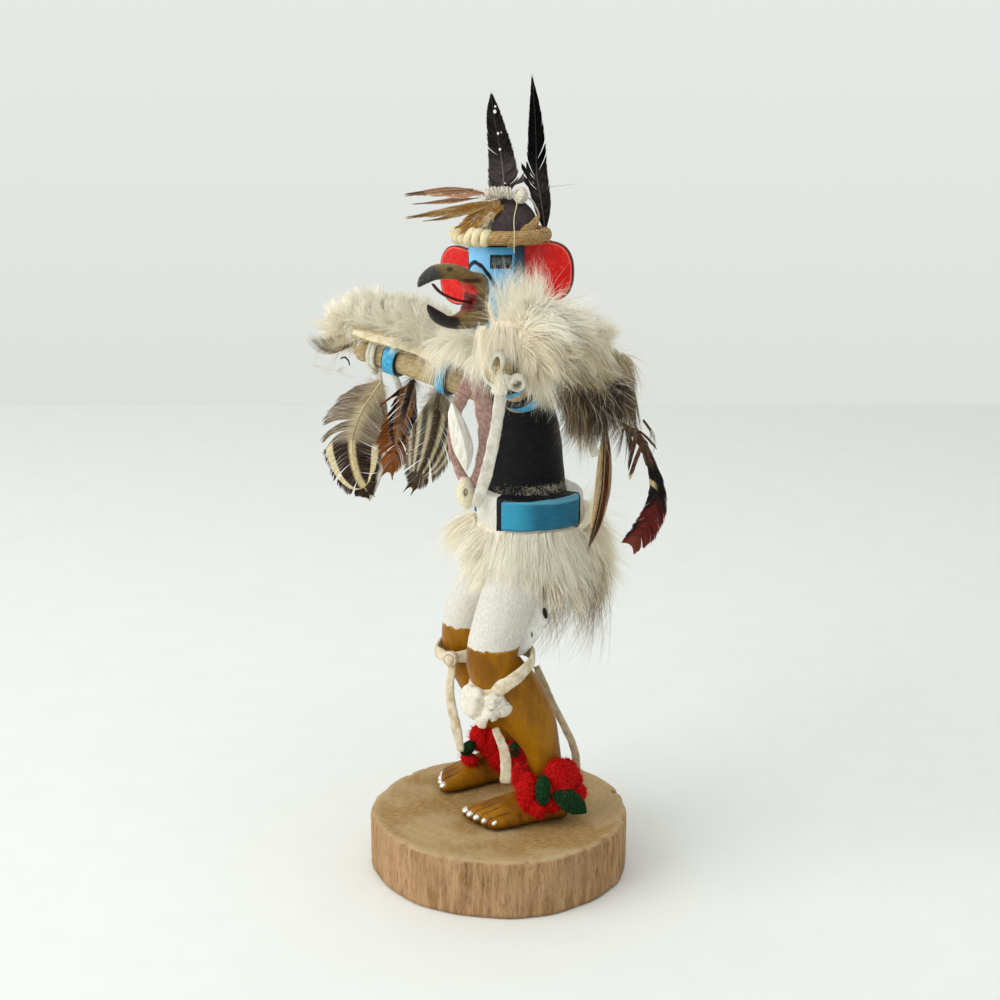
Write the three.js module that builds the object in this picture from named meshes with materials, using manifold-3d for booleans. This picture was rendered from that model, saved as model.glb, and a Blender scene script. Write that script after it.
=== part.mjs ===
// Carved and dressed eagle-dancer kachina doll on a sawn wood slice.
// Millimetres, +Z up, origin at the middle of the slice's underside.
// The doll faces -Y and its own left side is +X.
import * as THREE from 'three';
import { mergeVertices } from 'three/addons/utils/BufferGeometryUtils.js';
import Module from 'manifold-3d';

const wasm = await Module();
wasm.setup();

// ---------------------------------------------------------------- sizes
const BASE_RADIUS = 42;          // wood slice
const BASE_HEIGHT = 19;
const GAP = 0.32;                // clearance where two pieces touch
const SOLE = BASE_HEIGHT + GAP;  // height of the soles
const MID_X = -5;                // the figure stands a little to its right
const HIP = { x: -4, y: 11.5, low: 106, high: 127.3, ax: 17, ay: 16.4 };
const WAIST = { y: 9.9, ax: 13.2, ay: 12.4 };
const NECK = { x: -4, y: 1.5, z: 170, r: 6.2 };
const HEAD = { x: -4, y: 0.5, low: 178, brow: 205, r: 9, yaw: 25 * Math.PI / 180 };
const DOME = { y: 3.2, r: 9.9, top: 217.4 };
const WREATH = { x: -4, y: 1.9, z: 206.3, r: 13.2, tube: 2.45 };
const EAR = { width: 16, height: 18.5, thick: 1.8, z: 195.6 };
const FOOT = { length: 33, height: 9 };
const ARM = { wrist: 4.3, elbow: 4.6, shoulder: 5.2 };
const BELT = { height: 11, thick: 1.3 };

// ---------------------------------------------------------------- helpers
const P = (x, y, z) => new THREE.Vector3(x, y, z);
const UP = P(0, 0, 1);
const wave = (a, k, ph = 0) => Math.sin(k * a + ph);
const lerp = (a, b, t) => a + (b - a) * t;
const smooth = t => t * t * (3 - 2 * t);

let coarse = false;              // true while a plain outline, drawn just outside the true one, is wanted
const sides = n => (coarse ? Math.max(6, Math.round(n * 0.5)) : n);
const swell = n => (coarse ? 1 / Math.cos(Math.PI / n) : 1);

// closed skin over a row of rings (or a loop of rings)
function skin(rings, loop = false, capShift = null) {
  const n = rings[0].length, m = rings.length, pos = [], idx = [];
  for (const r of rings) for (const p of r) pos.push(p.x, p.y, p.z);
  for (let i = 0; i < (loop ? m : m - 1); i++) for (let j = 0; j < n; j++) {
    const a = i * n + j, b = i * n + (j + 1) % n, k = ((i + 1) % m) * n;
    const c = k + j, d = k + (j + 1) % n;
    idx.push(a, b, d, a, d, c);
  }
  if (!loop) {
    const cap = (i, flip) => {
      const c = P(0, 0, 0);
      rings[i].forEach(p => c.add(p));
      c.multiplyScalar(1 / n);
      if (capShift) c.add(capShift);
      const q = pos.length / 3;
      pos.push(c.x, c.y, c.z);
      for (let j = 0; j < n; j++) {
        const a = i * n + j, b = i * n + (j + 1) % n;
        flip ? idx.push(q, a, b) : idx.push(q, b, a);
      }
    };
    cap(0, false); cap(m - 1, true);
  }
  let vol = 0;
  const at = i => P(pos[3 * i], pos[3 * i + 1], pos[3 * i + 2]);
  for (let t = 0; t < idx.length; t += 3)
    vol += at(idx[t]).dot(at(idx[t + 1]).clone().cross(at(idx[t + 2])));
  if (vol < 0) for (let t = 0; t < idx.length; t += 3) [idx[t + 1], idx[t + 2]] = [idx[t + 2], idx[t + 1]];
  const g = new THREE.BufferGeometry();
  g.setAttribute('position', new THREE.Float32BufferAttribute(pos, 3));
  g.setIndex(idx);
  return solid(g);
}

// three.js geometry -> manifold solid, and back
function solid(g) {
  g = g.clone();
  g.deleteAttribute('normal'); g.deleteAttribute('uv');
  g = mergeVertices(g, 1e-5);
  return new wasm.Manifold(new wasm.Mesh({
    numProp: 3,
    vertProperties: new Float32Array(g.attributes.position.array),
    triVerts: new Uint32Array(g.index.array),
  }));
}
function geometryOf(m) {
  const mesh = m.getMesh();
  const g = new THREE.BufferGeometry();
  g.setAttribute('position', new THREE.BufferAttribute(new Float32Array(mesh.vertProperties), 3));
  g.setIndex(new THREE.BufferAttribute(new Uint32Array(mesh.triVerts), 1));
  g.computeVertexNormals();
  return g;
}
const join = (...s) => s.reduce((a, b) => a.add(b));

// one ring of n points round an axis; a is the half size along ref, b across it
function ring(c, axis, ref, a, b, n, power = 2, turn = 0) {
  const t = axis.clone().normalize();
  const e1 = ref.clone().addScaledVector(t, -ref.dot(t)).normalize();
  const e2 = t.clone().cross(e1);
  const out = [];
  n = sides(n); a *= swell(n); b *= swell(n);
  for (let j = 0; j < n; j++) {
    const w = 2 * Math.PI * (j + turn) / n, cw = Math.cos(w), sw = Math.sin(w);
    const k = power === 2 ? 1 : Math.pow(Math.pow(Math.abs(cw), power) + Math.pow(Math.abs(sw), power), -1 / power);
    out.push(c.clone().addScaledVector(e1, a * k * cw).addScaledVector(e2, b * k * sw));
  }
  return out;
}

// limb: rings across a smooth path. rows = [[x,y,z, a,b], ...]
function limb(rows, { n = 12, ref = P(1, 0, 0), grow = 0, power = 2, per = 1, blunt = 0.55, turn = 0 } = {}) {
  const curve = new THREE.CatmullRomCurve3(rows.map(r => P(r[0], r[1], r[2])), false, 'centripetal');
  const m = (rows.length - 1) * (coarse ? 1 : per), rings = [];
  const size = t => {
    const f = t * (rows.length - 1), i = Math.min(rows.length - 2, Math.floor(f)), k = f - i;
    return [lerp(rows[i][3], rows[i + 1][3], k), lerp(rows[i][4], rows[i + 1][4], k)];
  };
  for (let i = 0; i <= m; i++) {
    const t = i / m, c = curve.getPoint(t), ax = curve.getTangent(t), [a, b] = size(t);
    if (i === 0 && blunt > 0)
      rings.push(ring(c.clone().addScaledVector(ax, -blunt * Math.min(a, b) * 0.5 - grow), ax, ref, (a + grow) * 0.62, (b + grow) * 0.62, n, power, turn));
    rings.push(ring(c.clone().addScaledVector(ax, blunt > 0 ? 0 : (i === 0 ? -grow : i === m ? grow : 0)), ax, ref, a + grow, b + grow, n, power, turn));
    if (i === m && blunt > 0)
      rings.push(ring(c.clone().addScaledVector(ax, blunt * Math.min(a, b) * 0.5 + grow), ax, ref, (a + grow) * 0.62, (b + grow) * 0.62, n, power, turn));
  }
  return skin(rings);
}

// blade: a feather or strap with a lens section. rows = [[x,y,z,halfwidth], ...], face = normal of the blade
function blade(rows, face, thick, { grow = 0, per = 2, edge = 0.35, n = 6 } = {}) {
  const curve = new THREE.CatmullRomCurve3(rows.map(r => P(r[0], r[1], r[2])), false, 'centripetal');
  const m = (rows.length - 1) * (coarse ? 1 : per), rings = [];
  if (coarse) edge = 1;
  for (let i = 0; i <= m; i++) {
    const t = i / m, f = t * (rows.length - 1), k = Math.min(rows.length - 2, Math.floor(f));
    const w = lerp(rows[k][3], rows[k + 1][3], f - k) + grow, c = curve.getPoint(t), ax = curve.getTangent(t);
    const e2 = face.clone().addScaledVector(ax, -face.dot(ax)).normalize(), e1 = e2.clone().cross(ax).normalize();
    if (i === 0) c.addScaledVector(ax, -grow); if (i === m) c.addScaledVector(ax, grow);
    const r = [];
    for (let j = 0; j < n; j++) {
      const a = 2 * Math.PI * j / n;
      const h = (thick / 2) * lerp(1, edge, Math.abs(Math.cos(a))) + grow;
      r.push(c.clone().addScaledVector(e1, w * Math.cos(a)).addScaledVector(e2, h * Math.sign(Math.sin(a).toFixed(6)) * (Math.abs(Math.sin(a)) > 1e-6 ? 1 : 0) * Math.max(0.5, Math.abs(Math.sin(a)))));
    }
    rings.push(r);
  }
  return skin(rings);
}

// band: a closed strap of rectangular section round a limb
function band(c, axis, ref, ra, rb, width, thick, { n = 18, grow = 0, power = 2 } = {}) {
  const t = axis.clone().normalize(), h = width / 2 + grow, rings = [];
  if (coarse) return skin([ring(c.clone().addScaledVector(t, -h), t, ref, ra + thick + grow, rb + thick + grow, n, power), ring(c.clone().addScaledVector(t, h), t, ref, ra + thick + grow, rb + thick + grow, n, power)]);
  const inner0 = ring(c.clone().addScaledVector(t, -h), t, ref, ra - grow, rb - grow, n, power);
  const outer0 = ring(c.clone().addScaledVector(t, -h), t, ref, ra + thick + grow, rb + thick + grow, n, power);
  const inner1 = ring(c.clone().addScaledVector(t, h), t, ref, ra - grow, rb - grow, n, power);
  const outer1 = ring(c.clone().addScaledVector(t, h), t, ref, ra + thick + grow, rb + thick + grow, n, power);
  for (let j = 0; j < inner0.length; j++) rings.push([inner0[j], outer0[j], outer1[j], inner1[j]]);
  return skin(rings, true);
}

// loop: a closed strap following its own closed path
function loopStrap(points, half, thick, faceOf, { grow = 0, steps = 22 } = {}) {
  const curve = new THREE.CatmullRomCurve3(points.map(p => P(...p)), true, 'centripetal'), rings = [];
  for (let i = 0; i < steps; i++) {
    const t = i / steps, c = curve.getPoint(t), ax = curve.getTangent(t), out = faceOf(c, ax);
    const e2 = out.clone().addScaledVector(ax, -out.dot(ax)).normalize(), e1 = e2.clone().cross(ax).normalize();
    const w = half + grow, h = thick / 2 + grow;
    rings.push([[-1, -1], [1, -1], [1, 1], [-1, 1]].map(([a, b]) => c.clone().addScaledVector(e1, a * w).addScaledVector(e2, b * h)));
  }
  return skin(rings, true);
}

// egg: an ellipsoid, radii along a (given), b and c
function egg(c, r, { grow = 0, a = P(1, 0, 0), b = P(0, 1, 0), w = 10, h = 7 } = {}) {
  if (coarse) { w = Math.max(6, w >> 1); h = 4; }
  const g = new THREE.SphereGeometry(coarse ? 1 / (Math.cos(Math.PI / w) * Math.cos(Math.PI / (2 * h))) : 1, w, h);
  const e1 = a.clone().normalize(), e2 = b.clone().addScaledVector(e1, -b.dot(e1)).normalize(), e3 = e1.clone().cross(e2);
  const m = new THREE.Matrix4().makeBasis(e1.multiplyScalar(r[0] + grow), e2.multiplyScalar(r[1] + grow), e3.multiplyScalar(r[2] + grow));
  m.setPosition(c[0], c[1], c[2]);
  g.applyMatrix4(m);
  return solid(g);
}

// head frame: forward F, left side E
const F = P(Math.sin(HEAD.yaw), -Math.cos(HEAD.yaw), 0), E = P(Math.cos(HEAD.yaw), Math.sin(HEAD.yaw), 0);
const face = (s, e, z) => P(HEAD.x, HEAD.y, 0).addScaledVector(F, s).addScaledVector(E, e).setZ(z);
const faceRow = (s, e, z, ...rest) => { const p = face(s, e, z); return [p.x, p.y, p.z, ...rest]; };

// ---------------------------------------------------------------- wood slice
const slice = g => {
  const rim = a => BASE_RADIUS + 0.35 * wave(a, 3, 1) + 0.25 * wave(a, 7, 2.2) + g;
  const rows = [[0, -0.7], [0.7, 0], [BASE_HEIGHT - 0.8, 0], [BASE_HEIGHT, -0.8]];
  const rings = rows.map(([z, dr], i) => {
    const out = [];
    for (let j = 0; j < 36; j++) {
      const a = 2 * Math.PI * j / 36;
      out.push(P((rim(a) + dr) * Math.cos(a), (rim(a) + dr) * Math.sin(a), i === 0 ? -g : i === rows.length - 1 ? z + g : z));
    }
    return out;
  });
  return skin(rings, false, P(7, 4, 0));
};

// ---------------------------------------------------------------- carved figure
const LEG_L = [[3.2, 7.8, 113, 9.6, 9.7], [7.2, 2, 97, 9.3, 9.2], [10, -3.4, 87, 8.6, 8.6], [11.8, -7.2, 76, 8, 8],
  [12.2, -4.4, 69, 8.2, 9], [12.2, 0.4, 62, 8.2, 9.6], [12.2, 6, 53, 7.2, 8.2], [12.3, 9.6, 44, 5.6, 6.1], [12.5, 11.4, 35, 4.8, 5.4], [12.5, 11.8, 27, 5, 6]];
const LEG_R = [[-11.1, 7.7, 113, 9.5, 9.6], [-14.5, 2, 96, 9, 9.2], [-18.5, -2.4, 85, 8.3, 8.6], [-21, -4.8, 73.5, 7.7, 7.8],
  [-21.4, -2.6, 66.5, 7.9, 8.5], [-21.6, 0.8, 59, 7.8, 8.8], [-22, 4.4, 50, 6.8, 7.6], [-22.4, 7, 42, 5.4, 5.8], [-22.5, 8.6, 34, 4.8, 5.2], [-22.5, 9, 27, 5, 6]];
const FEET = { left: { x: 11.6, y: 17.5, side: 1, long: 1.06 }, right: { x: -22.4, y: 15, side: -1, long: 1 } };

function foot({ x, y, side, long }, g) {
  // heel to ball, flat on the sole; [back distance, half width, height, sideways]
  const rows = [[0, 3.6, 5.5, 0.8], [2.2, 5.2, 8, 0.6], [9, 5.8, 10.4, 0.2], [18, 7.2, 7.7, -0.3], [25, 8.2, 5.2, -0.6], [28, 7.8, 4.2, -0.6]];
  const rings = rows.map(([b, hw, ht, sx], i) => {
    const out = [], n = 9;
    const yy = y - b * long + (i === 0 ? g : i === rows.length - 1 ? -g : 0);
    for (let j = 0; j < n; j++) {
      const a = 2 * Math.PI * (j + 0.5) / n, c = Math.cos(a), s = Math.sin(a);
      const px = x + side * sx + (hw + g) * Math.sign(c) * Math.pow(Math.abs(c), 0.8);
      const pz = s < 0 ? SOLE - g + 0.9 * (1 + s) : SOLE + 0.9 + (ht + g - 0.9) * Math.pow(s, 0.8);
      out.push(P(px, yy + (side * (px - x)) * (i === rows.length - 1 ? 0.32 : 0.1), pz));
    }
    return out;
  });
  let body = skin(rings);
  for (let k = 0; k < 5; k++) {               // great toe on the inner side, little toe outside
    const t = k / 4, tx = x - side * 6.2 + side * t * 12.6, ty = y - 28.6 * long + 5 * t * t + 0.6 * t, r = lerp(2, 1.35, t);
    const toe = limb([[tx, ty + 4, SOLE + 2.5, r, 2.1], [tx - side * 0.2, ty - 0.6, SOLE + 1.9, r * 0.96, 1.7], [tx - side * 0.2, ty - 1.9, SOLE + 1.6, r * 0.6, 1]], { n: 6, grow: g, ref: P(1, 0, 0), blunt: 0 });
    body = body.add(toe);
  }
  // cut square to the sole
  const slab = solid(new THREE.BoxGeometry(60, 80, 10).translate(x, y - 10, SOLE - g - 5));
  return body.subtract(slab);
}

const torso = g => {
  const rows = [ // z, y, half width, half depth, power
    [HIP.low - 2, HIP.y - 0.8, 12, 11, 2.2], [HIP.low + 4, HIP.y - 0.1, HIP.ax - 0.2, HIP.ay - 0.3, 2.3],
    [HIP.high - 0.8, HIP.y, HIP.ax, HIP.ay, 2.3], [HIP.high, HIP.y, HIP.ax - 0.8, HIP.ay - 0.8, 2.3],
    [HIP.high + 0.05, WAIST.y, WAIST.ax, WAIST.ay, 2.3], [138, 9.1, 13.1, 12.1, 2.3], [149, 7.8, 13.9, 11.3, 2.4],
    [156, 6, 14.2, 10, 2.4], [161, 4.6, 12.2, 8.6, 2.3], [164.5, 3.2, 8.6, 7.4, 2.1], [167, 2.2, NECK.r + 0.3, NECK.r + 0.3, 2], [HEAD.low - GAP - 0.02, 0.9, NECK.r - 0.2, NECK.r - 0.2, 2]];
  const rings = rows.map(([z, y, a, b, p], i) => ring(P(HIP.x, y, z + (i === 0 ? -g : 0)), UP, P(1, 0, 0), a + g, b + g, 16, p));
  return skin(rings);
};

const figure = g => join(torso(g),
  limb(LEG_L, { n: 9, grow: g, blunt: 0 }), limb(LEG_R, { n: 9, grow: g, blunt: 0 }), foot(FEET.left, g), foot(FEET.right, g));

// ---------------------------------------------------------------- head
const headBlock = g => {
  const rows = [[HEAD.low, 0, HEAD.r - 0.4], [HEAD.low + 1, 0, HEAD.r], [HEAD.brow, 0.3, HEAD.r + 0.1], [HEAD.brow + 1.6, 1.6, DOME.r],
    [HEAD.brow + 4, 2.6, DOME.r * 0.985], [HEAD.brow + 7.6, 3.1, DOME.r * 0.85], [HEAD.brow + 10.6, 3.2, DOME.r * 0.58], [DOME.top, 3.2, DOME.r * 0.16]];
  return skin(rows.map(([z, dy, r], i) => ring(P(HEAD.x, HEAD.y + dy, z + (i === 0 ? -g : i === rows.length - 1 ? g : 0)), UP, P(1, 0, 0), r + g, r + g, 16)));
};

const upperBeak = g => limb([faceRow(6, 0, 189.8, 4.2, 3.4), faceRow(9.1, 0, 191.6, 4.2, 2.9), faceRow(12.5, 0, 194, 3.8, 2.2), faceRow(16, 0, 195.8, 3.5, 2.1), faceRow(20, 0, 196.65, 3.1, 2.35),
  faceRow(25, 0, 196.9, 2.6, 2.3), faceRow(28, 0, 196.3, 2.1, 2), faceRow(31, 0, 194.9, 1.4, 1.45), faceRow(32.8, 0, 193.4, 0.5, 0.6)], { n: 8, ref: E, grow: g, power: 2.2, blunt: 0 });
const lowerBeak = g => limb([faceRow(6, 0, 184.2, 5.4, 4.3), faceRow(13.4, 0, 181.6, 3.8, 3), faceRow(17.6, 0, 181.1, 3.1, 2.1), faceRow(21.8, 0, 181.8, 2.5, 1.8),
  faceRow(25.4, 0, 183.7, 1.9, 1.8), faceRow(28, 0, 185.9, 1.2, 1.1), faceRow(29.2, 0, 187.4, 0.4, 0.4)], { n: 8, ref: E, grow: g, power: 2.2, blunt: 0 });
const cheekArch = g => limb([faceRow(11, 0, 193.6, 4.3, 2.6), faceRow(8.9, 0, 191.6, 4.3, 3.6), faceRow(8, 0, 188.6, 4.3, 4.2), faceRow(8.7, 0, 185.6, 4.3, 3.8), faceRow(11, 0, 183.4, 4.3, 2.6)], { n: 8, ref: E, grow: g, power: 2.8, blunt: 0 });
const beak = g => {       // two mandibles joined by an arch of cheek round the open mouth
  const q = face(14.2, 0, 188.6);
  return join(upperBeak(g), lowerBeak(g), cheekArch(g))
    .subtract(egg([q.x, q.y, q.z], [4.9, 3.3, 4.3], { a: F, b: E, grow: -g, w: 8, h: 5 }));
};
const tongue = g => blade([faceRow(11.2, 0, 186.6, 1.1), faceRow(16, 0, 187.5, 1.05), faceRow(20.6, 0, 189, 0.95), faceRow(24.4, 0, 191, 0.8), faceRow(27.2, 0, 193.6, 0.5)], P(0, 0, 1), 0.9, { grow: g, n: 6, per: 1 });

// a D-shaped tab, its straight edge against the mask; sweep turns it back
function ear(side, seat, sweep, lift, g) {
  const s = new THREE.Shape(), w = EAR.width + g, h = EAR.height / 2 + g;
  s.moveTo(-2 - g, -h * 0.86);
  for (let i = 0; i <= 10; i++) {
    const a = -Math.PI / 2 + Math.PI * i / 10;
    s.lineTo(w * 0.42 + (w * 0.58) * Math.pow(Math.max(0, Math.cos(a)), 0.9), h * Math.sin(a));
  }
  s.lineTo(-2 - g, h * 0.86);
  s.closePath();
  const geo = new THREE.ExtrudeGeometry(s, { depth: EAR.thick + 2 * g, bevelEnabled: false });
  geo.translate(0, 0, -(EAR.thick + 2 * g) / 2);
  const out = E.clone().multiplyScalar(side * Math.cos(sweep)).addScaledVector(F, -Math.sin(sweep));
  const nrm = out.clone().cross(UP);
  const m = new THREE.Matrix4().makeBasis(out, UP, nrm);
  const rr = HEAD.r - 0.6, root = face(-rr * Math.sin(seat), side * rr * Math.cos(seat), EAR.z + lift);
  m.setPosition(root.x, root.y, root.z);
  return solid(geo.applyMatrix4(m));
}

// ---------------------------------------------------------------- wreath
const YARN_ARC = [Math.PI * 1.33, Math.PI * 1.87];        // where the cream yarn wraps the husk
const onWreath = (a, k = 0) => P(WREATH.x + (WREATH.r + k) * Math.cos(a), WREATH.y + (WREATH.r + k) * Math.sin(a), WREATH.z);
const wreath = g => {
  const rings = [];
  for (let i = 0; i < 20; i++) {
    const a = 2 * Math.PI * i / 20, r = (WREATH.tube - 0.15 + 0.22 * wave(a, 9) + 0.12 * wave(a, 17, 1)) + g;
    const wrapped = a > YARN_ARC[0] - 0.1 && a < YARN_ARC[1] + 0.1;
    const t = P(-Math.sin(a), Math.cos(a), 0), q = wrapped ? 1.55 + g : r;
    rings.push(ring(onWreath(a), t, P(Math.cos(a), Math.sin(a), 0), q, q, 6));
  }
  let body = skin(rings, true);
  // the torn husk point that stands up behind the left ear, and the rough end beside it
  const a = 0.36, c = onWreath(a, 0.6);
  body = body.add(blade([[c.x - 1.5, c.y - 6.5, WREATH.z - 1.2, 2.2], [c.x - 0.5, c.y - 2.5, WREATH.z + 0.6, 2.1], [c.x - 1, c.y + 1, WREATH.z + 3.2, 1.5], [c.x - 1.6, c.y + 3.1, WREATH.z + 6.2, 0.35]], P(1, 0.2, 0.35), 1.5, { grow: g, n: 6, per: 1 }));
  return body;
};
const wreathYarn = g => {
  const rings = [], turns = 5, m = 10;
  for (let i = 0; i <= m; i++) {
    const k = i / m, a = lerp(YARN_ARC[0], YARN_ARC[1], k), t = P(-Math.sin(a), Math.cos(a), 0);
    const q = 3.15 - 0.35 * Math.pow(Math.abs(Math.cos(Math.PI * turns * k)), 3) + g;
    rings.push(ring(onWreath(a, -0.1), t, P(Math.cos(a), Math.sin(a), 0), q, q, 6));
  }
  return skin(rings);
};

// ---------------------------------------------------------------- feathers
const CAM_FACE = P(0.94, -0.342, 0);   // feathers on this side lie broad side on to the doll's left front
const crestLeft = g => blade([[-1.4, 3.4, 217.6, 1], [-1.6, 1.6, 220.6, 4.5], [-1.6, 1.6, 224.4, 4.7], [-1.9, 0.7, 231.8, 3.9], [-2.3, -0.4, 237.8, 3], [-2.6, -1.3, 243.4, 2], [-2.8, -1.8, 248.3, 0.3]], CAM_FACE, 0.9, { grow: g, per: 1 });
const crestRight = g => blade([[-1, 15.2, 206.6, 0.7], [-1, 14.7, 210, 1.7], [-0.4, 13.5, 216.6, 3.4], [0.1, 11.9, 223.8, 3.8], [0, 11.6, 233.7, 3.5], [-0.2, 11.2, 243.4, 2.4], [-0.5, 10.4, 252.9, 0.35]], P(0.62, -0.78, 0), 0.9, { grow: g, per: 1 });
const topA = g => blade([[-1.3, -3.4, 218.4, 0.9], [-1.2, -9.5, 219, 1.9], [-1.4, -15.4, 219.3, 2], [-2.6, -21.8, 219.3, 1.3], [-3.4, -27, 218.8, 0.3]], P(0.5, 0.1, 1), 0.8, { grow: g, per: 1 });
const topB = g => blade([[0.9, -0.3, 216.2, 0.8], [1, -6.4, 215.4, 1.7], [0.8, -12.4, 214.4, 1.9], [-0.6, -19.6, 213.6, 1.5], [-2.3, -26.8, 212.6, 0.35]], P(0.5, 0.1, 1), 0.8, { grow: g, per: 1 });
const topC = g => blade([[2.2, 0.4, 215, 0.7], [2.4, -3.8, 213.6, 1.8], [2, -8.4, 211.8, 2.2], [1.7, -13.2, 209.2, 0.9]], P(0.8, 0, 0.7), 0.8, { grow: g, per: 1 });
const topCord = g => join(
  limb([[-1.3, -3.9, 218.7, 1.4, 1.4], [-0.2, -0.6, 219.3, 1.8, 1.7], [1, 2.8, 219, 1.6, 1.6]], { n: 7, grow: g, per: 1, ref: UP }),
  egg([2.2, 6, 218.4], [2.3, 2, 2.1], { grow: g, w: 7, h: 5 }),
  limb([[2.2, 7.2, 217.8, 0.6, 0.6], [1.8, 10, 216.6, 0.55, 0.55], [1.2, 12.2, 214.9, 0.5, 0.5]], { n: 6, grow: g, ref: UP }));

const FEATHER = {
  barred: [[-45.2, -25, 156, 0.7], [-46.6, -29, 149.6, 5.4], [-48.2, -33.6, 141, 9.4], [-48.4, -34.4, 132, 10], [-47.4, -33, 124, 7.8], [-45.8, -29.4, 117.4, 1.4]],
  rust: [[-35.4, -17, 157.8, 0.7], [-36.6, -19.2, 150, 3.2], [-37.6, -21.4, 141, 5.6], [-38.6, -23.4, 132, 6], [-39.2, -25.2, 125.4, 1.6]],
  striped: [[-26.5, -11, 155.6, 0.7], [-27, -11.6, 149, 4], [-27.6, -12.8, 141, 7], [-28.8, -15.2, 132, 7.8], [-30.2, -18.4, 124.4, 3.4], [-30.8, -20, 121.8, 0.8]],
  thin: [[26.4, 24.4, 150, 0.6], [26.8, 24, 141, 2.2], [26.6, 23.6, 131, 2.6], [26, 22, 121, 2], [25.3, 19.9, 112.9, 0.4]],
  curved: [[25.5, 27, 153, 0.6], [28.6, 34, 147.4, 1.2], [30.6, 38.2, 138, 1.9], [31.5, 39.7, 128, 3.2], [31, 37, 119.5, 4], [29.6, 32, 113.4, 3.2]],
};
const wingFeather = (name, nrm, g) => blade(FEATHER[name], nrm, 0.9, { grow: g, per: 1 });

// ---------------------------------------------------------------- arms
const ARM_R = [[-9, 4.5, 156], [-17, -1.5, 157.6], [-24.2, -8.3, 159.5], [-33, -15.6, 161.8], [-41.2, -22.5, 163.9], [-45.2, -26, 164.9]];
const ARM_L = [[-1, 5, 156], [7.5, 3.4, 157.8], [17.8, 0.2, 162], [25, -5.4, 165], [33, -10.6, 169.6], [36, -12.6, 171.4]];
const armRadii = [ARM.shoulder, ARM.shoulder, ARM.elbow + 0.2, ARM.elbow, ARM.wrist, ARM.wrist - 0.2];
function arm(pts, fist, g) {
  const rows = pts.map((p, i) => [...p, armRadii[i], armRadii[i]]);
  const a = P(...pts[5]).sub(P(...pts[4])).normalize();
  const thumb = P(...fist).addScaledVector(UP, 2.6).addScaledVector(a, 1);
  return join(limb(rows, { n: 8, grow: g, ref: UP, blunt: 0 }),
    egg(fist, [4.6, 4.1, 4.3], { a, b: UP, grow: g, w: 8, h: 6 }),
    egg([thumb.x, thumb.y, thumb.z], [2.6, 1.5, 1.6], { a, b: UP, grow: g, w: 6, h: 4 }));
}
const FIST_R = [-48.8, -29.2, 165.4], FIST_L = [39, -14.8, 172.8];
function armband(pts, i, k, g) {
  const c = P(...pts[i]).lerp(P(...pts[i + 1]), k), ax = P(...pts[i + 1]).sub(P(...pts[i]));
  const r = lerp(armRadii[i], armRadii[i + 1], k) + GAP + 0.12;
  return band(c, ax, UP, r, r, 4.2, 0.9, { n: 10, grow: g });
}

// ---------------------------------------------------------------- leather thongs at the hands
function handTie(pts, g) {   // turns of thong round the wrist with its knot underneath
  const a = P(...pts[5]).sub(P(...pts[4])).normalize(), c = P(...pts[5]).addScaledVector(a, 0.6);
  const low = c.clone().addScaledVector(UP, -ARM.wrist - 1.6);
  const r = ARM.wrist + GAP + 0.1;
  return join(band(c, a, UP, r, r, 2.6, 1, { n: 10, grow: g }), egg([low.x, low.y, low.z], [2.3, 2, 1.7], { a, b: UP.clone().cross(a), grow: g, w: 6, h: 4 }));
}
const STRIP_L = [[36.6, -13.2, 164.6], [36.4, -14, 158], [36, -15.4, 149.6], [35.4, -17.4, 140.6], [34.6, -20.2, 131.4]];
const STRIP_R = [[-45.2, -26.4, 158.6], [-44.2, -25.4, 151], [-43, -24.8, 141], [-42.8, -26, 130], [-43.6, -28.8, 120.6], [-44.2, -31.2, 115.4]];
const strip = (pts, half, thick, nrm, g) => blade(pts.map(p => [...p, half]), nrm, thick, { grow: g, per: 1, edge: 0.8, n: 6 });

// ---------------------------------------------------------------- fur (plain closed bodies; the pile is finished later)
const neckFur = g => join(
  egg([-3, 2, 170.5], [18, 17, 10], { grow: g, w: 10, h: 6, a: P(1, 0, 0), b: P(0, 1, 0) }),
  egg([-13, -7.5, 166.6], [10.5, 9.5, 7.5], { grow: g, w: 8, h: 5, a: P(1, 1, 0), b: P(-1, 1, 0) }));
const wingFurRight = g => limb([[-20, -2, 167.5, 8, 6.5], [-30, -11, 171, 9, 7], [-41, -19.5, 174.5, 9.5, 7.2], [-52, -28.5, 175, 9, 7], [-60, -37, 171, 6.5, 6.4], [-63.5, -41.8, 168, 3.5, 4]], { n: 9, grow: g, ref: P(0.66, -0.75, 0) });
const wingFurLeft = g => join(
  limb([[12, 10, 167.5, 12, 10], [20, 5, 173, 15, 14], [30, -0.5, 177.5, 16.5, 16.5], [39, -6, 177, 13, 14], [44.5, -9.5, 175, 8, 9]], { n: 9, blunt: 0.3, grow: g, ref: P(0.5, 0.86, 0) }),
  egg([24.5, 25, 160.5], [10.5, 13, 13.5], { grow: g, w: 8, h: 5 }));
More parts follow.
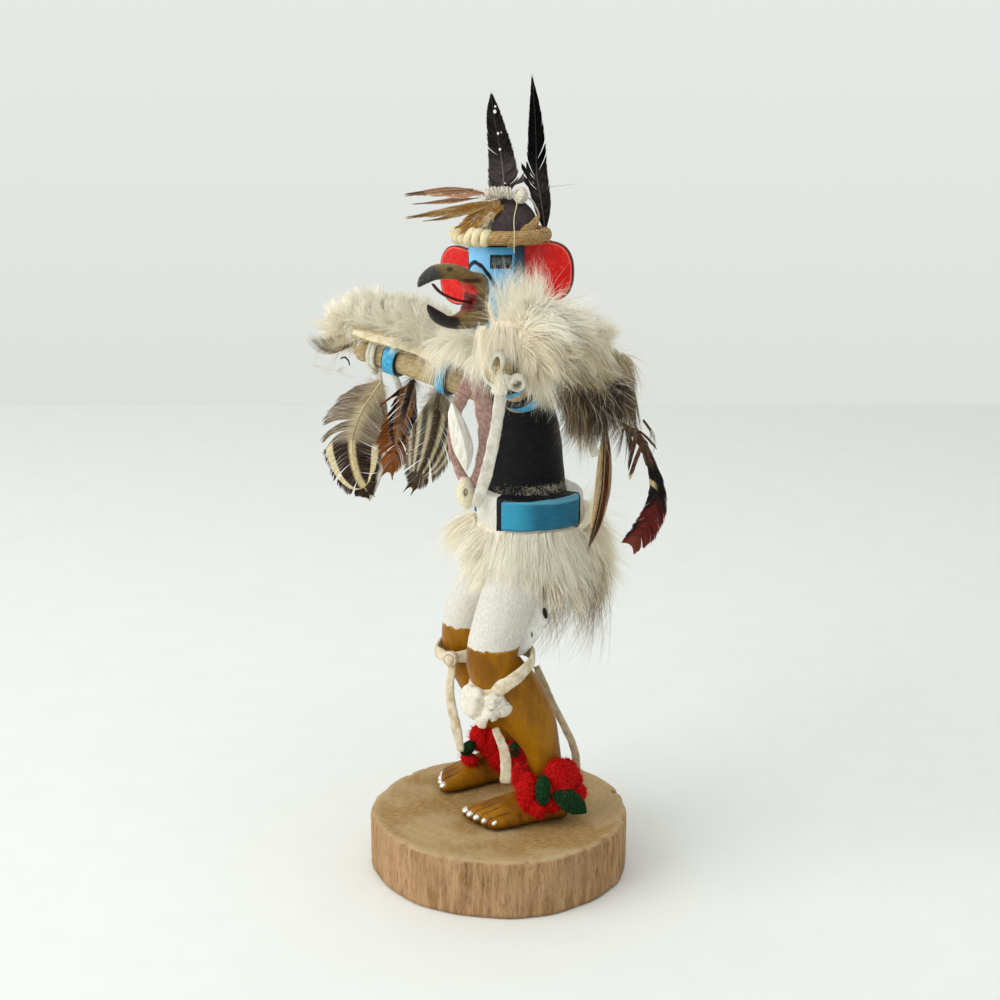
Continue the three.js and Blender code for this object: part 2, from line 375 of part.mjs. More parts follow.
const skirtFur = g => {
  const rows = [ // z, centre y, half width, front depth, back depth
    [93, 11, 17.5, 18.5, 19], [95, 11.5, 22.5, 23.5, 24], [102, 11.5, 23.6, 24, 24.5], [108, 11.5, 22, 21.5, 22.5], [115.6, 11.5, 18.4, 17.6, 18.4]];
  const rings = rows.map(([z, y, a, f, b], i) => {
    const out = [];
    for (let j = 0; j < 14; j++) {
      const w = 2 * Math.PI * j / 14, c = Math.cos(w), s = Math.sin(w);
      const wob = 1 + 0.03 * wave(w, 5, i) + 0.02 * wave(w, 9, 2 * i);
      out.push(P(HIP.x + (a + g) * c * wob, y + ((s < 0 ? f : b) + g) * s * wob, z - (i === 0 ? g : 0) + (i === rows.length - 1 ? g : 0)));
    }
    return out;
  });
  // the long tail of fur hanging behind
  return join(skin(rings), limb([[0, 26.5, 123, 9, 4.2], [1, 29, 112, 11.5, 6], [3, 30.5, 98, 11.5, 7], [4.5, 28.5, 86, 8.5, 6], [5, 26, 76, 4.5, 4], [5.2, 24.6, 71, 2, 2]], { n: 8, grow: g, blunt: 0, ref: P(1, 0, 0) }));
};

// ---------------------------------------------------------------- pendants
const suedeLoop = g => join(
  loopStrap([[-1.2, -8.2, 162], [-3.6, -12.6, 154], [-4.4, -14.4, 144.5], [-3.4, -13.2, 135], [-0.6, -9.8, 129.2], [0.6, -7.4, 134], [1.6, -5.8, 143], [1.4, -5.4, 152]], 1.6, 1.1, () => CAM_FACE, { grow: g, steps: 14 }));
const shell = g => limb([[0.8, -16.1, 155.8, 0.4, 0.3], [1.4, -15.6, 152.4, 2.1, 0.8], [2.4, -14.3, 146.6, 3.2, 1.15], [2.6, -13, 141.4, 3.3, 1.15], [2.2, -12.2, 137.2, 1.9, 0.8], [2, -12, 134.2, 0.3, 0.3]],
  { n: 8, ref: P(0.342, 0.94, 0), grow: g, blunt: 0 });
const bead = g => limb([[-0.4, -11.6, 131.2, 1.6, 1.2], [-0.2, -11.6, 128.6, 2.6, 2.1], [0.2, -11.4, 125.2, 2.9, 2.3], [0.6, -11, 122.4, 1.6, 1.3]], { n: 8, blunt: 0, ref: P(0.342, 0.94, 0), grow: g });

// ---------------------------------------------------------------- belt leathers, glued to the hips at each side
function beltPatch(side, g) {
  const a0 = (side > 0 ? -0.86 : Math.PI + 0.86), a1 = (side > 0 ? 0.63 : Math.PI - 0.63), n = 8, inner = GAP - g, rings = [];
  for (let i = 0; i <= n; i++) {
    const w = lerp(a0, a1, i / n) - (i === 0 ? side * 0.02 * g : 0), cw = Math.cos(w), sw = Math.sin(w);
    const k = Math.pow(Math.pow(Math.abs(cw), 2.3) + Math.pow(Math.abs(sw), 2.3), -1 / 2.3);
    const at = (r, z) => P(HIP.x + (HIP.ax + r) * k * cw, HIP.y + (HIP.ay + r) * k * sw, z);
    const z0 = 116 - g + 0.5 * i / n, z1 = 125 + g + 1.4 * i / n, t = GAP + BELT.thick + g;
    rings.push([at(inner, z0), at(t, z0), at(t, z1), at(inner, z1)]);
  }
  return skin(rings);
}

// ---------------------------------------------------------------- knee thongs, rattle, anklets
const outward = (cx, cy) => c => P(c.x - cx, c.y - cy, 0);
const tieLeft = g => loopStrap([[12.2, -13.8, 65.6], [18.6, -9, 67.4], [21.8, -3, 71.6], [19, 3.6, 75.4], [12.2, 5.6, 76.6], [4.6, 3, 75], [2.4, -3.6, 71.4], [5.6, -10.8, 67.2]], 2.3, 1.5, outward(12.2, -3), { grow: g, steps: 12 });
const tieRight = g => loopStrap([[-21, -14.4, 67.6], [-14.4, -11, 67.6], [-11.6, -3.4, 69], [-14, 4.6, 70.6], [-21, 7.4, 71], [-28, 4.4, 70.6], [-30.6, -3.4, 69], [-27.4, -11, 68]], 2.1, 1.4, outward(-21.3, -3), { grow: g, steps: 12 });
const rattle = g => join(
  egg([13.2, -13, 62.4], [4.2, 4.2, 6.2], { grow: g, w: 7, h: 5, a: P(1, 0, 0), b: P(0, 1, 0.2) }),
  egg([18.4, -8, 62.4], [3.8, 4.3, 4.8], { grow: g, w: 7, h: 5 }),
  egg([16, -10, 56.6], [2.2, 2.4, 2], { grow: g, w: 6, h: 4 }));
const THONG_FRONT = [[-12.5, -12.2, 66.4], [-12, -13.2, 57.4], [-11.4, -12.8, 51], [-10.5, -11.5, 43.8], [-9.1, -10.5, 36.2]];
const THONG_MID = [[16.9, -8, 54], [16.2, -5.2, 47.6], [15.6, -3.8, 41.6], [15.2, -3.8, 34]];
const THONG_BACK = [[5.4, 10.4, 68.4], [5.2, 13.6, 61], [5.4, 16.4, 54.6], [7, 19.8, 47], [8.1, 22.6, 40], [8.6, 23.7, 33], [8.7, 23.9, 29.2]];

const ANKLE = { left: P(12.7, 12.4, 32.2), right: P(-22.5, 9, 31.6) };
function anklet(c, r, petals, phase, g) {
  const rings = [], m = 12;
  for (let i = 0; i < m; i++) {
    const a = 2 * Math.PI * i / m, swell = 0.5 + 0.5 * wave(a, petals, phase), q = 2.3 + 1.3 * swell + g;
    const rr = r + q - g * 1 + 0.25;
    rings.push(ring(P(c.x + rr * Math.cos(a), c.y + rr * Math.sin(a), c.z + 0.9 * wave(a, 2, phase)), P(-Math.sin(a), Math.cos(a), 0), UP, q * 1.75, q, 6));
  }
  return skin(rings, true);
}
const leaf = (c, r, a, b, g) => egg(c, r, { a: P(...a), b: P(...b), grow: g, w: 7, h: 5 });

// ---------------------------------------------------------------- the list, innermost first
const wood = { color: 0xb99a76, roughness: 0.85 }, ochre = { color: 0xa8741c, roughness: 0.45 }, hide = { color: 0xe8e0cf, roughness: 0.9 };
const furWhite = { color: 0xe6e0d0, roughness: 1 }, red = { color: 0xc01014, roughness: 0.35 }, blue = { color: 0x2f8fb5, roughness: 0.45 }, green = { color: 0x11462a, roughness: 0.9 };
const black = { color: 0x1c1a1d, roughness: 0.6 }, cream = { color: 0xe9dfc0, roughness: 0.9 };
const N = P;
const LIST = [
  ['base', slice, wood],
  ['figure', figure, ochre],
  ['head', headBlock, { color: 0x76b8e0, roughness: 0.5 }],
  ['beak', beak, { color: 0x8d7440, roughness: 0.4 }],
  ['tongue', tongue, { color: 0x5a0f12, roughness: 0.4 }],
  ['ear_left', g => ear(1, 0.4, 0.52, 0, g), red],
  ['ear_right', g => ear(-1, -0.1, 0.02, -3, g), red],
  ['wreath', wreath, { color: 0xb98a52, roughness: 0.8 }],
  ['wreath_yarn', wreathYarn, cream],
  ['arm_left', g => arm(ARM_L, FIST_L, g), { color: 0xb08a5a, roughness: 0.7 }],
  ['arm_right', g => arm(ARM_R, FIST_R, g), { color: 0xb08a5a, roughness: 0.7 }],
  ['armband_left_upper', g => armband(ARM_L, 1, 0.92, g), blue],
  ['armband_left_wrist', g => armband(ARM_L, 3, 0.7, g), blue],
  ['armband_right_upper', g => armband(ARM_R, 2, 0.05, g), blue],
  ['armband_right_wrist', g => armband(ARM_R, 3, 0.85, g), blue],
  ['hand_tie_left', g => handTie(ARM_L, g), hide],
  ['hand_tie_right', g => handTie(ARM_R, g), hide],
  ['belt_patch_left', g => beltPatch(1, g), blue],
  ['belt_patch_right', g => beltPatch(-1, g), blue],
  ['rattle', rattle, hide],
  ['knee_tie_left', tieLeft, hide],
  ['knee_tie_right', tieRight, hide],
  ['anklet_leaf_left_front', g => leaf([21.4, 6.6, 32.4], [2.2, 2.6, 5.4], [0.94, -0.342, 0], [0.342, 0.94, 0], g), green],
  ['anklet_leaf_left_back', g => leaf([20.8, 16.4, 27.6], [1.3, 4.6, 3.2], [0.94, -0.1, 0.3], [0.2, 0.94, -0.25], g), green],
  ['anklet_leaf_right_front', g => leaf([-17.2, -2.6, 33.4], [3.4, 1.9, 2.4], [0.3, -0.9, -0.5], [1, 0.3, 0], g), green],
  ['anklet_leaf_right_inner', g => leaf([-13.2, 7, 34], [2, 1.8, 3.6], [1, 0, 0], [0, 1, 0], g), green],
  ['anklet_left', g => anklet(ANKLE.left, 5.7, 4, 0.9, g), red],
  ['anklet_right', g => anklet(ANKLE.right, 5.7, 4, 0.2, g), red],
  ['crest_feather_left', crestLeft, black],
  ['crest_feather_right', crestRight, black],
  ['topknot_cord', topCord, cream],
  ['topknot_feather_upper', topA, { color: 0x9a7460, roughness: 0.7 }],
  ['topknot_feather_middle', topB, { color: 0x94734a, roughness: 0.7 }],
  ['topknot_feather_lower', topC, { color: 0x8a5a26, roughness: 0.7 }],
  ['shell_pendant', shell, { color: 0xece6da, roughness: 0.3 }],
  ['bead_pendant', bead, cream],
  ['suede_loop', suedeLoop, { color: 0xb48474, roughness: 1 }],
  ['hand_strip_left', g => strip(STRIP_L, 1.75, 1, P(0.94, -0.342, 0), g), hide],
  ['hand_strip_right', g => strip(STRIP_R, 1.3, 1, P(0.6, -0.8, 0), g), hide],
  ['thong_front', g => strip(THONG_FRONT, 1.5, 1, P(0.8, -0.6, 0), g), hide],
  ['thong_middle', g => strip(THONG_MID, 1.5, 1, P(0.94, -0.342, 0), g), hide],
  ['thong_back', g => strip(THONG_BACK, 1.2, 1, P(0.94, -0.342, 0), g), hide],
  ['wing_feather_right_barred', g => wingFeather('barred', P(0.9, -0.42, 0), g), { color: 0x84725a, roughness: 0.8 }],
  ['wing_feather_right_rust', g => wingFeather('rust', P(0.94, -0.342, 0.1), g), { color: 0x8a4a1c, roughness: 0.8 }],
  ['wing_feather_right_striped', g => wingFeather('striped', P(0.96, -0.28, 0), g), { color: 0x8c7c62, roughness: 0.8 }],
  ['wing_feather_left_thin', g => wingFeather('thin', P(0.75, 0.66, 0), g), { color: 0xa8835c, roughness: 0.8 }],
  ['wing_feather_left_curved', g => wingFeather('curved', P(0.9, -0.42, 0.1), g), { color: 0x5a2018, roughness: 0.8 }],
  ['neck_fur', neckFur, furWhite],
  ['wing_fur_right', wingFurRight, furWhite],
  ['wing_fur_left', wingFurLeft, furWhite],
  ['skirt_fur', skirtFur, furWhite],
];

// each piece in turn makes room for the ones before it, and keeps its main body;
// fur only needs plain room round what it lies on
const boxOf = m => { const b = m.boundingBox(); return new THREE.Box3(P(...b.min), P(...b.max)); };
const roomFor = (make, plain) => { coarse = plain; const m = make(GAP); coarse = false; return m; };
const model = new THREE.Group();
const done = [];
for (const [name, make, look] of LIST) {
  const soft = name.endsWith('fur') || name.startsWith('wing_fur');
  let body = make(0);
  const box = boxOf(body);
  for (const other of done) if (other.box.intersectsBox(box)) body = body.subtract(soft ? other.plain : other.exact);
  const parts = body.decompose().sort((a, b) => b.volume() - a.volume());
  const mesh = new THREE.Mesh(geometryOf(parts[0]), new THREE.MeshStandardMaterial({ metalness: 0, ...look }));
  mesh.name = name;
  model.add(mesh);
  const exact = roomFor(make, false), plain = roomFor(make, !soft);
  done.push({ exact, plain, box: boxOf(plain).union(boxOf(exact)) });
}

export default model;
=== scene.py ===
"""Looks for the eagle-dancer doll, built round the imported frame. Metres; lengths below are in millimetres and scaled once."""
import bpy
import math
import numpy as np
from mathutils import Vector, Matrix
from mathutils.kdtree import KDTree


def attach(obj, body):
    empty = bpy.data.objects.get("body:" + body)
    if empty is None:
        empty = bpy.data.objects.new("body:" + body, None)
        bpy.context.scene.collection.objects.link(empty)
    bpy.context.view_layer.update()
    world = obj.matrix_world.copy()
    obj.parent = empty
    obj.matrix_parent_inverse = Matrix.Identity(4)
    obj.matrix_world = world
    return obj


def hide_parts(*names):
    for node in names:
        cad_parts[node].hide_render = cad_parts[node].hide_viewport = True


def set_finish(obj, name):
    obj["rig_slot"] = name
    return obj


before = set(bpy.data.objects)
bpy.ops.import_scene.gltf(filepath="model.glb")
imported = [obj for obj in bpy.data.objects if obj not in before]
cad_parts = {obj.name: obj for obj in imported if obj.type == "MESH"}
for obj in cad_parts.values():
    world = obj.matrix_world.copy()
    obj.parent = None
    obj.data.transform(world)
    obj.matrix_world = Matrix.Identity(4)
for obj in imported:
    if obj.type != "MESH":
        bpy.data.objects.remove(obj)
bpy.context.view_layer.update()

MM = 0.001
RNG = np.random.default_rng


def A(*v):
    return np.array(v, dtype=np.float64)


def unit(v, axis=-1):
    v = np.asarray(v, dtype=np.float64)
    n = np.linalg.norm(v, axis=axis, keepdims=True)
    return v / np.maximum(n, 1e-12)


def lerp(a, b, t):
    return a + (b - a) * t


def sstep(a, b, x):
    t = np.clip((np.asarray(x, dtype=np.float64) - a) / (b - a), 0, 1)
    return t * t * (3 - 2 * t)


# ------------------------------------------------------------------ smooth value noise
def _hash(ix, iy, iz, seed):
    h = (ix * 374761393 + iy * 668265263 + iz * 2147483647 + seed * 1274126177) & 0xFFFFFFFF
    h = ((h ^ (h >> 13)) * 1103515245) & 0xFFFFFFFF
    h = ((h ^ (h >> 16)) * 2246822519) & 0xFFFFFFFF
    return ((h ^ (h >> 15)) & 0xFFFFFF) / float(0xFFFFFF) * 2 - 1


def vnoise(p, scale=1.0, seed=0, octaves=1, gain=0.5):
    """value noise from -1 to 1 at points p (..., 3)"""
    p = np.asarray(p, dtype=np.float64) * scale
    out = np.zeros(p.shape[:-1]); amp = 1.0; tot = 0.0
    for o in range(octaves):
        q = p * (2.03 ** o) + 17.3 * o
        i = np.floor(q).astype(np.int64); f = q - i
        f = f * f * (3 - 2 * f)
        acc = 0
        for dx in (0, 1):
            wx = f[..., 0] if dx else 1 - f[..., 0]
            for dy in (0, 1):
                wy = f[..., 1] if dy else 1 - f[..., 1]
                for dz in (0, 1):
                    wz = f[..., 2] if dz else 1 - f[..., 2]
                    acc = acc + wx * wy * wz * _hash(i[..., 0] + dx, i[..., 1] + dy, i[..., 2] + dz, seed + 31 * o)
        out += amp * acc; tot += amp; amp *= gain
    return out / tot


def vnoise3(p, scale=1.0, seed=0, octaves=1):
    return np.stack([vnoise(p, scale, seed + 7 * k + 1, octaves) for k in range(3)], axis=-1)


# ------------------------------------------------------------------ curves and lofts (millimetres)
def smooth_rows(rows, m, closed=False):
    """Catmull-Rom through rows of any width, m+1 samples (m if closed)"""
    r = np.asarray(rows, dtype=np.float64); n = len(r)
    if closed:
        t = np.arange(m) / m * n; k = np.floor(t).astype(int); f = (t - k)[:, None]
        p0, p1, p2, p3 = r[(k - 1) % n], r[k % n], r[(k + 1) % n], r[(k + 2) % n]
    else:
        e = np.vstack([2 * r[0] - r[1], r, 2 * r[-1] - r[-2]])
        t = np.arange(m + 1) / m * (n - 1); k = np.minimum(np.floor(t).astype(int), n - 2); f = (t - k)[:, None]
        p0, p1, p2, p3 = e[k], e[k + 1], e[k + 2], e[k + 3]
    return 0.5 * ((2 * p1) + (-p0 + p2) * f + (2 * p0 - 5 * p1 + 4 * p2 - p3) * f * f + (-p0 + 3 * p1 - 3 * p2 + p3) * f ** 3)


def tangents(p, closed=False):
    if closed:
        return unit(np.roll(p, -1, 0) - np.roll(p, 1, 0))
    d = np.empty_like(p); d[1:-1] = p[2:] - p[:-2]; d[0] = p[1] - p[0]; d[-1] = p[-1] - p[-2]
    return unit(d)


def frames(p, ref, closed=False):
    """tangent, side (towards ref) and the third direction; ref is one vector or one for each point"""
    t = tangents(p, closed); ref = np.broadcast_to(np.asarray(ref, dtype=np.float64), t.shape)
    e1 = unit(ref - (ref * t).sum(1, keepdims=True) * t)
    return t, e1, np.cross(t, e1)


def grid_faces(m, n, wrap_n=True, wrap_m=False):
    i = np.arange(m if wrap_m else m - 1); j = np.arange(n if wrap_n else n - 1)
    I, J = np.meshgrid(i, j, indexing="ij")
    a = I * n + J; b = I * n + (J + 1) % n; c = ((I + 1) % m) * n + (J + 1) % n; d = ((I + 1) % m) * n + J
    return np.stack([a, b, c, d], -1).reshape(-1, 4)


def loft(rings, caps=True, loop=False):
    """rings (m, n, 3) -> verts and faces; caps are fans round a middle point"""
    m, n = rings.shape[:2]; v = rings.reshape(-1, 3); f = grid_faces(m, n, True, loop)
    faces = [tuple(q) for q in f]
    if caps and not loop:
        for k, flip in ((0, True), (m - 1, False)):
            c = len(v); v = np.vstack([v, rings[k].mean(0)[None]])
            for j in range(n):
                a, b = k * n + j, k * n + (j + 1) % n
                faces.append((c, b, a) if flip else (c, a, b))
    return v, faces


def tube(rows, n=32, m=60, ref=(1, 0, 0), power=2.0, closed=False, caps=True, wobble=0.0, seed=0, smooth=True):
    """rows (x, y, z, a, b): a half width towards ref, b across it"""
    s = smooth_rows(rows, m, closed) if smooth else np.asarray(rows, float)
    p = s[:, :3]; a = np.maximum(s[:, 3], 0.02); b = np.maximum(s[:, 4], 0.02) if s.shape[1] > 4 else a
    t, e1, e2 = frames(p, ref, closed)
    w = 2 * math.pi * np.arange(n) / n; cw, sw = np.cos(w), np.sin(w)
    k = 1 if power == 2 else (np.abs(cw) ** power + np.abs(sw) ** power) ** (-1 / power)
    rings = p[:, None] + e1[:, None] * (a[:, None] * (k * cw))[..., None] + e2[:, None] * (b[:, None] * (k * sw))[..., None]
    if wobble:
        rings = rings + (rings - p[:, None]) * (wobble * vnoise(rings, 0.6, seed))[..., None]
    return loft(rings, caps, closed)


def round_ends(rows, k=3, depth=0.7):
    """adds shrinking rows at both ends so a tube closes in a rounded tip"""
    r = np.asarray(rows, dtype=np.float64)
    def tip(p, q):
        d = unit(p[:3] - q[:3]); out = []
        for i in range(1, k + 1):
            a = math.pi / 2 * i / k
            row = p.copy(); row[:3] = p[:3] + d * depth * min(p[3], p[-1]) * math.sin(a); row[3:] = p[3:] * max(math.cos(a), 0.02)
            out.append(row)
        return out
    return np.vstack([np.array(tip(r[0], r[1])[::-1]), r, np.array(tip(r[-1], r[-2]))])


def egg(c, r, a=(1, 0, 0), b=(0, 1, 0), w=32, h=20):
    e1 = unit(A(*a)); e2 = A(*b) - A(*b).dot(e1) * e1; e2 = unit(e2); e3 = np.cross(e1, e2)
    th = np.linspace(0, math.pi, h + 1)[1:-1]; ph = 2 * math.pi * np.arange(w) / w
    x = np.cos(th)[:, None] + 0 * ph; y = np.sin(th)[:, None] * np.cos(ph); z = np.sin(th)[:, None] * np.sin(ph)
    rings = A(*c) + e1 * (r[0] * x)[..., None] + e2 * (r[1] * y)[..., None] + e3 * (r[2] * z)[..., None]
    v, f = loft(rings, True)
    v[-2] = A(*c) + e1 * r[0]; v[-1] = A(*c) - e1 * r[0]
    return v, f


def merge(parts):
    vs, fs, base = [], [], 0
    for v, f in parts:
        vs.append(np.asarray(v)); fs += [tuple(int(i) + base for i in q) for q in f]; base += len(v)
    return np.vstack(vs), fs


# ------------------------------------------------------------------ meshes
def collection_link(o):
    bpy.context.scene.collection.objects.link(o)
    return o


def make(name, verts, faces, mats, smooth=True, face_mat=None, uv=None, attrs=None):
    """verts in millimetres; faces a list of tuples or an int array (k, 3 or 4); uv per loop"""
    me = bpy.data.meshes.new(name)
    verts = np.asarray(verts, dtype=np.float64) * MM
    if isinstance(faces, np.ndarray):
        k = faces.shape[1]
        me.vertices.add(len(verts)); me.vertices.foreach_set("co", verts.astype(np.float32).ravel())
        me.loops.add(faces.size); me.loops.foreach_set("vertex_index", faces.astype(np.int32).ravel())
        me.polygons.add(len(faces)); me.polygons.foreach_set("loop_start", np.arange(0, faces.size, k, dtype=np.int32))
        me.update(calc_edges=True)
    else:
        me.from_pydata(verts.tolist(), [], [tuple(int(i) for i in f) for f in faces])
    if smooth:
        me.polygons.foreach_set("use_smooth", np.ones(len(me.polygons), dtype=bool))
    if face_mat is not None:
        me.polygons.foreach_set("material_index", np.asarray(face_mat, dtype=np.int32))
    if uv is not None:
        layer = me.uv_layers.new(name="OFBake")
        layer.data.foreach_set("uv", np.asarray(uv, dtype=np.float32).ravel())
    for key, val in (attrs or {}).items():
        at = me.attributes.new(key, "FLOAT", "POINT"); at.data.foreach_set("value", np.asarray(val, dtype=np.float32))
    for mt in (mats if isinstance(mats, (list, tuple)) else [mats]):
        me.materials.append(mt)
    me.validate(); me.update()
    return collection_link(bpy.data.objects.new(name, me))


def settle(o):
    """the object with its modifiers applied"""
    dg = bpy.context.evaluated_depsgraph_get(); dg.update()
    me = bpy.data.meshes.new_from_object(o.evaluated_get(dg), preserve_all_data_layers=True, depsgraph=dg)
    old = o.data; name = old.name; o.modifiers.clear(); o.data = me; bpy.data.meshes.remove(old); me.name = name
    me.polygons.foreach_set("use_smooth", np.ones(len(me.polygons), dtype=bool))
    return o


def fuse(name, parts, voxel, mats, smooth=6, factor=0.5):
    """closed parts joined into one skin by a voxel remesh, then relaxed"""
    v, f = merge(parts)
    o = make(name, v, f, mats)
    r = o.modifiers.new("remesh", "REMESH"); r.mode = "VOXEL"; r.voxel_size = voxel * MM; r.use_smooth_shade = True
    if smooth:
        s = o.modifiers.new("relax", "SMOOTH"); s.factor = factor; s.iterations = smooth
    return settle(o)


def co(o):
    me = o.data; a = np.empty(len(me.vertices) * 3, dtype=np.float32); me.vertices.foreach_get("co", a)
    return a.reshape(-1, 3).astype(np.float64) / MM


def set_co(o, v):
    o.data.vertices.foreach_set("co", (np.asarray(v) * MM).astype(np.float32).ravel()); o.data.update()


def vnormals(o):
    me = o.data; a = np.empty(len(me.vertices) * 3, dtype=np.float32); me.vertices.foreach_get("normal", a)
    return a.reshape(-1, 3).astype(np.float64)


def push(o, amount):
    """moves each vertex along its normal by amount(v, n) millimetres"""
    v, n = co(o), vnormals(o)
    set_co(o, v + n * np.asarray(amount(v, n))[:, None])
    return o


def lighten(o):
    """big carved meshes keep their relief with fewer triangles"""
    n = sum(len(p.vertices) - 2 for p in o.data.polygons)
    if n < 12000 or any(k in o.name for k in ("hair", "fuzz", "nap", "feather", "strays")):
        return o
    d = o.modifiers.new("thin", "DECIMATE"); d.ratio = 0.38 if n > 30000 else 0.48
    me = bpy.data.meshes.new_from_object(o.evaluated_get(bpy.context.evaluated_depsgraph_get()))
    o.modifiers.clear(); o.data = me
    return o


def place(o, slot, *nodes):
    lighten(o)
    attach(o, "root")
    if nodes:
        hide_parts(*nodes)
    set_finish(o, slot)
    return o


# ------------------------------------------------------------------ material nodes
class S:
    """a socket, or a number, that takes arithmetic"""
    def __init__(self, m, s):
        self.m, self.s = m, s
    def __add__(self, o): return self.m.math("ADD", self, o)
    def __radd__(self, o): return self.m.math("ADD", o, self)
    def __sub__(self, o): return self.m.math("SUBTRACT", self, o)
    def __rsub__(self, o): return self.m.math("SUBTRACT", o, self)
    def __mul__(self, o): return self.m.math("MULTIPLY", self, o)
    def __rmul__(self, o): return self.m.math("MULTIPLY", o, self)
    def __truediv__(self, o): return self.m.math("DIVIDE", self, o)
    def __neg__(self): return self.m.math("MULTIPLY", self, -1.0)


class Mat:
    def __init__(self, name, rough=0.6, spec=0.5, **sockets):
        self.mat = bpy.data.materials.new(name); self.mat.use_nodes = True
        self.nt = self.mat.node_tree; self.nt.nodes.clear()
        self.out = self.nt.nodes.new("ShaderNodeOutputMaterial")
        self.p = self.nt.nodes.new("ShaderNodeBsdfPrincipled")
        self.nt.links.new(self.p.outputs[0], self.out.inputs[0])
        self.p.inputs["Roughness"].default_value = rough
        self.p.inputs["Specular IOR Level"].default_value = spec * 0.55
        for k, v in sockets.items():
            self.p.inputs[k.replace("_", " ")].default_value = v
        self._pos = None

    def put(self, sock, v):
        if isinstance(v, S):
            self.nt.links.new(v.s, sock)
        elif v is not None:
            if hasattr(sock.default_value, "__len__"):
                v = list(v)
                if len(sock.default_value) == 4 and len(v) == 3:
                    v = v + [1.0]
            sock.default_value = v

    def node(self, kind, out=0, **kw):
        n = self.nt.nodes.new("ShaderNode" + kind)
        ins = kw.pop("ins", {})
        for k, v in kw.items():
            setattr(n, k, v)
        for k, v in ins.items():
            self.put(n.inputs[k], v)
        n_out = n.outputs[out]
        return S(self, n_out), n

    def math(self, op, a, b=0.0, c=None, clamp=False):
        n = self.nt.nodes.new("ShaderNodeMath"); n.operation = op; n.use_clamp = clamp
        self.put(n.inputs[0], a); self.put(n.inputs[1], b)
        if c is not None:
            self.put(n.inputs[2], c)
        return S(self, n.outputs[0])

    def vec(self, op, a, b=None, scale=None):
        n = self.nt.nodes.new("ShaderNodeVectorMath"); n.operation = op
        self.put(n.inputs[0], a)
        if b is not None: self.put(n.inputs[1], b)
        if scale is not None: self.put(n.inputs["Scale"], scale)
        return S(self, n.outputs["Value" if op in ("DOT_PRODUCT", "LENGTH", "DISTANCE") else "Vector"])

    def sin(self, a): return self.math("SINE", a)
    def abs(self, a): return self.math("ABSOLUTE", a)
    def mx(self, a, b): return self.math("MAXIMUM", a, b)
    def mn(self, a, b): return self.math("MINIMUM", a, b)
    def pw(self, a, b): return self.math("POWER", a, b)

    @property
    def pos(self):
        """object coordinates in millimetres"""
        if self._pos is None:
            t = self.nt.nodes.new("ShaderNodeTexCoord")
            self._pos = self.vec("SCALE", S(self, t.outputs["Object"]), scale=1000.0)
        return self._pos

    def xyz(self, v=None):
        n = self.nt.nodes.new("ShaderNodeSeparateXYZ"); self.put(n.inputs[0], v or self.pos)
        return [S(self, n.outputs[k]) for k in range(3)]

    def cmb(self, x, y, z):
        n = self.nt.nodes.new("ShaderNodeCombineXYZ")
        for k, v in enumerate((x, y, z)): self.put(n.inputs[k], v)
        return S(self, n.outputs[0])

    def stretch(self, v, s, rot=None):
        n = self.nt.nodes.new("ShaderNodeMapping"); self.put(n.inputs["Vector"], v); n.inputs["Scale"].default_value = s
        if rot: n.inputs["Rotation"].default_value = rot
        return S(self, n.outputs[0])

    def noise(self, v, scale, detail=3.0, rough=0.55, dist=0.0, colour=False):
        n = self.nt.nodes.new("ShaderNodeTexNoise"); n.noise_dimensions = "3D"
        self.put(n.inputs["Vector"], v); self.put(n.inputs["Scale"], scale); n.inputs["Detail"].default_value = detail
        n.inputs["Roughness"].default_value = rough; n.inputs["Distortion"].default_value = dist
        return S(self, n.outputs["Color" if colour else "Fac"])

    def vor(self, v, scale, feature="F1", out="Distance", rand=1.0):
        n = self.nt.nodes.new("ShaderNodeTexVoronoi"); n.feature = feature
        self.put(n.inputs["Vector"], v); n.inputs["Scale"].default_value = scale; n.inputs["Randomness"].default_value = rand
        return S(self, n.outputs[out])

    def ss(self, x, a, b, lo=0.0, hi=1.0, mode="SMOOTHSTEP"):
        n = self.nt.nodes.new("ShaderNodeMapRange"); n.interpolation_type = mode
        self.put(n.inputs["Value"], x); self.put(n.inputs["From Min"], a); self.put(n.inputs["From Max"], b)
        self.put(n.inputs["To Min"], lo); self.put(n.inputs["To Max"], hi)
        return S(self, n.outputs[0])

    def ramp(self, x, stops, mode="LINEAR"):
        n = self.nt.nodes.new("ShaderNodeValToRGB"); self.put(n.inputs[0], x); r = n.color_ramp; r.interpolation = mode
        while len(r.elements) > 1: r.elements.remove(r.elements[-1])
        for i, (t, c) in enumerate(stops):
            e = r.elements[0] if i == 0 else r.elements.new(t)
            e.position = t; e.color = (*c, 1.0) if len(c) == 3 else c
        return S(self, n.outputs[0])

    def mix(self, f, a, b, blend="MIX"):
        n = self.nt.nodes.new("ShaderNodeMix"); n.data_type = "RGBA"; n.blend_type = blend; n.clamp_factor = True
        self.put(n.inputs[0], f); self.put(n.inputs[6], a); self.put(n.inputs[7], b)
        return S(self, n.outputs[2])

    def fmix(self, f, a, b):
        n = self.nt.nodes.new("ShaderNodeMix"); n.data_type = "FLOAT"; n.clamp_factor = True
        self.put(n.inputs[0], f); self.put(n.inputs[2], a); self.put(n.inputs[3], b)
        return S(self, n.outputs[0])

    def attr(self, name):
        n = self.nt.nodes.new("ShaderNodeAttribute"); n.attribute_name = name
        return S(self, n.outputs["Fac"])

    def uv(self, name="OFBake"):
        n = self.nt.nodes.new("ShaderNodeUVMap"); n.uv_map = name
        return S(self, n.outputs[0])

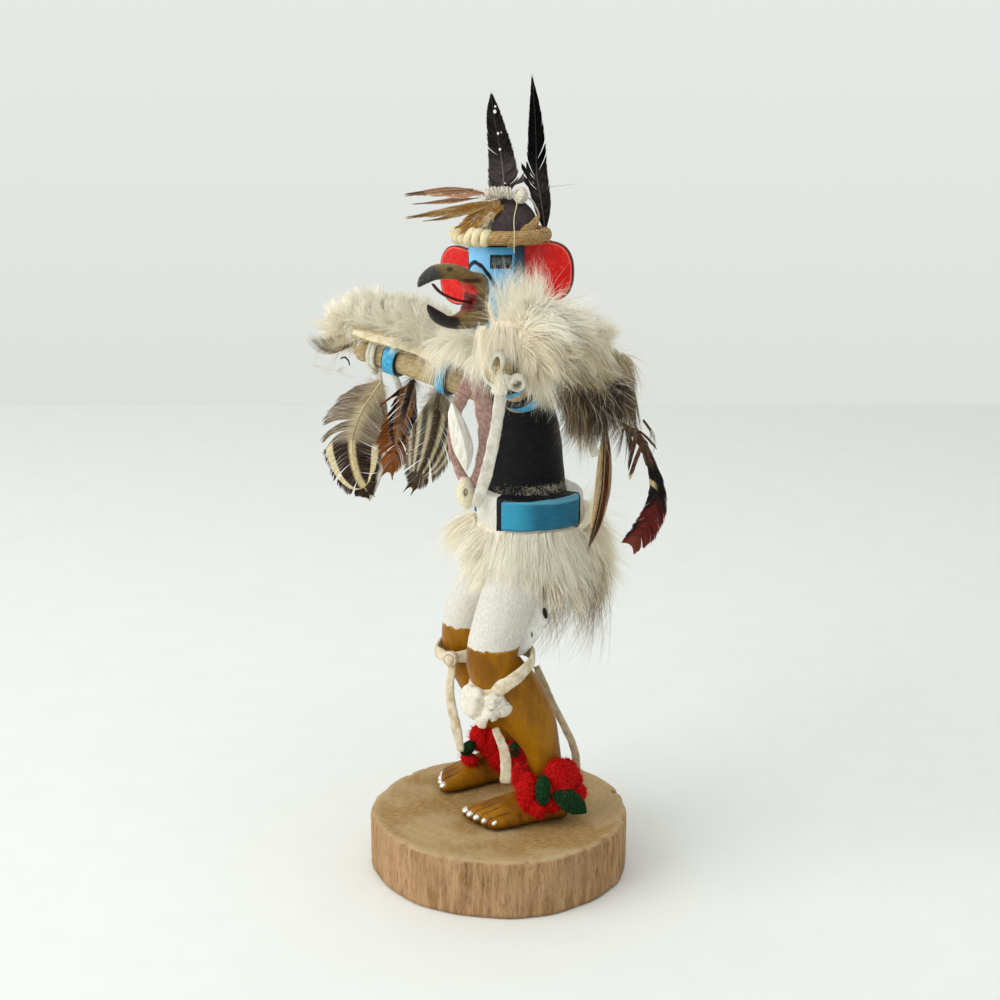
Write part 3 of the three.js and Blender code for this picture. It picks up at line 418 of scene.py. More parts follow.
    def bump(self, h, strength=0.3, dist=0.1):
        """dist in millimetres"""
        n = self.nt.nodes.new("ShaderNodeBump"); self.put(n.inputs["Height"], h)
        n.inputs["Strength"].default_value = strength; n.inputs["Distance"].default_value = dist * MM
        return S(self, n.outputs[0])

    def finish(self, colour=None, rough=None, normal=None):
        if colour is not None: self.put(self.p.inputs["Base Color"], colour)
        if rough is not None: self.put(self.p.inputs["Roughness"], rough)
        if normal is not None: self.put(self.p.inputs["Normal"], normal)
        return self.mat


def srgb(h):
    """sRGB hex to linear"""
    c = [int(h[i:i + 2], 16) / 255 for i in (0, 2, 4)]
    return tuple(x / 12.92 if x <= 0.04045 else ((x + 0.055) / 1.055) ** 2.4 for x in c)

# ------------------------------------------------------------------ straps, yarn, hair
def strap(rows, nrm, thick, m=70, n=14, seed=0, ragged=0.10, wavy=0.06, closed=False, power=3.2, ends=True):
    """a flat leather strip: rows (x, y, z, half width); nrm is the way its flat face looks, one vector or one for each row"""
    r = np.asarray(rows, dtype=np.float64)
    s = smooth_rows(r[:, :4], m, closed)
    nv = np.asarray(nrm, dtype=np.float64)
    if nv.ndim == 2:
        nv = smooth_rows(nv, m, closed)
    p, half = s[:, :3], s[:, 3]
    t, e1, e2 = frames(p, nv, closed)
    w = 2 * math.pi * np.arange(n) / n; cw, sw = np.cos(w), np.sin(w)
    k = (np.abs(cw) ** power + np.abs(sw) ** power) ** (-1 / power)
    th = np.full(len(p), thick / 2)
    if not closed and ends:
        along = np.minimum(np.arange(len(p)), len(p) - 1 - np.arange(len(p))) / 1.6
        f = np.sqrt(np.clip(along, 0.12, 1)); th = th * np.clip(f, 0.35, 1); half = half * np.clip(f, 0.82, 1)
    d = np.arange(len(p)) * 0.45
    if closed:
        ph = 2 * math.pi * np.arange(len(p)) / len(p); q = np.stack([np.cos(ph) * 5, np.sin(ph) * 5, ph * 0], -1)
    else:
        q = np.stack([d, d * 0, d * 0], -1)
    left = 1 + ragged * vnoise(q, 0.9, seed + 1, 2); right = 1 + ragged * vnoise(q, 0.9, seed + 2, 2)
    side = np.where(sw[None] > 0, left[:, None], right[:, None])
    rings = p[:, None] + e1[:, None] * (th[:, None] * (k * cw))[..., None] + e2[:, None] * (half[:, None] * side * (k * sw))[..., None]
    if wavy:
        rings = rings + e1[:, None] * (wavy * vnoise(rings, 0.55, seed + 5, 2))[..., None]
    return loft(rings, True, closed)


def plied(path, r, plies=2, pitch=3.2, n=9, seed=0, closed=False, ends=True, m=None):
    """a twisted yarn along a path: one tube for each ply"""
    p = np.asarray(path, dtype=np.float64)
    m = m or max(24, int(np.linalg.norm(np.diff(p, axis=0), axis=1).sum() / 0.45))
    s = smooth_rows(p[:, :3], m, closed)
    ref = A(0.31, 0.22, 0.92)
    t, e1, e2 = frames(s, ref, closed)
    seg = np.linalg.norm(np.roll(s, -1, 0) - s, axis=1); run = np.concatenate([[0], np.cumsum(seg)[:-1]])
    total = seg.sum() if closed else run[-1]
    turns = total / pitch
    if closed: turns = max(1, round(turns))
    a0 = 2 * math.pi * turns * run / max(total, 1e-6)
    out = []
    for k in range(plies):
        a = a0 + 2 * math.pi * k / plies
        off = 0.46 * r
        c = s + e1 * (off * np.cos(a))[:, None] + e2 * (off * np.sin(a))[:, None]
        rr = np.full(len(c), 0.60 * r) * (1 + 0.07 * vnoise(c, 1.2, seed + k))
        if not closed and ends:
            idx = np.minimum(np.arange(len(c)), len(c) - 1 - np.arange(len(c))); rr = rr * np.clip((idx + 0.6) / 3, 0.15, 1) ** 0.5
        out.append(tube(np.column_stack([c, rr, rr]), n, 0, ref, closed=closed, smooth=False))
    return out


def tri_sample(v, f, count, rng, weight=None):
    """points and normals spread over triangles, by area times weight(centre)"""
    a, b, c = v[f[:, 0]], v[f[:, 1]], v[f[:, 2]]
    nn = np.cross(b - a, c - a); area = np.linalg.norm(nn, axis=1) / 2
    w = area if weight is None else area * np.maximum(weight((a + b + c) / 3), 0)
    k = rng.choice(len(f), count, p=w / w.sum())
    u1, u2 = rng.random(count), rng.random(count); flip = u1 + u2 > 1
    u1 = np.where(flip, 1 - u1, u1); u2 = np.where(flip, 1 - u2, u2)
    return a[k] + (b[k] - a[k]) * u1[:, None] + (c[k] - a[k]) * u2[:, None], unit(nn[k])


def tris_of(o):
    me = o.data; me.calc_loop_triangles(); t = np.empty(len(me.loop_triangles) * 3, dtype=np.int32)
    me.loop_triangles.foreach_get("vertices", t)
    return t.reshape(-1, 3)


def tri_list(faces):
    out = []
    for q in faces:
        for k in range(1, len(q) - 1):
            out.append((q[0], q[k], q[k + 1]))
    return np.array(out, dtype=np.int64)


def ribbons(paths, width, face, u, roll=None, rng=None, profile=None):
    """thin tapering ribbons. paths (N, K, 3); width (N,) at the root; face (N, 3) the way they lie; u (N,) the tone.
    gives verts, triangles and one uv for each loop"""
    N, K = paths.shape[:2]
    t = np.empty_like(paths); t[:, 1:-1] = paths[:, 2:] - paths[:, :-2]; t[:, 0] = paths[:, 1] - paths[:, 0]; t[:, -1] = paths[:, -1] - paths[:, -2]
    t = unit(t)
    n = np.broadcast_to(face[:, None], t.shape)
    side = unit(np.cross(n, t))
    if roll is not None:
        nn = unit(np.cross(t, side)); c, s = np.cos(roll)[:, None, None], np.sin(roll)[:, None, None]
        side = side * c + nn * s
    if profile is None:
        profile = np.linspace(1, 0.35, K - 1)
    w = width[:, None] * profile[None] * 0.5
    L = paths[:, :-1] - side[:, :-1] * w[..., None]; R = paths[:, :-1] + side[:, :-1] * w[..., None]
    V = np.empty((N, 2 * (K - 1) + 1, 3)); V[:, 0:2 * (K - 1):2] = L; V[:, 1:2 * (K - 1):2] = R; V[:, -1] = paths[:, -1]
    tris = []
    for k in range(K - 2):
        a, b, c, d = 2 * k, 2 * k + 1, 2 * k + 3, 2 * k + 2
        tris += [(a, b, c), (a, c, d)]
    tris.append((2 * (K - 2), 2 * (K - 2) + 1, 2 * (K - 1)))
    T = np.array(tris)
    F = (T[None] + (np.arange(N) * V.shape[1])[:, None, None]).reshape(-1, 3)
    vv = np.empty(V.shape[1]); vv[0:2 * (K - 1):2] = np.arange(K - 1) / (K - 1); vv[1:2 * (K - 1):2] = np.arange(K - 1) / (K - 1); vv[-1] = 1
    VV = np.broadcast_to(vv, (N, V.shape[1])); UU = np.broadcast_to(u[:, None], VV.shape) if u.ndim == 1 else u
    du = np.zeros(V.shape[1]); du[0:2 * (K - 1):2] = -.008; du[1:2 * (K - 1):2] = .008
    uv = np.stack([(UU + du[None]).reshape(-1), VV.reshape(-1)], -1)
    uv = np.clip(uv, 0.004, 0.996)
    return V.reshape(-1, 3), F, uv[F.reshape(-1)]


def hair_mat(name, tones, root=0.72, tip=1.06, rough=0.72, spec=0.25, **sockets):
    """tones from u 0 to 1; v runs from root to tip"""
    m = Mat(name, rough=rough, spec=spec, **sockets)
    ux, vy, _ = m.xyz(m.uv())
    c = m.ramp(ux, [(i / (len(tones) - 1), srgb(h) if isinstance(h, str) else h) for i, h in enumerate(tones)])
    c = m.mix(1.0, c, m.ramp(vy, [(0.0, (root, root * .97, root * .93)), (0.45, (0.98, 0.98, 0.97)), (1.0, (tip, tip, tip))]), "MULTIPLY")
    return m.finish(c)


def bunch_paths(p0, d0, length, sag, rng, K=4, kink=0.12, pull=None, gravity=A(0, 0, -1)):
    """hair paths from roots along d0, bending towards gravity or a field"""
    N = len(p0); step = (length / (K - 1))[:, None]; d = d0.copy(); P = [p0]
    for k in range(1, K):
        P.append(P[-1] + d * step)
        g = gravity if pull is None else pull(P[-1])
        d = unit(d + g * sag[:, None] + rng.normal(0, kink, (N, 3)))
    return np.stack(P, 1)


def fuzz(v, f, count, length, width, seed, lift=0.8, tangent=0.9, weight=None, tone=(0.2, 0.9), K=3, grav=0.1):
    """short stray fibres over a surface, as ribbons"""
    rng = RNG(seed); p, n = tri_sample(v, f, count, rng, weight)
    d = unit(n * lift + tangent * unit(rng.normal(0, 1, (count, 3))))
    L = length * rng.uniform(0.4, 1.25, count)
    P = bunch_paths(p - n * 0.05, d, L, np.full(count, grav), rng, K, 0.3)
    return ribbons(P, width * rng.uniform(.7, 1.3, count), n, rng.uniform(tone[0], tone[1], count), roll=rng.uniform(-.9, .9, count))


def join_ribbons(name, sets, mat, slot, *nodes):
    V, F, U, base = [], [], [], 0
    for v, f, uv in sets:
        V.append(v); F.append(f + base); U.append(uv); base += len(v)
    o = make(name, np.vstack(V), np.vstack(F).astype(np.int32), mat, smooth=True, uv=np.vstack(U))
    return place(o, slot, *nodes)


def hide_mat(name, light, dark, speck=None, rough=0.88, amount=0.5, scale=1.0):
    """soft leather: mottled, with a brushed nap"""
    m = Mat(name, rough=rough, spec=0.22)
    n1 = m.noise(m.pos, 0.35 * scale, 4, .6); n2 = m.noise(m.pos, 2.2 * scale, 4, .7)
    c = m.mix(m.ss(n1, .38, .66), srgb(light), srgb(dark))
    c = m.mix(m.ss(n2, .50, .72) * amount, c, srgb(dark))
    if speck:
        c = m.mix(m.ss(m.noise(m.pos, 5.0 * scale, 3, .7), .58, .70) * .6, c, srgb(speck))
    return m.finish(c, None, m.bump(n2 + m.noise(m.pos, 6.0 * scale, 2) * .6, .45, .16))

# ------------------------------------------------------------------ camera, floor and light
cam_data = bpy.data.cameras.new("camera"); cam = collection_link(bpy.data.objects.new("camera", cam_data))
cam_data.sensor_width = 36; cam_data.lens = 61.2; cam_data.clip_start = 0.01; cam_data.clip_end = 20
AZ, PITCH = math.radians(70), math.radians(14.3)
forward = Vector((-math.sin(AZ) * math.cos(PITCH), math.cos(AZ) * math.cos(PITCH), -math.sin(PITCH)))
cam.location = Vector((488.6, -177.9, 256)) * MM
cam.rotation_euler = forward.to_track_quat("-Z", "Y").to_euler()
bpy.context.scene.camera = cam

bpy.context.scene.view_settings.view_transform = "Standard"

stage_mat = Mat("stage_paper", rough=0.95, spec=0.12)
stage_mat.finish(stage_mat.mix(stage_mat.noise(stage_mat.pos, 0.05, 3), srgb("f1f3ee"), srgb("f6f8f4")), None,
                 stage_mat.bump(stage_mat.noise(stage_mat.pos, 0.5, 3), 0.12, 0.4))
# a table top with a straight back edge, square to the line of sight
SIDE, BACK = A(math.cos(AZ), math.sin(AZ), 0), A(-math.sin(AZ), math.cos(AZ), 0)
fl = [SIDE * sx + BACK * sy for sy in (-2600, -400, 0, 300, 785) for sx in (-2600, -400, 0, 400, 2600)]
ff = [(j * 5 + i, j * 5 + i + 1, (j + 1) * 5 + i + 1, (j + 1) * 5 + i) for j in range(4) for i in range(4)]
floor = make("floor", np.array(fl), ff, stage_mat.mat, smooth=False)
wall_mat = bpy.data.materials.new("studio_wall"); wall_mat.use_nodes = True
wt = wall_mat.node_tree; wt.nodes.clear(); we = wt.nodes.new("ShaderNodeEmission"); wtc = wt.nodes.new("ShaderNodeTexCoord"); wsx = wt.nodes.new("ShaderNodeSeparateXYZ")
wr = wt.nodes.new("ShaderNodeValToRGB"); wmr = wt.nodes.new("ShaderNodeMapRange"); wou = wt.nodes.new("ShaderNodeOutputMaterial")
wt.links.new(wtc.outputs["Object"], wsx.inputs[0]); wt.links.new(wsx.outputs[2], wmr.inputs[0]); wt.links.new(wmr.outputs[0], wr.inputs[0]); wt.links.new(wr.outputs[0], we.inputs[0]); wt.links.new(we.outputs[0], wou.inputs[0])
wmr.inputs[1].default_value = -0.4; wmr.inputs[2].default_value = 0.8
wr.color_ramp.elements[0].position = 0.0; wr.color_ramp.elements[0].color = (*srgb("d9dcd5"), 1)
wr.color_ramp.elements[1].position = 0.5; wr.color_ramp.elements[1].color = (*srgb("e4e7e3"), 1)
we2 = wr.color_ramp.elements.new(1.0); we2.color = (*srgb("eef1f0"), 1)
wv = [SIDE * sx + BACK * 1500 + A(0, 0, z) for sx, z in ((-2600, -1200), (2600, -1200), (2600, 2000), (-2600, 2000))]
wall = make("studio_wall", np.array(wv), [(0, 1, 2, 3)], wall_mat, smooth=False)

world = bpy.data.worlds.new("world"); bpy.context.scene.world = world; world.use_nodes = True
wn = world.node_tree; wn.nodes.clear()
bg = wn.nodes.new("ShaderNodeBackground"); wo = wn.nodes.new("ShaderNodeOutputWorld"); wn.links.new(bg.outputs[0], wo.inputs[0])
bg.inputs[1].default_value = 0.50
# soft grey-white studio wall, a little brighter high up
tc = wn.nodes.new("ShaderNodeTexCoord"); sx = wn.nodes.new("ShaderNodeSeparateXYZ"); mr = wn.nodes.new("ShaderNodeMapRange"); rp = wn.nodes.new("ShaderNodeValToRGB")
wn.links.new(tc.outputs["Generated"], sx.inputs[0]); wn.links.new(sx.outputs[2], mr.inputs[0])
mr.inputs[1].default_value = -0.35; mr.inputs[2].default_value = 0.45; wn.links.new(mr.outputs[0], rp.inputs[0]); wn.links.new(rp.outputs[0], bg.inputs[0])
rp.color_ramp.elements[0].position = 0.30; rp.color_ramp.elements[0].color = (*srgb("d9dcd4"), 1)
rp.color_ramp.elements[1].position = 0.52; rp.color_ramp.elements[1].color = (*srgb("e4e8e4"), 1)
e = rp.color_ramp.elements.new(0.75); e.color = (*srgb("edf0ef"), 1)


def lamp(name, where, target, size, power, colour=(1, 1, 1)):
    d = bpy.data.lights.new(name, "AREA"); d.shape = "RECTANGLE"; d.size, d.size_y = size[0], size[1]; d.energy = power; d.color = colour
    o = collection_link(bpy.data.objects.new(name, d)); o.location = Vector(where)
    o.rotation_euler = (Vector(target) - Vector(where)).to_track_quat("-Z", "Y").to_euler()
    return o


lamp("key", tuple(-SIDE * 1.15 - BACK * .55 + A(0, 0, .72)), (0, 0, .13), (1.3, 1.1), 14.2, (1.0, .99, .97))
lamp("top", tuple(-BACK * .25 + A(0, 0, 1.25)), (0, 0, .1), (1.1, 1.1), 4.5, (.99, 1.0, 1.0))
lamp("fill", tuple(SIDE * .9 - BACK * .5 + A(0, 0, .5)), (0, 0, .12), (.8, .8), 0.6, (.97, .99, 1.0))

# ------------------------------------------------------------------ hanging thongs
CAM_FACE = A(.94, -.342, 0)
STRIP_L = [[36.6, -13.2, 164.6], [36.4, -14, 158], [36, -15.4, 149.6], [35.4, -17.4, 140.6], [34.6, -20.2, 131.4]]
STRIP_R = [[-45.2, -26.4, 158.6], [-44.2, -25.4, 151], [-43, -24.8, 141], [-42.8, -26, 130], [-43.6, -28.8, 120.6], [-44.2, -31.2, 115.4]]
THONG_FRONT = [[-12.5, -12.2, 66.4], [-12, -13.2, 57.4], [-11.4, -12.8, 51], [-10.5, -11.5, 43.8], [-9.1, -10.5, 36.2]]
THONG_MID = [[16.9, -8, 54], [16.2, -5.2, 47.6], [15.6, -3.8, 41.6], [15.2, -3.8, 34]]
THONG_BACK = [[5.4, 10.4, 68.4], [5.2, 13.6, 61], [5.4, 16.4, 54.6], [7, 19.8, 47], [8.1, 22.6, 40], [8.6, 23.7, 33], [8.7, 23.9, 29.2]]

white_hide = hide_mat("white_hide", "e3dfd2", "c9c3b2", None, 0.9, 0.3)
cream_hide = hide_mat("cream_hide", "e9dfc8", "ccbb97", "a18c64", 0.9, 0.35)
tan_hide = hide_mat("tan_hide", "d9cbae", "b5a17c", "8a7650", 0.9, 0.4)


def hung_strip(name, line, halfs, nrm, thick, mat, slot, node, seed, free=True, fray=0):
    rows = np.column_stack([np.array(line), halfs])
    v, f = strap(rows, nrm, thick, 64, 16, seed, ragged=0.12, wavy=0.10)
    o = place(make(name, v, f, mat), slot, node)
    if free:
        line_s = smooth_rows(np.array(line, float), 30)
    return o, v, f


strips = {}
strips["left"] = hung_strip("hand_strip_left_hide", STRIP_L, [1.8, 1.75, 1.8, 1.8, 1.55], CAM_FACE, 1.0, white_hide, "white_hide", "hand_strip_left", 61)
strips["right"] = hung_strip("hand_strip_right_hide", STRIP_R, [1.2, 1.25, 1.3, 1.35, 1.3, 1.0], A(.6, -.8, 0), .9, white_hide, "white_hide", "hand_strip_right", 62)
strips["front"] = hung_strip("thong_front_hide", THONG_FRONT, [1.35, 1.4, 1.65, 1.7, 1.15], A(.8, -.6, 0), 1.0, cream_hide, "rawhide", "thong_front", 63)
strips["back"] = hung_strip("thong_back_hide", THONG_BACK, [1.25, 1.2, 1.15, 1.2, 1.25, 1.3, 1.1], CAM_FACE, .9, tan_hide, "rawhide", "thong_back", 64)
strips["middle"] = hung_strip("thong_middle_hide", THONG_MID, [1.15, 1.45, 1.7, 1.75], CAM_FACE, 1.0, cream_hide, "rawhide", "thong_middle", 65, free=False)

# ------------------------------------------------------------------ wood slice
BR, BH = 42.0, 19.0


def build_base():
    n = 560
    ang = 2 * math.pi * np.arange(n) / n
    prof = [(0.02, 0, 0), (12, 0, 0), (26, 0, 0), (36, 0, 0), (40.4, 0.0, 0), (41.5, 0.25, 0.3), (41.9, 0.8, .7)]        # r, z, side weight
    prof += [(42.0, z, 1.0) for z in np.linspace(1.5, 17.4, 34)]
    prof += [(41.9, 18.1, 0.9), (41.6, 18.6, 0.75), (41.1, 18.9, 0.45), (40.4, 19.0, 0.2)]
    prof += [(r, 19.0, 0.0) for r in np.linspace(39.4, 0.6, 40)] + [(0.02, 19.0, 0)]
    prof = np.array(prof)
    R = prof[:, 0][:, None] * np.ones(n); Z = prof[:, 1][:, None] * np.ones(n); W = prof[:, 2][:, None]
    C, Sn = np.cos(ang)[None] + 0 * R, np.sin(ang)[None] + 0 * R
    # outline follows the slightly uneven trunk
    rim = 0.35 * np.sin(3 * ang + 1) + 0.25 * np.sin(7 * ang + 2.2) + 0.12 * np.sin(17 * ang + .4)
    # vertical fibres, broken along their length
    q = np.stack([C * 42, Sn * 42, Z], -1)
    fine = vnoise(q * A(1.5, 1.5, 0.16), 1, 3, 2) * 0.15 + vnoise(q * A(3.2, 3.2, 0.30), 1, 5, 1) * 0.09
    broad = vnoise(q * A(0.30, 0.30, 0.05), 1, 9, 2) * 0.22
    pits = -0.5 * sstep(0.52, 0.82, vnoise(q * A(1.1, 1.1, 0.20), 1, 11, 1)) * sstep(-0.1, 0.35, vnoise(q * A(0.12, 0.12, 0.1), 1, 12))

    def crack(a0, z0, z1, width, depth, lean=0.0):
        a = (ang[None] - a0 - lean * (Z - z0) / 42 - 0.004 * np.sin(Z * 1.7) + np.pi) % (2 * np.pi) - np.pi
        along = sstep(z0, z0 + 1.2, Z) * (1 - sstep(z1 - 1.2, z1 + .1, Z))
        return -depth * np.exp(-(a * 42 / width) ** 2) * along
    cr = crack(math.atan2(-23.5, 33.8), 9.5, 18.8, 0.20, 1.0, 0.03) + crack(math.atan2(-23.0, 34.3), 3.0, 10.5, 0.16, 0.55)
    cr = cr + crack(math.atan2(19.0, 37.4), 6.4, 11.4, 0.5, 1.5) + crack(math.atan2(23.5, 34.8), 12.5, 18.6, 0.22, 0.7, .05)
    rng = RNG(4)
    for _ in range(46):
        a0 = rng.uniform(0, 2 * math.pi); z0 = rng.uniform(0.5, 14); ln = rng.uniform(2, 9)
        cr = cr + crack(a0, z0, min(18.6, z0 + ln), rng.uniform(.12, .22), rng.uniform(0.15, 0.5), rng.uniform(-.05, .05))
    # knots and small knocks on the rim
    rimw = np.exp(-((Z - 19) / 1.3) ** 2) * sstep(38.6, 41.4, R)
    chips = sstep(0.25, 0.8, vnoise(q * A(0.35, 0.35, 0.0), 1, 21, 2)) * 0.45
    for x, y, s, d in ((1.5, 41.3, 1.6, 1.5), (38.5, 14.5, 1.3, .7), (29.5, -29.4, 1.0, .5), (-30, 28, 2.0, .9), (35, 23.5, 2.4, .6)):
        chips = chips + d * np.exp(-((C * 42 - x) ** 2 + (Sn * 42 - y) ** 2) / s ** 2)
    R2 = R + (rim + fine + broad + pits) * W + cr * W + rim * (R / 42) * (1 - W)
    Z2 = Z.copy()
    top = (Z > 18.3)
    sawn = vnoise(q * A(0, 0, 0) + np.stack([R * C * .16, R * Sn * 2.2, 0 * Z], -1), 1, 31, 2) * 0.05
    P2 = np.stack([R * C, R * Sn, Z], -1)
    dent = -0.22 * sstep(.45, .8, vnoise(P2 * A(.16, .5, 0), 1, 33, 2)) + vnoise(P2, .9, 35, 2) * .045
    dent = dent - 0.6 * np.exp(-(((P2[..., 0] + 17.5) / 1.5) ** 2 + ((P2[..., 1] + 22.5) / 0.45) ** 2))
    Z2 = Z2 + np.where(top, (sawn + dent) * (1 - W), 0) - rimw * chips
    R2 = R2 - rimw * chips * 0.6
    Z2 = np.minimum(Z2, 19.15); R2 = np.minimum(R2, 42.75)
    v = np.stack([R2 * C, R2 * Sn, Z2], -1)
    v, f = loft(v, True)
    return make("wood_slice", v, f, wood_slice_material())


def wood_slice_material():
    m = Mat("sawn_wood", rough=0.86, spec=0.25)
    x, y, z = m.xyz()
    p = m.pos
    topness = m.ss(z, 18.2, 18.95)
    # top: sanded face with fine short pores along Y
    t1 = m.noise(m.stretch(p, (1.6, 0.45, 1.0), (0, 0, .35)), 1.0, 5, 0.62)
    t2 = m.noise(m.stretch(p, (9, 2.2, 1), (0, 0, .35)), 1.0, 3, 0.7)
    rings = m.sin(m.math("MULTIPLY", m.vec("LENGTH", m.cmb(x + 9.0 + 1.5 * m.noise(p, .07, 2), y - 6.0, 0.0)), 1.35))
    top_c = m.mix(m.ss(t1, 0.36, 0.66), srgb("967744"), srgb("b79763"))
    top_c = m.mix(m.ss(m.noise(p, 0.045, 2), .42, .62) * 0.45, top_c, srgb("cfb78e"))
    top_c = m.mix(m.ss(t2, 0.58, 0.76) * 0.35, top_c, srgb("846740"))
    top_c = m.mix(m.ss(rings, 0.3, 1.0) * 0.10, top_c, srgb("8f7145"))
    rad = m.vec("LENGTH", m.cmb(x, y, 0.0))
    # painted highlight: the top face turns lighter towards its rim
    top_c = m.mix(m.ss(rad, 38.2, 41.6) * 0.4, top_c, srgb("cfb891"))
    # side: split grain, pinkish tan with dark pits
    a = m.math("ARCTAN2", y, x) * 42.0
    q = m.cmb(a, z * 0.13, rad * 0.5)
    s1 = m.noise(q, 0.55, 4, 0.6); s2 = m.noise(q, 2.1, 4, 0.75); s3 = m.noise(m.cmb(a, z * 0.2, 0.0), 1.25, 2, 0.5)
    side_c = m.mix(m.ss(s1, 0.38, 0.64), srgb("987650"), srgb("bd9a70"))
    side_c = m.mix(m.ss(m.noise(p, .06, 2), .40, .62) * .55, side_c, srgb("b99470"))
    side_c = m.mix(m.ss(s2, 0.50, 0.66) * 0.62, side_c, srgb("7a5a38"))
    side_c = m.mix(m.ss(s3, 0.70, 0.80) * 0.45, side_c, srgb("5f4528"))
    # painted shade: the side darkens where its surface sinks inward, in its cracks and pits, up to just below the top
    depth = m.ss(rad, 40.5, 41.1, 1.0, 0.0)
    side_c = m.mix(depth * 0.60 * m.ss(z, 17.9, 18.6, 1.0, 0.0), side_c, srgb("3f2a1a"))
    # painted contact shade: the side is darker over its lowest 2 mm, by the floor
    side_c = m.mix(m.ss(z, 0.2, 2.0, 0.35, 0.0), side_c, srgb("8a6c4c"))
    side_c = m.mix(m.ss(m.vor(p, 0.5), 0.0, 0.16, 0.35, 0.0), side_c, srgb("5c4229"))
    col = m.mix(topness, side_c, top_c)
    h = m.fmix(topness, s2 * 0.9 + s3 * 0.6, t2 * 0.55 + t1 * 0.5)
    return m.finish(col, m.fmix(topness, 0.9, 0.8), m.bump(h, 0.45, 0.35))


base = place(build_base(), "wood_slice", "base")

# ------------------------------------------------------------------ carved figure
SOLE = 19.32
LEG_L = [[2.5, 8.5, 117, 9.5, 9.5], [4.5, 6.8, 107, 9.6, 9.8], [7.2, 2, 97, 9.3, 9.2], [10, -3.4, 87, 8.6, 8.6], [11.8, -7.2, 76, 8, 8],
         [12.2, -4.4, 69, 8.2, 9], [12.2, 0.4, 62, 8.2, 9.6], [12.2, 6, 53, 7.2, 8.2], [12.3, 9.6, 44, 5.6, 6.1], [12.5, 11.4, 35, 4.8, 5.4], [12.5, 11.8, 27, 5, 6]]
LEG_R = [[-10.5, 8.5, 117, 9.5, 9.5], [-12, 6.6, 107, 9.5, 9.8], [-14.5, 2, 96, 9, 9.2], [-18.5, -2.4, 85, 8.3, 8.6], [-21, -4.8, 73.5, 7.7, 7.8],
         [-21.4, -2.6, 66.5, 7.9, 8.5], [-21.6, 0.8, 59, 7.8, 8.8], [-22, 4.4, 50, 6.8, 7.6], [-22.4, 7, 42, 5.4, 5.8], [-22.5, 8.6, 34, 4.8, 5.2], [-22.5, 9, 27, 5, 6]]
FEET = [(11.6, 17.5, 1, 1.06), (-22.4, 15, -1, 1.0)]
HIPX, HIPY, HAX, HAY, KILT_TOP = -4.0, 11.5, 17.0, 16.4, 125.9


def foot_parts(x, y, side, k):
    rows = np.array([[0, 3.6, 5.5, 0.8], [2.2, 5.2, 8, 0.6], [8, 5.6, 10.5, 0.3], [14, 6.4, 9, 0], [20, 7.5, 7, -0.4], [25, 8.1, 5.2, -0.6], [27.6, 7.6, 4.4, -0.6]])
    s = smooth_rows(rows, 30); n = 48
    a = 2 * math.pi * np.arange(n) / n; c, sn = np.cos(a), np.sin(a)
    rings = []
    for i, (b, hw, ht, sx) in enumerate(s):
        px = x + side * sx + hw * np.sign(c) * np.abs(c) ** 0.8
        pz = np.where(sn < 0, SOLE + 0.9 * (1 + sn), SOLE + 0.9 + (ht - 0.9) * np.abs(sn) ** 0.8)
        py = y - b * k + (side * (px - x)) * (0.1 + 0.22 * sstep(24, 27.6, b))
        rings.append(np.stack([px, py, pz], -1))
    parts = [loft(np.array(rings), True)]
    nails = []
    for j in range(5):
        t = j / 4; tx = x - side * 6.2 + side * t * 12.6; ty = y - 28.2 * k + 5 * t * t + 0.6 * t; r = lerp(2.05, 1.4, t)
        rows = [[tx + side * .3, ty + 6, SOLE + 2.8, r, 2.3], [tx, ty + 2.4, SOLE + 2.5, r * .98, 2.1], [tx - side * 0.15, ty - 0.4, SOLE + 2.1, r * 1.02, 1.85], [tx - side * 0.2, ty - 1.6, SOLE + 1.7, r * .9, 1.5]]
        parts.append(tube(round_ends(rows, 4, 0.75), 20, 26, smooth=False))
        nails.append((tx - side * 0.18, ty - 0.9, SOLE + 2.55, r, side))
    return parts, nails


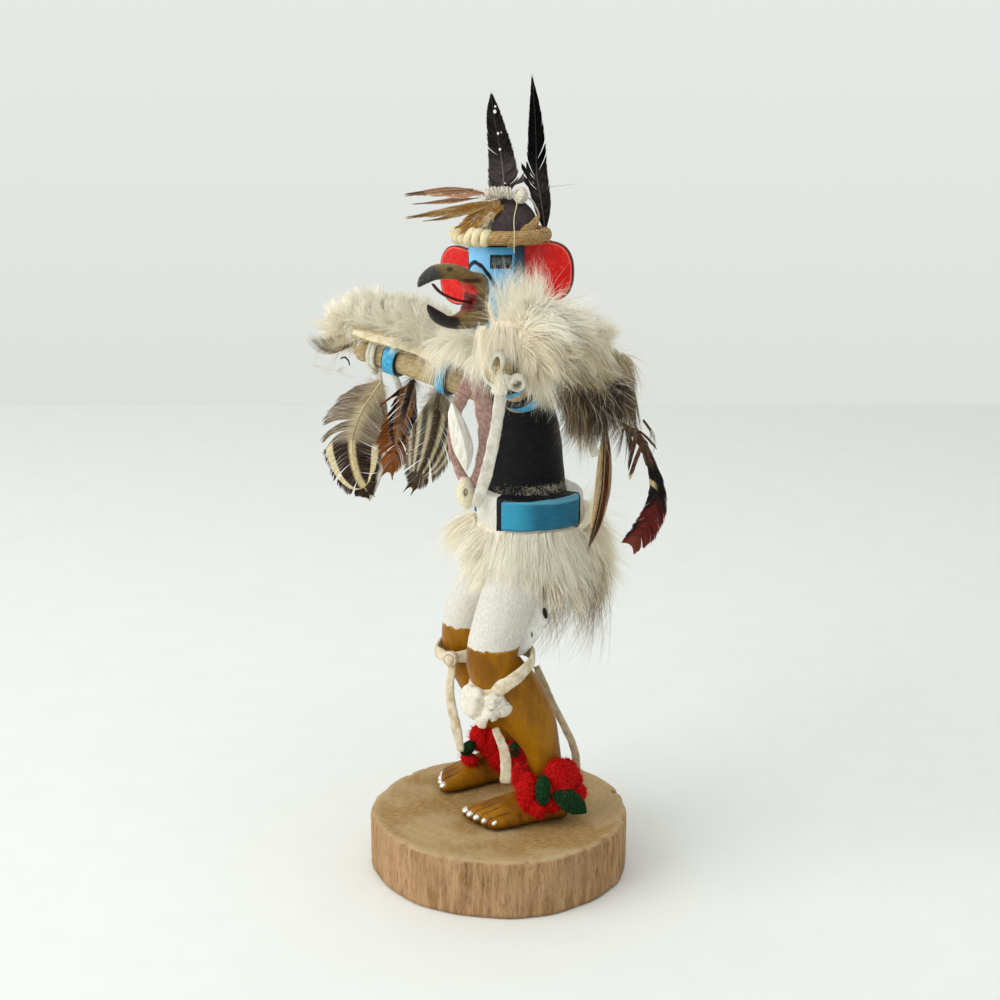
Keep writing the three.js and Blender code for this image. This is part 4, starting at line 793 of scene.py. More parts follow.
def build_figure():
    rows = [[104, 10.7, 12, 11, 2.2], [108.5, 11.3, 16.1, 15.4, 2.3], [114, 11.5, 17, 16.4, 2.3], [120, 11.5, 17.1, 16.5, 2.3], [124.9, 11.5, 17, 16.4, 2.3], [125.9, 11.5, 16.4, 15.8, 2.3]]
    s = smooth_rows(rows, 44)
    hip = loft(np.array([ring_xy(-4, r[1], r[0], r[2], r[3], r[4], 72) for r in s]), True)
    rows = [[124, 10.0, 13.2, 12.4, 2.3], [127.4, 9.9, 13.2, 12.4, 2.3], [134, 9.4, 13, 12.2, 2.3], [142, 8.8, 13.3, 11.9, 2.3], [150, 7.6, 14, 11.2, 2.4],
            [156, 6, 14.2, 10, 2.4], [161, 4.6, 12.2, 8.6, 2.3], [164.5, 3.2, 8.6, 7.4, 2.1], [167, 2.2, 6.5, 6.5, 2], [177.6, 0.9, 6.0, 6.0, 2]]
    s = smooth_rows(rows, 70)
    chest = loft(np.array([ring_xy(-4, r[1], r[0], r[2], r[3], r[4], 72) for r in s]), True)
    parts = [hip, chest, tube(round_ends(LEG_L, 3, .5), 48, 110), tube(round_ends(LEG_R, 3, .5), 48, 110)]
    nails = []
    for f in FEET:
        p, nl = foot_parts(*f); parts += p; nails += nl
    o = fuse("carved_figure", parts, 0.62, figure_material(), smooth=5, factor=0.45)

    def relief(v, n):
        # knife facets, rasped thighs and a fine wood grain
        d = 0.10 * vnoise(v * A(.5, .5, .22), 1, 41, 2)
        thigh = sstep(77, 81, v[:, 2]) * (1 - sstep(103, 108, v[:, 2]))
        d = d + thigh * (0.055 * vnoise(v * A(2.6, 2.6, .7), 1, 43, 2))
        shin = sstep(27, 32, v[:, 2]) * (1 - sstep(76, 79, v[:, 2]))
        d = d + shin * 0.035 * vnoise(v * A(3.0, 3.0, .3), 1, 47)
        # dark cuts between the toes
        for (x, y, side, k) in FEET:
            for j in range(4):
                t = (j + .5) / 4; tx = x - side * 6.2 + side * t * 12.6; ty = y - 28.2 * k + 5 * t * t
                w = np.exp(-((v[:, 0] - tx - side * .12 * (v[:, 1] - ty)) / 0.42) ** 2) * sstep(ty + 7.5, ty + 3.5, v[:, 1]) * sstep(21.0, 22.2, v[:, 2]) * (v[:, 2] < 28)
                d = d - 0.55 * w
        # the sole stays flat
        return d * sstep(19.6, 20.6, v[:, 2])
    push(o, relief)
    v = co(o); v[:, 2] = np.maximum(v[:, 2], SOLE); set_co(o, v)
    # nails: thin silver shells on each toe
    shells = []
    for (x, y, z, r, side) in nails:
        g = egg((x, y - 0.35, z + 0.05), (r * 0.72, 1.5, 1.05), (1, 0, 0), (0, 1, 0.42), 18, 12)
        shells.append(g)
    v, f = merge(shells)
    nail = make("toe_nails", v, f, silver_paint())
    return o, nail


def ring_xy(cx, cy, z, a, b, p, n):
    w = 2 * math.pi * np.arange(n) / n; c, s = np.cos(w), np.sin(w)
    k = (np.abs(c) ** p + np.abs(s) ** p) ** (-1 / p)
    return np.stack([cx + a * k * c, cy + b * k * s, z + 0 * c], -1)


def silver_paint():
    m = Mat("silver_paint", rough=0.28, spec=0.6, Metallic=0.75)
    n = m.noise(m.pos, 2.5, 3)
    return m.finish(m.mix(m.ss(n, .35, .65), srgb("d8d2c4"), srgb("f4f2ea")), m.ss(n, 0.3, 0.7, 0.2, 0.42), m.bump(n, .15, .08))


def figure_material():
    m = Mat("figure_paint", rough=0.5, spec=0.30)
    x, y, z = m.xyz(); p = m.pos
    wob = m.noise(p, 0.35, 3, 0.6) - 0.5; wob2 = m.noise(p, 1.6, 2, 0.6) - 0.5
    # ochre stain
    grain = m.noise(m.stretch(p, (2.2, 2.2, 0.16)), 1.0, 4, 0.62); broad = m.noise(m.stretch(p, (.12, .12, .05)), 1.0, 3)
    ochre = m.mix(m.ss(broad, 0.36, 0.64), srgb("7e4e02"), srgb("a56d05"))
    ochre = m.mix(m.ss(grain, 0.45, 0.66) * 0.36, ochre, srgb("6c4203"))
    ochre = m.mix(m.ss(m.noise(p, .5, 3), .62, .78) * .30, ochre, srgb("c58e22"))
    # painted contact shade: the ochre darkens over the lowest 3 mm of the feet, by the wood slice
    sole_contact_shade = m.ss(z + wob * 1.2, 19.6, 22.6, 1.0, 0.0)
    ochre = m.mix(sole_contact_shade * 0.85, ochre, srgb("3f2506"))
    cleft = 0.0
    # thin dark lines between the toes
    dark = None
    for (fx, fy, side, k) in FEET:
        for j in range(4):
            t = (j + .5) / 4; tx = fx - side * 6.2 + side * t * 12.6; ty = fy - 28.2 * k + 5 * t * t
            u = m.abs(x - tx - (y - ty) * (side * .12))
            w = m.ss(u, 0.16, 0.42, 1.0, 0.0) * m.ss(y, ty + 3.6, ty + 7.4, 1.0, 0.0) * m.ss(z, 28.5, 29.5, 1.0, 0.0)
            dark = w if dark is None else m.mx(dark, w)
    ochre = m.mix(dark * 0.85, ochre, srgb("3a2206"))
    # white thighs and kilt
    nap = m.noise(m.stretch(p, (2.0, 2.0, 0.7)), 1.0, 4, 0.7)
    white = m.mix(m.ss(nap, 0.36, 0.66), srgb("cfccc0"), srgb("e6e3da"))
    white = m.mix(m.ss(broad, .5, .7) * .25, white, srgb("d9d2c2"))
    # black chest
    bn = m.noise(p, 0.7, 4, .6)
    black = m.mix(m.ss(bn, .4, .65), (0.0022, 0.0022, 0.0026), (0.0065, 0.0062, 0.007))
    # where each paint ends
    edge = m.fmix(m.ss(x, -6.0, -2.0), 77.4, 79.9)
    e = z - edge - wob * 2.2 - wob2 * 0.9
    is_white = m.ss(e, -0.12, 0.12)
    rim = m.ss(m.abs(e + 0.25), 0.15, 0.55, 1.0, 0.0) * m.ss(m.noise(p, .8, 2), .45, .6)
    rad = m.vec("LENGTH", m.cmb((x + 4.0) * (1 / 13.35), (y - 9.9) * (1 / 12.55), 0.0))
    is_black = m.mx(m.ss(z + wob2 * .5, 126.15, 126.35), m.ss(z, 125.3, 125.6) * m.ss(rad + wob2 * 0.02, 0.995, 1.01, 1.0, 0.0))
    # black edge lines beside the belt leather
    col = m.mix(is_white, ochre, white)
    col = m.mix(rim * 0.45, col, srgb("d9a05a"))
    ang = m.math("ARCTAN2", (y - 11.5) * (1 / 16.4), (x + 4.0) * (1 / 17.0))
    band_z = m.ss(z, 114.6, 115.1) * m.ss(z, 127.2, 127.6, 1.0, 0.0)
    l1 = m.ss(m.abs(ang + 0.945 + wob2 * .02), 0.075, 0.09, 1.0, 0.0)
    l2 = m.ss(m.abs(ang - 0.69 + wob2 * .02), 0.11, 0.125, 1.0, 0.0)
    l3 = m.mx(m.ss(m.abs(ang + 2.21 + wob2 * .02), 0.055, 0.075, 1.0, 0.0), m.ss(m.abs(ang - 2.44 + wob2 * .02), 0.055, 0.075, 1.0, 0.0))
    bracket = m.mx(m.mx(l1, l2), l3) * band_z
    above = m.ss(z + wob2 * .6, 124.6, 125.1) * m.mn(m.ss(ang, -.98, -.92), m.ss(ang, .78, .81, 1.0, 0.0))
    above2 = m.ss(z + wob2 * .6, 124.6, 125.1) * m.mx(m.ss(ang, 2.36, 2.42), m.ss(ang, -2.22, -2.16, 1.0, 0.0))
    worn = m.noise(p, 2.6, 4, .7)
    above = m.mx(above, above2) * m.ss(worn, .62, .70, 1.0, .35)
    bracket = m.mx(bracket, above)
    col = m.mix(bracket, col, (0.006, 0.006, 0.008))
    col = m.mix(is_black, col, black)
    blk = m.mx(is_black, bracket)
    rough = m.fmix(is_white, m.ss(grain, .3, .7, 0.30, 0.46), 0.82)
    rough = m.fmix(blk, rough, 0.62)
    h = m.fmix(is_white, grain * 0.6 + m.noise(p, 3.0, 2) * .2, nap * 1.6)
    h = m.fmix(is_black, h, bn * 0.7 + m.noise(p, 4.0, 3) * .5) + is_white * 0.25
    return m.finish(col, rough, m.bump(h, 0.35, 0.22))


figure, nails = build_figure()
place(figure, "figure_paint", "figure"); place(nails, "figure_paint")

# ------------------------------------------------------------------ mask, beak, tongue, ears
YAW = math.radians(25)
HF, HE = A(math.sin(YAW), -math.cos(YAW), 0), A(math.cos(YAW), math.sin(YAW), 0)
FACE0 = A(-4, 0.5, 0)


def face(s, e, z):
    return FACE0 + HF * s + HE * e + A(0, 0, z)


def build_head():
    rows = [(178, 0, 8.6), (179, 0, 9), (186, .1, 9.05), (196, .2, 9.1), (205, .3, 9.1), (206.6, 1.6, 9.9), (209, 2.6, 9.75), (212.6, 3.1, 8.4), (215.6, 3.2, 5.7), (217.4, 3.2, 1.6)]
    s = smooth_rows(rows, 150)
    s = s[np.argsort(s[:, 0])]
    v, f = loft(np.array([ring_xy(-4, .5 + q[1], q[0], max(q[2], .4), max(q[2], .4), 2.0, 140) for q in s]), True)
    o = make("mask", v, f, mask_material())
    push(o, lambda v, n: 0.07 * vnoise(v, .5, 51, 2) + 0.03 * vnoise(v * A(2, 2, .5), 1, 52) + 0.05 * sstep(204, 207, v[:, 2]) * vnoise(v, .8, 53, 2))
    return o


def mask_material():
    m = Mat("mask_paint", rough=0.5, spec=0.4)
    x, y, z = m.xyz(); cy, sy = math.cos(YAW), math.sin(YAW)
    dx, dy = x + 4.0, y - 0.5
    e = dx * cy + dy * sy; s = dx * sy - dy * cy
    phi = m.math("ARCTAN2", e, s) * (180 / math.pi); ap = m.abs(phi)
    n = m.noise(m.pos, .8, 3); w = (n - 0.5) * 0.5; fine = m.noise(m.pos, 3.2, 3, .65)
    # painted shading: lighter at the front of the face, darker round its side towards the ear
    base = m.mix(m.ss(phi, 8.0, 60.0), srgb("86cdff"), srgb("4eaee4"))
    base = m.mix(m.ss(fine, .45, .7) * 0.25, base, srgb("b4e0fa"))
    base = m.mix(m.ss(z, 200.8, 203.4) * m.ss(ap, 18, 34) * .8, base, srgb("3a8fb4"))
    # paler band under the brow line
    line = m.ramp((phi + 60.0) * (1 / 120), [(0.0, (0.30,) * 3), (15 / 120, (0.485,) * 3), (52 / 120, (0.56,) * 3), (60 / 120, (0.56,) * 3), (74 / 120, (0.535,) * 3), (91 / 120, (0.46,) * 3), (105 / 120, (0.37,) * 3), (109 / 120, (0.29,) * 3), (1.0, (0.13,) * 3)])
    lz = m.xyz(line)[0] * 40.0 + 176.0
    dz = z - lz + w * .8
    base = m.mix(m.ss(m.abs(dz + 3.0), .9, 1.6, 1.0, 0.0) * .85, base, srgb("b4daee"))
    base = m.mix(m.ss(dz, -12.0, -5.0, 1.0, 0.0) * .35, base, srgb("4f9cc4"))
    thick = m.ss(ap, 4, 30, 0.62, 0.92)
    stroke = m.ss(m.abs(dz) - thick, -0.12, 0.22, 1.0, 0.0) * m.ss(ap, 50, 56, 1.0, 0.0)
    col = m.mix(stroke * m.ss(ap, 34, 50, 1.0, .55), base, (0.006, 0.007, 0.012))
    # eye: a black rectangle, grey where the paint is thin
    ex = m.mn(m.ss(ap + w * 2, 30.4, 31.6), m.ss(ap, 74, 76, 1.0, 0.0)); ez = m.mn(m.ss(z + w * .4, 196.6, 197.0), m.ss(z + w * .5, 200.9, 201.2, 1.0, 0.0))
    inn = m.mn(m.mn(m.ss(ap, 33.2, 36.0), m.ss(ap, 70, 72.5, 1.0, 0.0)), m.mn(m.ss(z, 197.6, 198.2), m.ss(z, 199.9, 200.4, 1.0, 0.0)))
    eye = m.mn(ex, ez)
    col = m.mix(eye, col, (0.010, 0.011, 0.014))
    col = m.mix(eye * inn * m.ss(n, .3, .6, .35, .85), col, srgb("55646a"))
    # black line under the wreath and crown
    col = m.mix(m.ss(z + w * .6, 203.1, 203.4), col, (0.008, 0.008, 0.010))
    crown = m.ss(z, 204.4, 205.4)
    cn = m.noise(m.pos, 1.1, 4, .65)
    col = m.mix(crown, col, m.mix(m.ss(cn, .3, .75), srgb("3d3434"), srgb("534849")))
    back = m.ss(phi + w * 14, 68.0, 78.0) if False else m.mx(m.ss(ap, 116, 124), m.ss(ap + w * 16.0, 76, 84) * m.ss(z + w * 6, 192.0, 196.0) * .80)
    col = m.mix(back * (1.0 - crown) if False else back * m.ss(z, 203.2, 204.4, 1.0, 0.0), col, m.mix(m.ss(cn, .35, .65), (0.008, 0.008, 0.01), (0.02, 0.02, 0.022)))
    r = m.fmix(crown, m.ss(n, .3, .7, .42, .6), 0.86)
    return m.finish(col, r, m.bump(fine * .6 + cn * .6, .35, .12))


UP_ROWS = [(5, 0, 189.6, 4.2, 3.6), (9.1, 0, 191.6, 4.2, 2.9), (12.5, 0, 194.0, 3.8, 2.15), (16, 0, 195.8, 3.5, 2.1), (20, 0, 196.65, 3.1, 2.35), (25, 0, 196.9, 2.6, 2.3), (28, 0, 196.3, 2.1, 2), (31, 0, 194.9, 1.4, 1.45), (32.8, 0, 193.4, .5, .6)]
LOW_ROWS = [(4.5, 0, 184.6, 5.6, 4.4), (9, 0, 182.8, 4.9, 3.9), (13.4, 0, 181.6, 3.8, 3), (17.6, 0, 181.1, 3.1, 2.1), (21.8, 0, 181.8, 2.5, 1.8), (25.4, 0, 183.7, 1.9, 1.8), (28, 0, 185.9, 1.2, 1.1), (29.2, 0, 187.4, .4, .4)]


def face_rows(rows):
    return [[*face(s, e, z), *rest] for s, e, z, *rest in rows]


def build_beak():
    parts = [tube(round_ends(face_rows(r), 3, .5), 36, 90, HE, 2.2) for r in (UP_ROWS, LOW_ROWS)]
    arch = [[*face(a, 0, z), 4.3, w] for a, z, w in ((11.0, 193.6, 2.6), (8.9, 191.6, 3.6), (8.0, 188.6, 4.2), (8.7, 185.6, 3.8), (11.0, 183.4, 2.6))]
    c = tube(round_ends(arch, 3, .5), 40, 60, HE, 2.8)
    o = fuse("beak", parts + [c], 0.30, beak_material(), smooth=3, factor=.45)
    v, f = egg(face(14.2, 0, 188.6), (4.9, 3.3, 4.3), HF, HE, 40, 24)
    cut = make("mouth_cut", v, f, o.data.materials[0])
    bl = o.modifiers.new("mouth", "BOOLEAN"); bl.operation = "DIFFERENCE"; bl.solver = "EXACT"; bl.object = cut
    settle(o); bpy.data.objects.remove(cut)

    def relief(v, n):
        d = v - FACE0; s = d @ HF; e = d @ HE; z = v[:, 2]
        out = 0.05 * vnoise(v * A(1.6, 1.6, 1.6), 1, 55, 2)
        # nostrils and the cutting edge line
        for side in (1, -1):
            out = out - 0.55 * np.exp(-(((s - 22.4) / 1.0) ** 2 + ((z - 197.6) / .55) ** 2 + ((e - side * 2.6) / 1.2) ** 2))
        out = out - 0.15 * sstep(20, 24, s) * (1 - sstep(28, 31, s)) * np.exp(-((z - 195.4) / .5) ** 2)
        return out
    push(o, relief)
    return o


def beak_material():
    m = Mat("beak_wood", rough=0.42, spec=0.5)
    x, y, z = m.xyz(); cy, sy = math.cos(YAW), math.sin(YAW)
    dx, dy = x + 4.0, y - 0.5
    e = dx * cy + dy * sy; s = dx * sy - dy * cy
    p = m.cmb(s * .35, e * 1.3, z * 1.3)
    g1 = m.noise(p, 1.3, 4, .6); g2 = m.noise(m.pos, 3.5, 3, .65); br = m.noise(m.pos, .25, 3)
    wood = m.mix(m.ss(g1, .36, .66), srgb("6f5a2e"), srgb("967848"))
    wood = m.mix(m.ss(br, .44, .62) * .55, wood, srgb("857148"))
    wood = m.mix(m.ss(g2, .56, .72) * .35, wood, srgb("4c3a1c"))
    # the cheek arch is paler and pinker
    wood = m.mix(m.ss(s, 13.0, 9.0, 0.0, 1.0) * m.ss(m.abs(z - 189.0), 9.0, 5.0, 0.0, 1.0) * .75, wood, m.mix(m.ss(g1, .4, .65), srgb("9c8a66"), srgb("7b6a44")))
    # black tips with a grey bloom
    up = m.ss(z, 190.2, 191.2)
    tip = m.fmix(up, m.ss(s + (g2 - .5) * 1.6, 17.6, 19.6), m.ss(s + (g2 - .5) * 2.2 - (z - 196.0) * .5, 23.6, 27.0))
    tipc = m.mix(m.ss(g2, .42, .66) * m.fmix(up, 0.15, 0.9), (0.012, 0.012, 0.012), srgb("6f6f6a"))
    col = m.mix(tip, wood, tipc)
    # nostril and maroon cut line
    for side in (1, -1):
        q = m.vec("LENGTH", m.cmb((s - 22.4) * (1 / 1.35), (z - 197.6) * (1 / .75), (e - side * 2.4) * (1 / 1.6)))
        col = m.mix(m.ss(q, .7, 1.15, .8, 0.0), col, srgb("33261a"))
    # mouth: dark red inside
    md = m.vec("LENGTH", m.cmb((s - 14.2) * (1 / 5.1), e * (1 / 3.5), (z - 188.6) * (1 / 4.5)))
    inside = m.ss(md, 1.02, 1.10, 1.0, 0.0)
    col = m.mix(inside, col, m.mix(m.ss(g1, .4, .62), srgb("c0101a"), srgb("e8402c")))
    under = m.mn(m.ss(m.abs(z - (193.6 + 0.0)), .35, 1.1, 1.0, 0.0), m.mn(m.ss(s, 10.0, 12.0), m.ss(s, 24.0, 27.0, 1.0, 0.0)))
    col = m.mix(under * .85, col, srgb("3d0c10"))
    low = m.mn(m.ss(z, 183.8, 184.8), m.ss(s, 9.0, 12.0)) * m.ss(z, 189.0, 190.0, 1.0, 0.0)
    col = m.mix(low * .8, col, srgb("24140f"))
    return m.finish(col, m.fmix(tip, m.ss(g1, .3, .7, .34, .5), 0.5), m.bump(g1 * .8 + g2 * .4, .35, .14))


def build_tongue():
    rows = [[*face(10.6, 0, 186.4), 1.0], [*face(11.2, 0, 186.6), 1.1], [*face(16, 0, 187.5), 1.05], [*face(20.6, 0, 189), .95], [*face(24.4, 0, 191), .8], [*face(27.2, 0, 193.6), .5]]
    v, f = strap(rows, A(0, 0, 1), .75, 60, 12, 71, .08, .03)
    m = Mat("tongue_leather", rough=0.4, spec=0.5)
    n = m.noise(m.pos, 2.0, 3)
    m.finish(m.mix(n, srgb("3a0a10"), srgb("621019")), None, m.bump(n, .3, .1))
    return make("tongue_leather", v, f, m.mat)


EARS = {"left": (1, .4, .52, 0), "right": (-1, -.1, .02, -3)}


def build_ear(name, mat):
    side, seat, sweep, lift = EARS[name]
    W, H, TH, Z0 = 16.0, 18.5, 1.8, 195.6
    out = HE * side * math.cos(sweep) - HF * math.sin(sweep)
    root = face(-8.4 * math.sin(seat), side * 8.4 * math.cos(seat), Z0 + lift)
    nrm = unit(np.cross(out, A(0, 0, 1)))
    n = 160; h = H / 2
    pts = []
    # straight hidden side, then the D
    for k in range(n):
        u = k / n
        if u < 0.14:
            pts.append((-2, lerp(h * .86, -h * .86, u / 0.14)))
        else:
            a = lerp(-math.pi / 2, math.pi / 2, (u - 0.14) / 0.86)
            pts.append((W * .42 + W * .58 * max(math.cos(a), 0.0) ** .72, h * math.copysign(abs(math.sin(a)) ** .84, a)))
    pts = np.array(pts)
    # even spacing round the outline
    q = np.vstack([pts, pts[:1]]); L = np.concatenate([[0], np.cumsum(np.linalg.norm(np.diff(q, axis=0), axis=1))])
    t = np.arange(n) / n * L[-1]; pts = np.stack([np.interp(t, L, q[:, 0]), np.interp(t, L, q[:, 1])], -1)
    c = A(W * .42, 0)
    ks = np.concatenate([np.linspace(.03, .90, 22), [.93, .955, .975, .99]])
    prof = [(k, TH / 2 - 0.0) for k in ks] + [(1.0, TH * .36), (1.0, -TH * .36)] + [(k, -TH / 2) for k in ks[::-1]]
    rings, ring_v = [], []
    for i, (k, th) in enumerate(prof):
        p = c + (pts - c) * k
        if k >= 1: p = c + (pts - c) * (1 + .004)
        bow = 0.55 * (1 - (np.abs(p[:, 1]) / h) ** 2) * sstep(0, W, p[:, 0])       # cupped a little forward
        ripple = 0.10 * vnoise(np.stack([p[:, 0], p[:, 1], p[:, 0] * 0 + side * 9], -1), .35, 57, 2)
        rings.append(root + out * p[:, :1] + A(0, 0, 1) * p[:, 1:] + nrm * (th + ripple[:, None] * 1.0 + bow[:, None] * .6 - .3))
        ring_v.append(i / (len(prof) - 1))
    v, f = loft(np.array(rings), True)
    U = np.tile(np.arange(n) / n, len(prof)); V = np.repeat(ring_v, n)
    U = np.concatenate([U, [.5, .5]]); V = np.concatenate([V, [0, 1]])
    uv = []
    for q in f:
        us = U[list(q)].copy()
        if us.max() - us.min() > .5: us = np.where(us < .5, us + 1, us)
        uv += [(min(a, 1.0), b) for a, b in zip(us, V[list(q)])]
    return place(make("ear_%s_leather" % name, v, f, mat, uv=uv), "ear_leather", "ear_" + name)


def ear_material():
    m = Mat("ear_leather", rough=0.22, spec=0.6)
    u, v, _ = m.xyz(m.uv())
    n = m.noise(m.pos, .5, 3, .6); n2 = m.noise(m.pos, 3.0, 3, .65)
    red = m.mix(m.ss(n, .3, .75), srgb("cc0a08"), srgb("e01a14"))
    red = m.mix(m.ss(n2, .58, .74) * .22, red, srgb("8f0a0e"))
    # v grows with each ring: 0 front middle, .5 the rim, 1 back middle
    d = m.abs(v - .5)
    red = m.mix(m.ss(m.abs(d - .085), .008, .022, 1.0, 0.0) * .55, red, srgb("f08468"))
    red = m.mix(m.ss(d, .045, .062, 1.0, 0.0), red, srgb("4a0f1c"))
    red = m.mix(m.ss(d, .012, .03, 1.0, 0.0), red, srgb("241019"))
    return m.finish(red, m.ss(n, .3, .7, .16, .34), m.bump(n * .8 + n2 * .25, .3, .12))


place(build_head(), "mask_paint", "head")
place(build_beak(), "beak_wood", "beak")
place(build_tongue(), "tongue_leather", "tongue")
red_leather = ear_material()
for k in EARS:
    build_ear(k, red_leather)

# ------------------------------------------------------------------ husk wreath with its yarn
WC, WR, WT = A(-4, 1.9, 206.3), 13.2, 2.45


def on_wreath(a, b, r):
    """a round the head from +X to +Y, b round the tube from outward to up"""
    c = np.stack([np.cos(a), np.sin(a), 0 * a], -1)
    return WC + c * (WR + (r * np.cos(b)))[..., None] + A(0, 0, 1) * (r * np.sin(b))[..., None]


def husk_material():
    m = Mat("corn_husk", rough=0.7, spec=0.3)
    x, y, z = m.xyz()
    a = m.math("ARCTAN2", y - 1.9, x + 4.0) * 13.2
    q = m.cmb(a * .35, z * 3.0, m.vec("LENGTH", m.cmb(x + 4.0, y - 1.9, 0.0)) * 3.0)
    n = m.noise(q, .9, 4, .65); n2 = m.noise(m.pos, .4, 3)
    c = m.mix(m.ss(n, .35, .66), srgb("8a6a3c"), srgb("c9ab7c"))
    c = m.mix(m.ss(n2, .4, .62) * .5, c, srgb("b08a54"))
    c = m.mix(m.ss(n, .60, .74) * .5, c, srgb("e0c99c"))
    return m.finish(c, None, m.bump(n, .5, .2))


def build_wreath():
    parts = []; n_str = 9
    m = 260
    a = 2 * math.pi * np.arange(m) / m
    core = on_wreath(a, a * 0, np.full(m, 0.0)); parts.append(tube(np.column_stack([core, np.full((m, 2), 1.75)]), 18, 0, (0, 0, 1), closed=True, smooth=False))
    rng = RNG(17)
    for k in range(n_str):
        b = 2 * math.pi * k / n_str + a * 11 / 1.0 * 1.0
        rad = 1.72 + .18 * vnoise(np.stack([np.cos(a) * 9, np.sin(a) * 9, a * 0 + k * 3], -1), .5, 81 + k)
        p = on_wreath(a, b, rad)
        nr = on_wreath(a, b, rad + 1) - p
        wd = 0.66 * (1 + .25 * vnoise(np.stack([np.cos(a) * 9, np.sin(a) * 9, a * 0 + k * 5], -1), .6, 90 + k))
        t, e1, e2 = frames(p, nr, True)
        w = 2 * math.pi * np.arange(8) / 8
        rings = p[:, None] + e1[:, None] * (.42 * np.cos(w))[None, :, None] + e2[:, None] * (wd[:, None] * np.sin(w))[..., None]
        parts.append(loft(rings, True, True))
    # torn end that stands up behind, and the frayed end at the right
    def blade(rows, nrm, th, seed):
        return strap(rows, nrm, th, 40, 12, seed, .16, .12)
    parts.append(blade([[2.9, -.9, 204.4, 1.6], [4.6, 1.2, 205.1, 2.2], [5.6, 5.2, 206.9, 2.1], [5.1, 8.7, 209.5, 1.5], [4.5, 10.8, 212.5, .35]], A(1, .2, .35), 1.3, 93))
    for k in range(7):
        z0 = 205.2 + .7 * k * .5; l = rng.uniform(3.0, 5.2)
        s0 = A(6.8 + rng.uniform(-.6, .4), 9.6 + rng.uniform(-.8, .8), z0)
        d = unit(A(rng.uniform(-.1, .35), 1, rng.uniform(-.25, .35)))
        parts.append(blade([[*s0, .55], [*(s0 + d * l * .5 + A(0, 0, .3)), .5], [*(s0 + d * l), .2]], A(1, -.2, .3), .35, 100 + k))
    v, f = merge(parts)
    return place(make("husk_wreath", v, f, husk_material()), "corn_husk", "wreath")


def build_yarn():
    parts, turns = [], 7
    for k in range(turns):
        a0 = math.pi * lerp(1.405, 1.775, k / (turns - 1)); lean = 0.035 + .012 * math.sin(k * 2.1)
        b = 2 * math.pi * np.arange(64) / 64
        a = a0 + lean * np.sin(b)
        path = on_wreath(a, b, np.full(64, 1.42 + .12 * math.sin(k * 1.7)))
        rr = 1.42 * (1 + .05 * np.sin(3 * b + k)); parts.append(tube(np.column_stack([path, rr, rr * 1.02]), 18, 0, (0, 0, 1), closed=True, smooth=False, wobble=.10, seed=110 + k))
    v, f = merge(parts)
    m = Mat("cream_yarn", rough=0.9, spec=0.2)
    n = m.noise(m.pos, 2.2, 4, .7); n2 = m.noise(m.pos, .5, 2)
    m.finish(m.mix(m.ss(n, .35, .7), srgb("e0d3a8"), srgb("f4eac6")), None, m.bump(m.noise(m.pos, 5, 3), .5, .18))
    o = place(make("wreath_yarn_turns", v, f, m.mat), "cream_yarn", "wreath_yarn")
    hm = hair_mat("yarn_fuzz", ["d9cda8", "f0e6c8", "faf3dd"])
    join_ribbons("wreath_yarn_fuzz", [fuzz(v, tri_list(f), 2600, .8, .07, 121, .7)], hm, "cream_yarn")
    # a pale thread hangs over the brow in front of the crown
    p = [[4.8, 3.2, 218.8], [7.9, 2.4, 216.4], [11.8, 0.1, 212.6], [14.6, -.9, 208.4], [14.8, -1.0, 202.5]]
    v, f = tube([[*q, .13, .13] for q in p], 8, 40, (1, 0, 0))
    place(make("brow_thread", v, f, m.mat), "cream_yarn")
    return o


build_wreath(); build_yarn()

# ------------------------------------------------------------------ arms, blue bands, hand ties
ARM_R = np.array([(-9, 4.5, 156), (-17, -1.5, 157.6), (-24.2, -8.3, 159.5), (-33, -15.6, 161.8), (-41.2, -22.5, 163.9), (-45.2, -26, 164.9)], float)
ARM_L = np.array([(-1, 5, 156), (7.5, 3.4, 157.8), (17.8, .2, 162), (25, -5.4, 165), (33, -10.6, 169.6), (36, -12.6, 171.4)], float)
ARM_RAD = [5.2, 5.2, 4.8, 4.6, 4.3, 4.1]
FIST = {"right": A(-48.8, -29.2, 165.4), "left": A(39, -14.8, 172.8)}


def arm_wood():
    m = Mat("arm_wood", rough=0.7, spec=0.3)
    g = m.noise(m.stretch(m.pos, (.5, .5, 1.4)), 1.0, 4, .6); sp = m.noise(m.pos, 5.0, 3, .7); b = m.noise(m.pos, .2, 2)
    c = m.mix(m.ss(g, .36, .66), srgb("a08a62"), srgb("c2ae86"))
    c = m.mix(m.ss(b, .42, .62) * .4, c, srgb("b8a07a"))
    c = m.mix(m.ss(sp, .56, .68) * .5, c, srgb("7a6440"))
    return m.finish(c, None, m.bump(g + sp * .5, .4, .16))


def build_arm(name, pts, mat):
    out = unit(pts[5] - pts[4]); f = FIST[name]
    rows = np.column_stack([pts, ARM_RAD, ARM_RAD])
    arm = tube(round_ends(rows, 3, .4), 40, 90, (0, 0, 1), 2.15)
    parts = [arm, egg(f, (4.6, 4.1, 4.3), out, A(0, 0, 1), 32, 20), egg(f + A(0, 0, 2.6) + out, (2.6, 1.5, 1.6), out, A(0, 0, 1), 20, 14)]
    o = fuse("arm_%s_carved" % name, parts, 0.5, mat, smooth=3, factor=.45)

    def relief(v, n):
        d = v - f; al = d @ out; up = d[:, 2]
        grip = 0.0
        for k in (-1.9, 0.0, 1.9):
            grip = grip - 0.45 * np.exp(-((up - k) / .35) ** 2) * sstep(-1.0, 1.6, al)
        return 0.12 * vnoise(v * A(.5, .5, .5), 1, 131, 2) + .05 * vnoise(v, 2.0, 132) + grip
    push(o, relief)
    return place(o, "arm_wood", "arm_" + name)


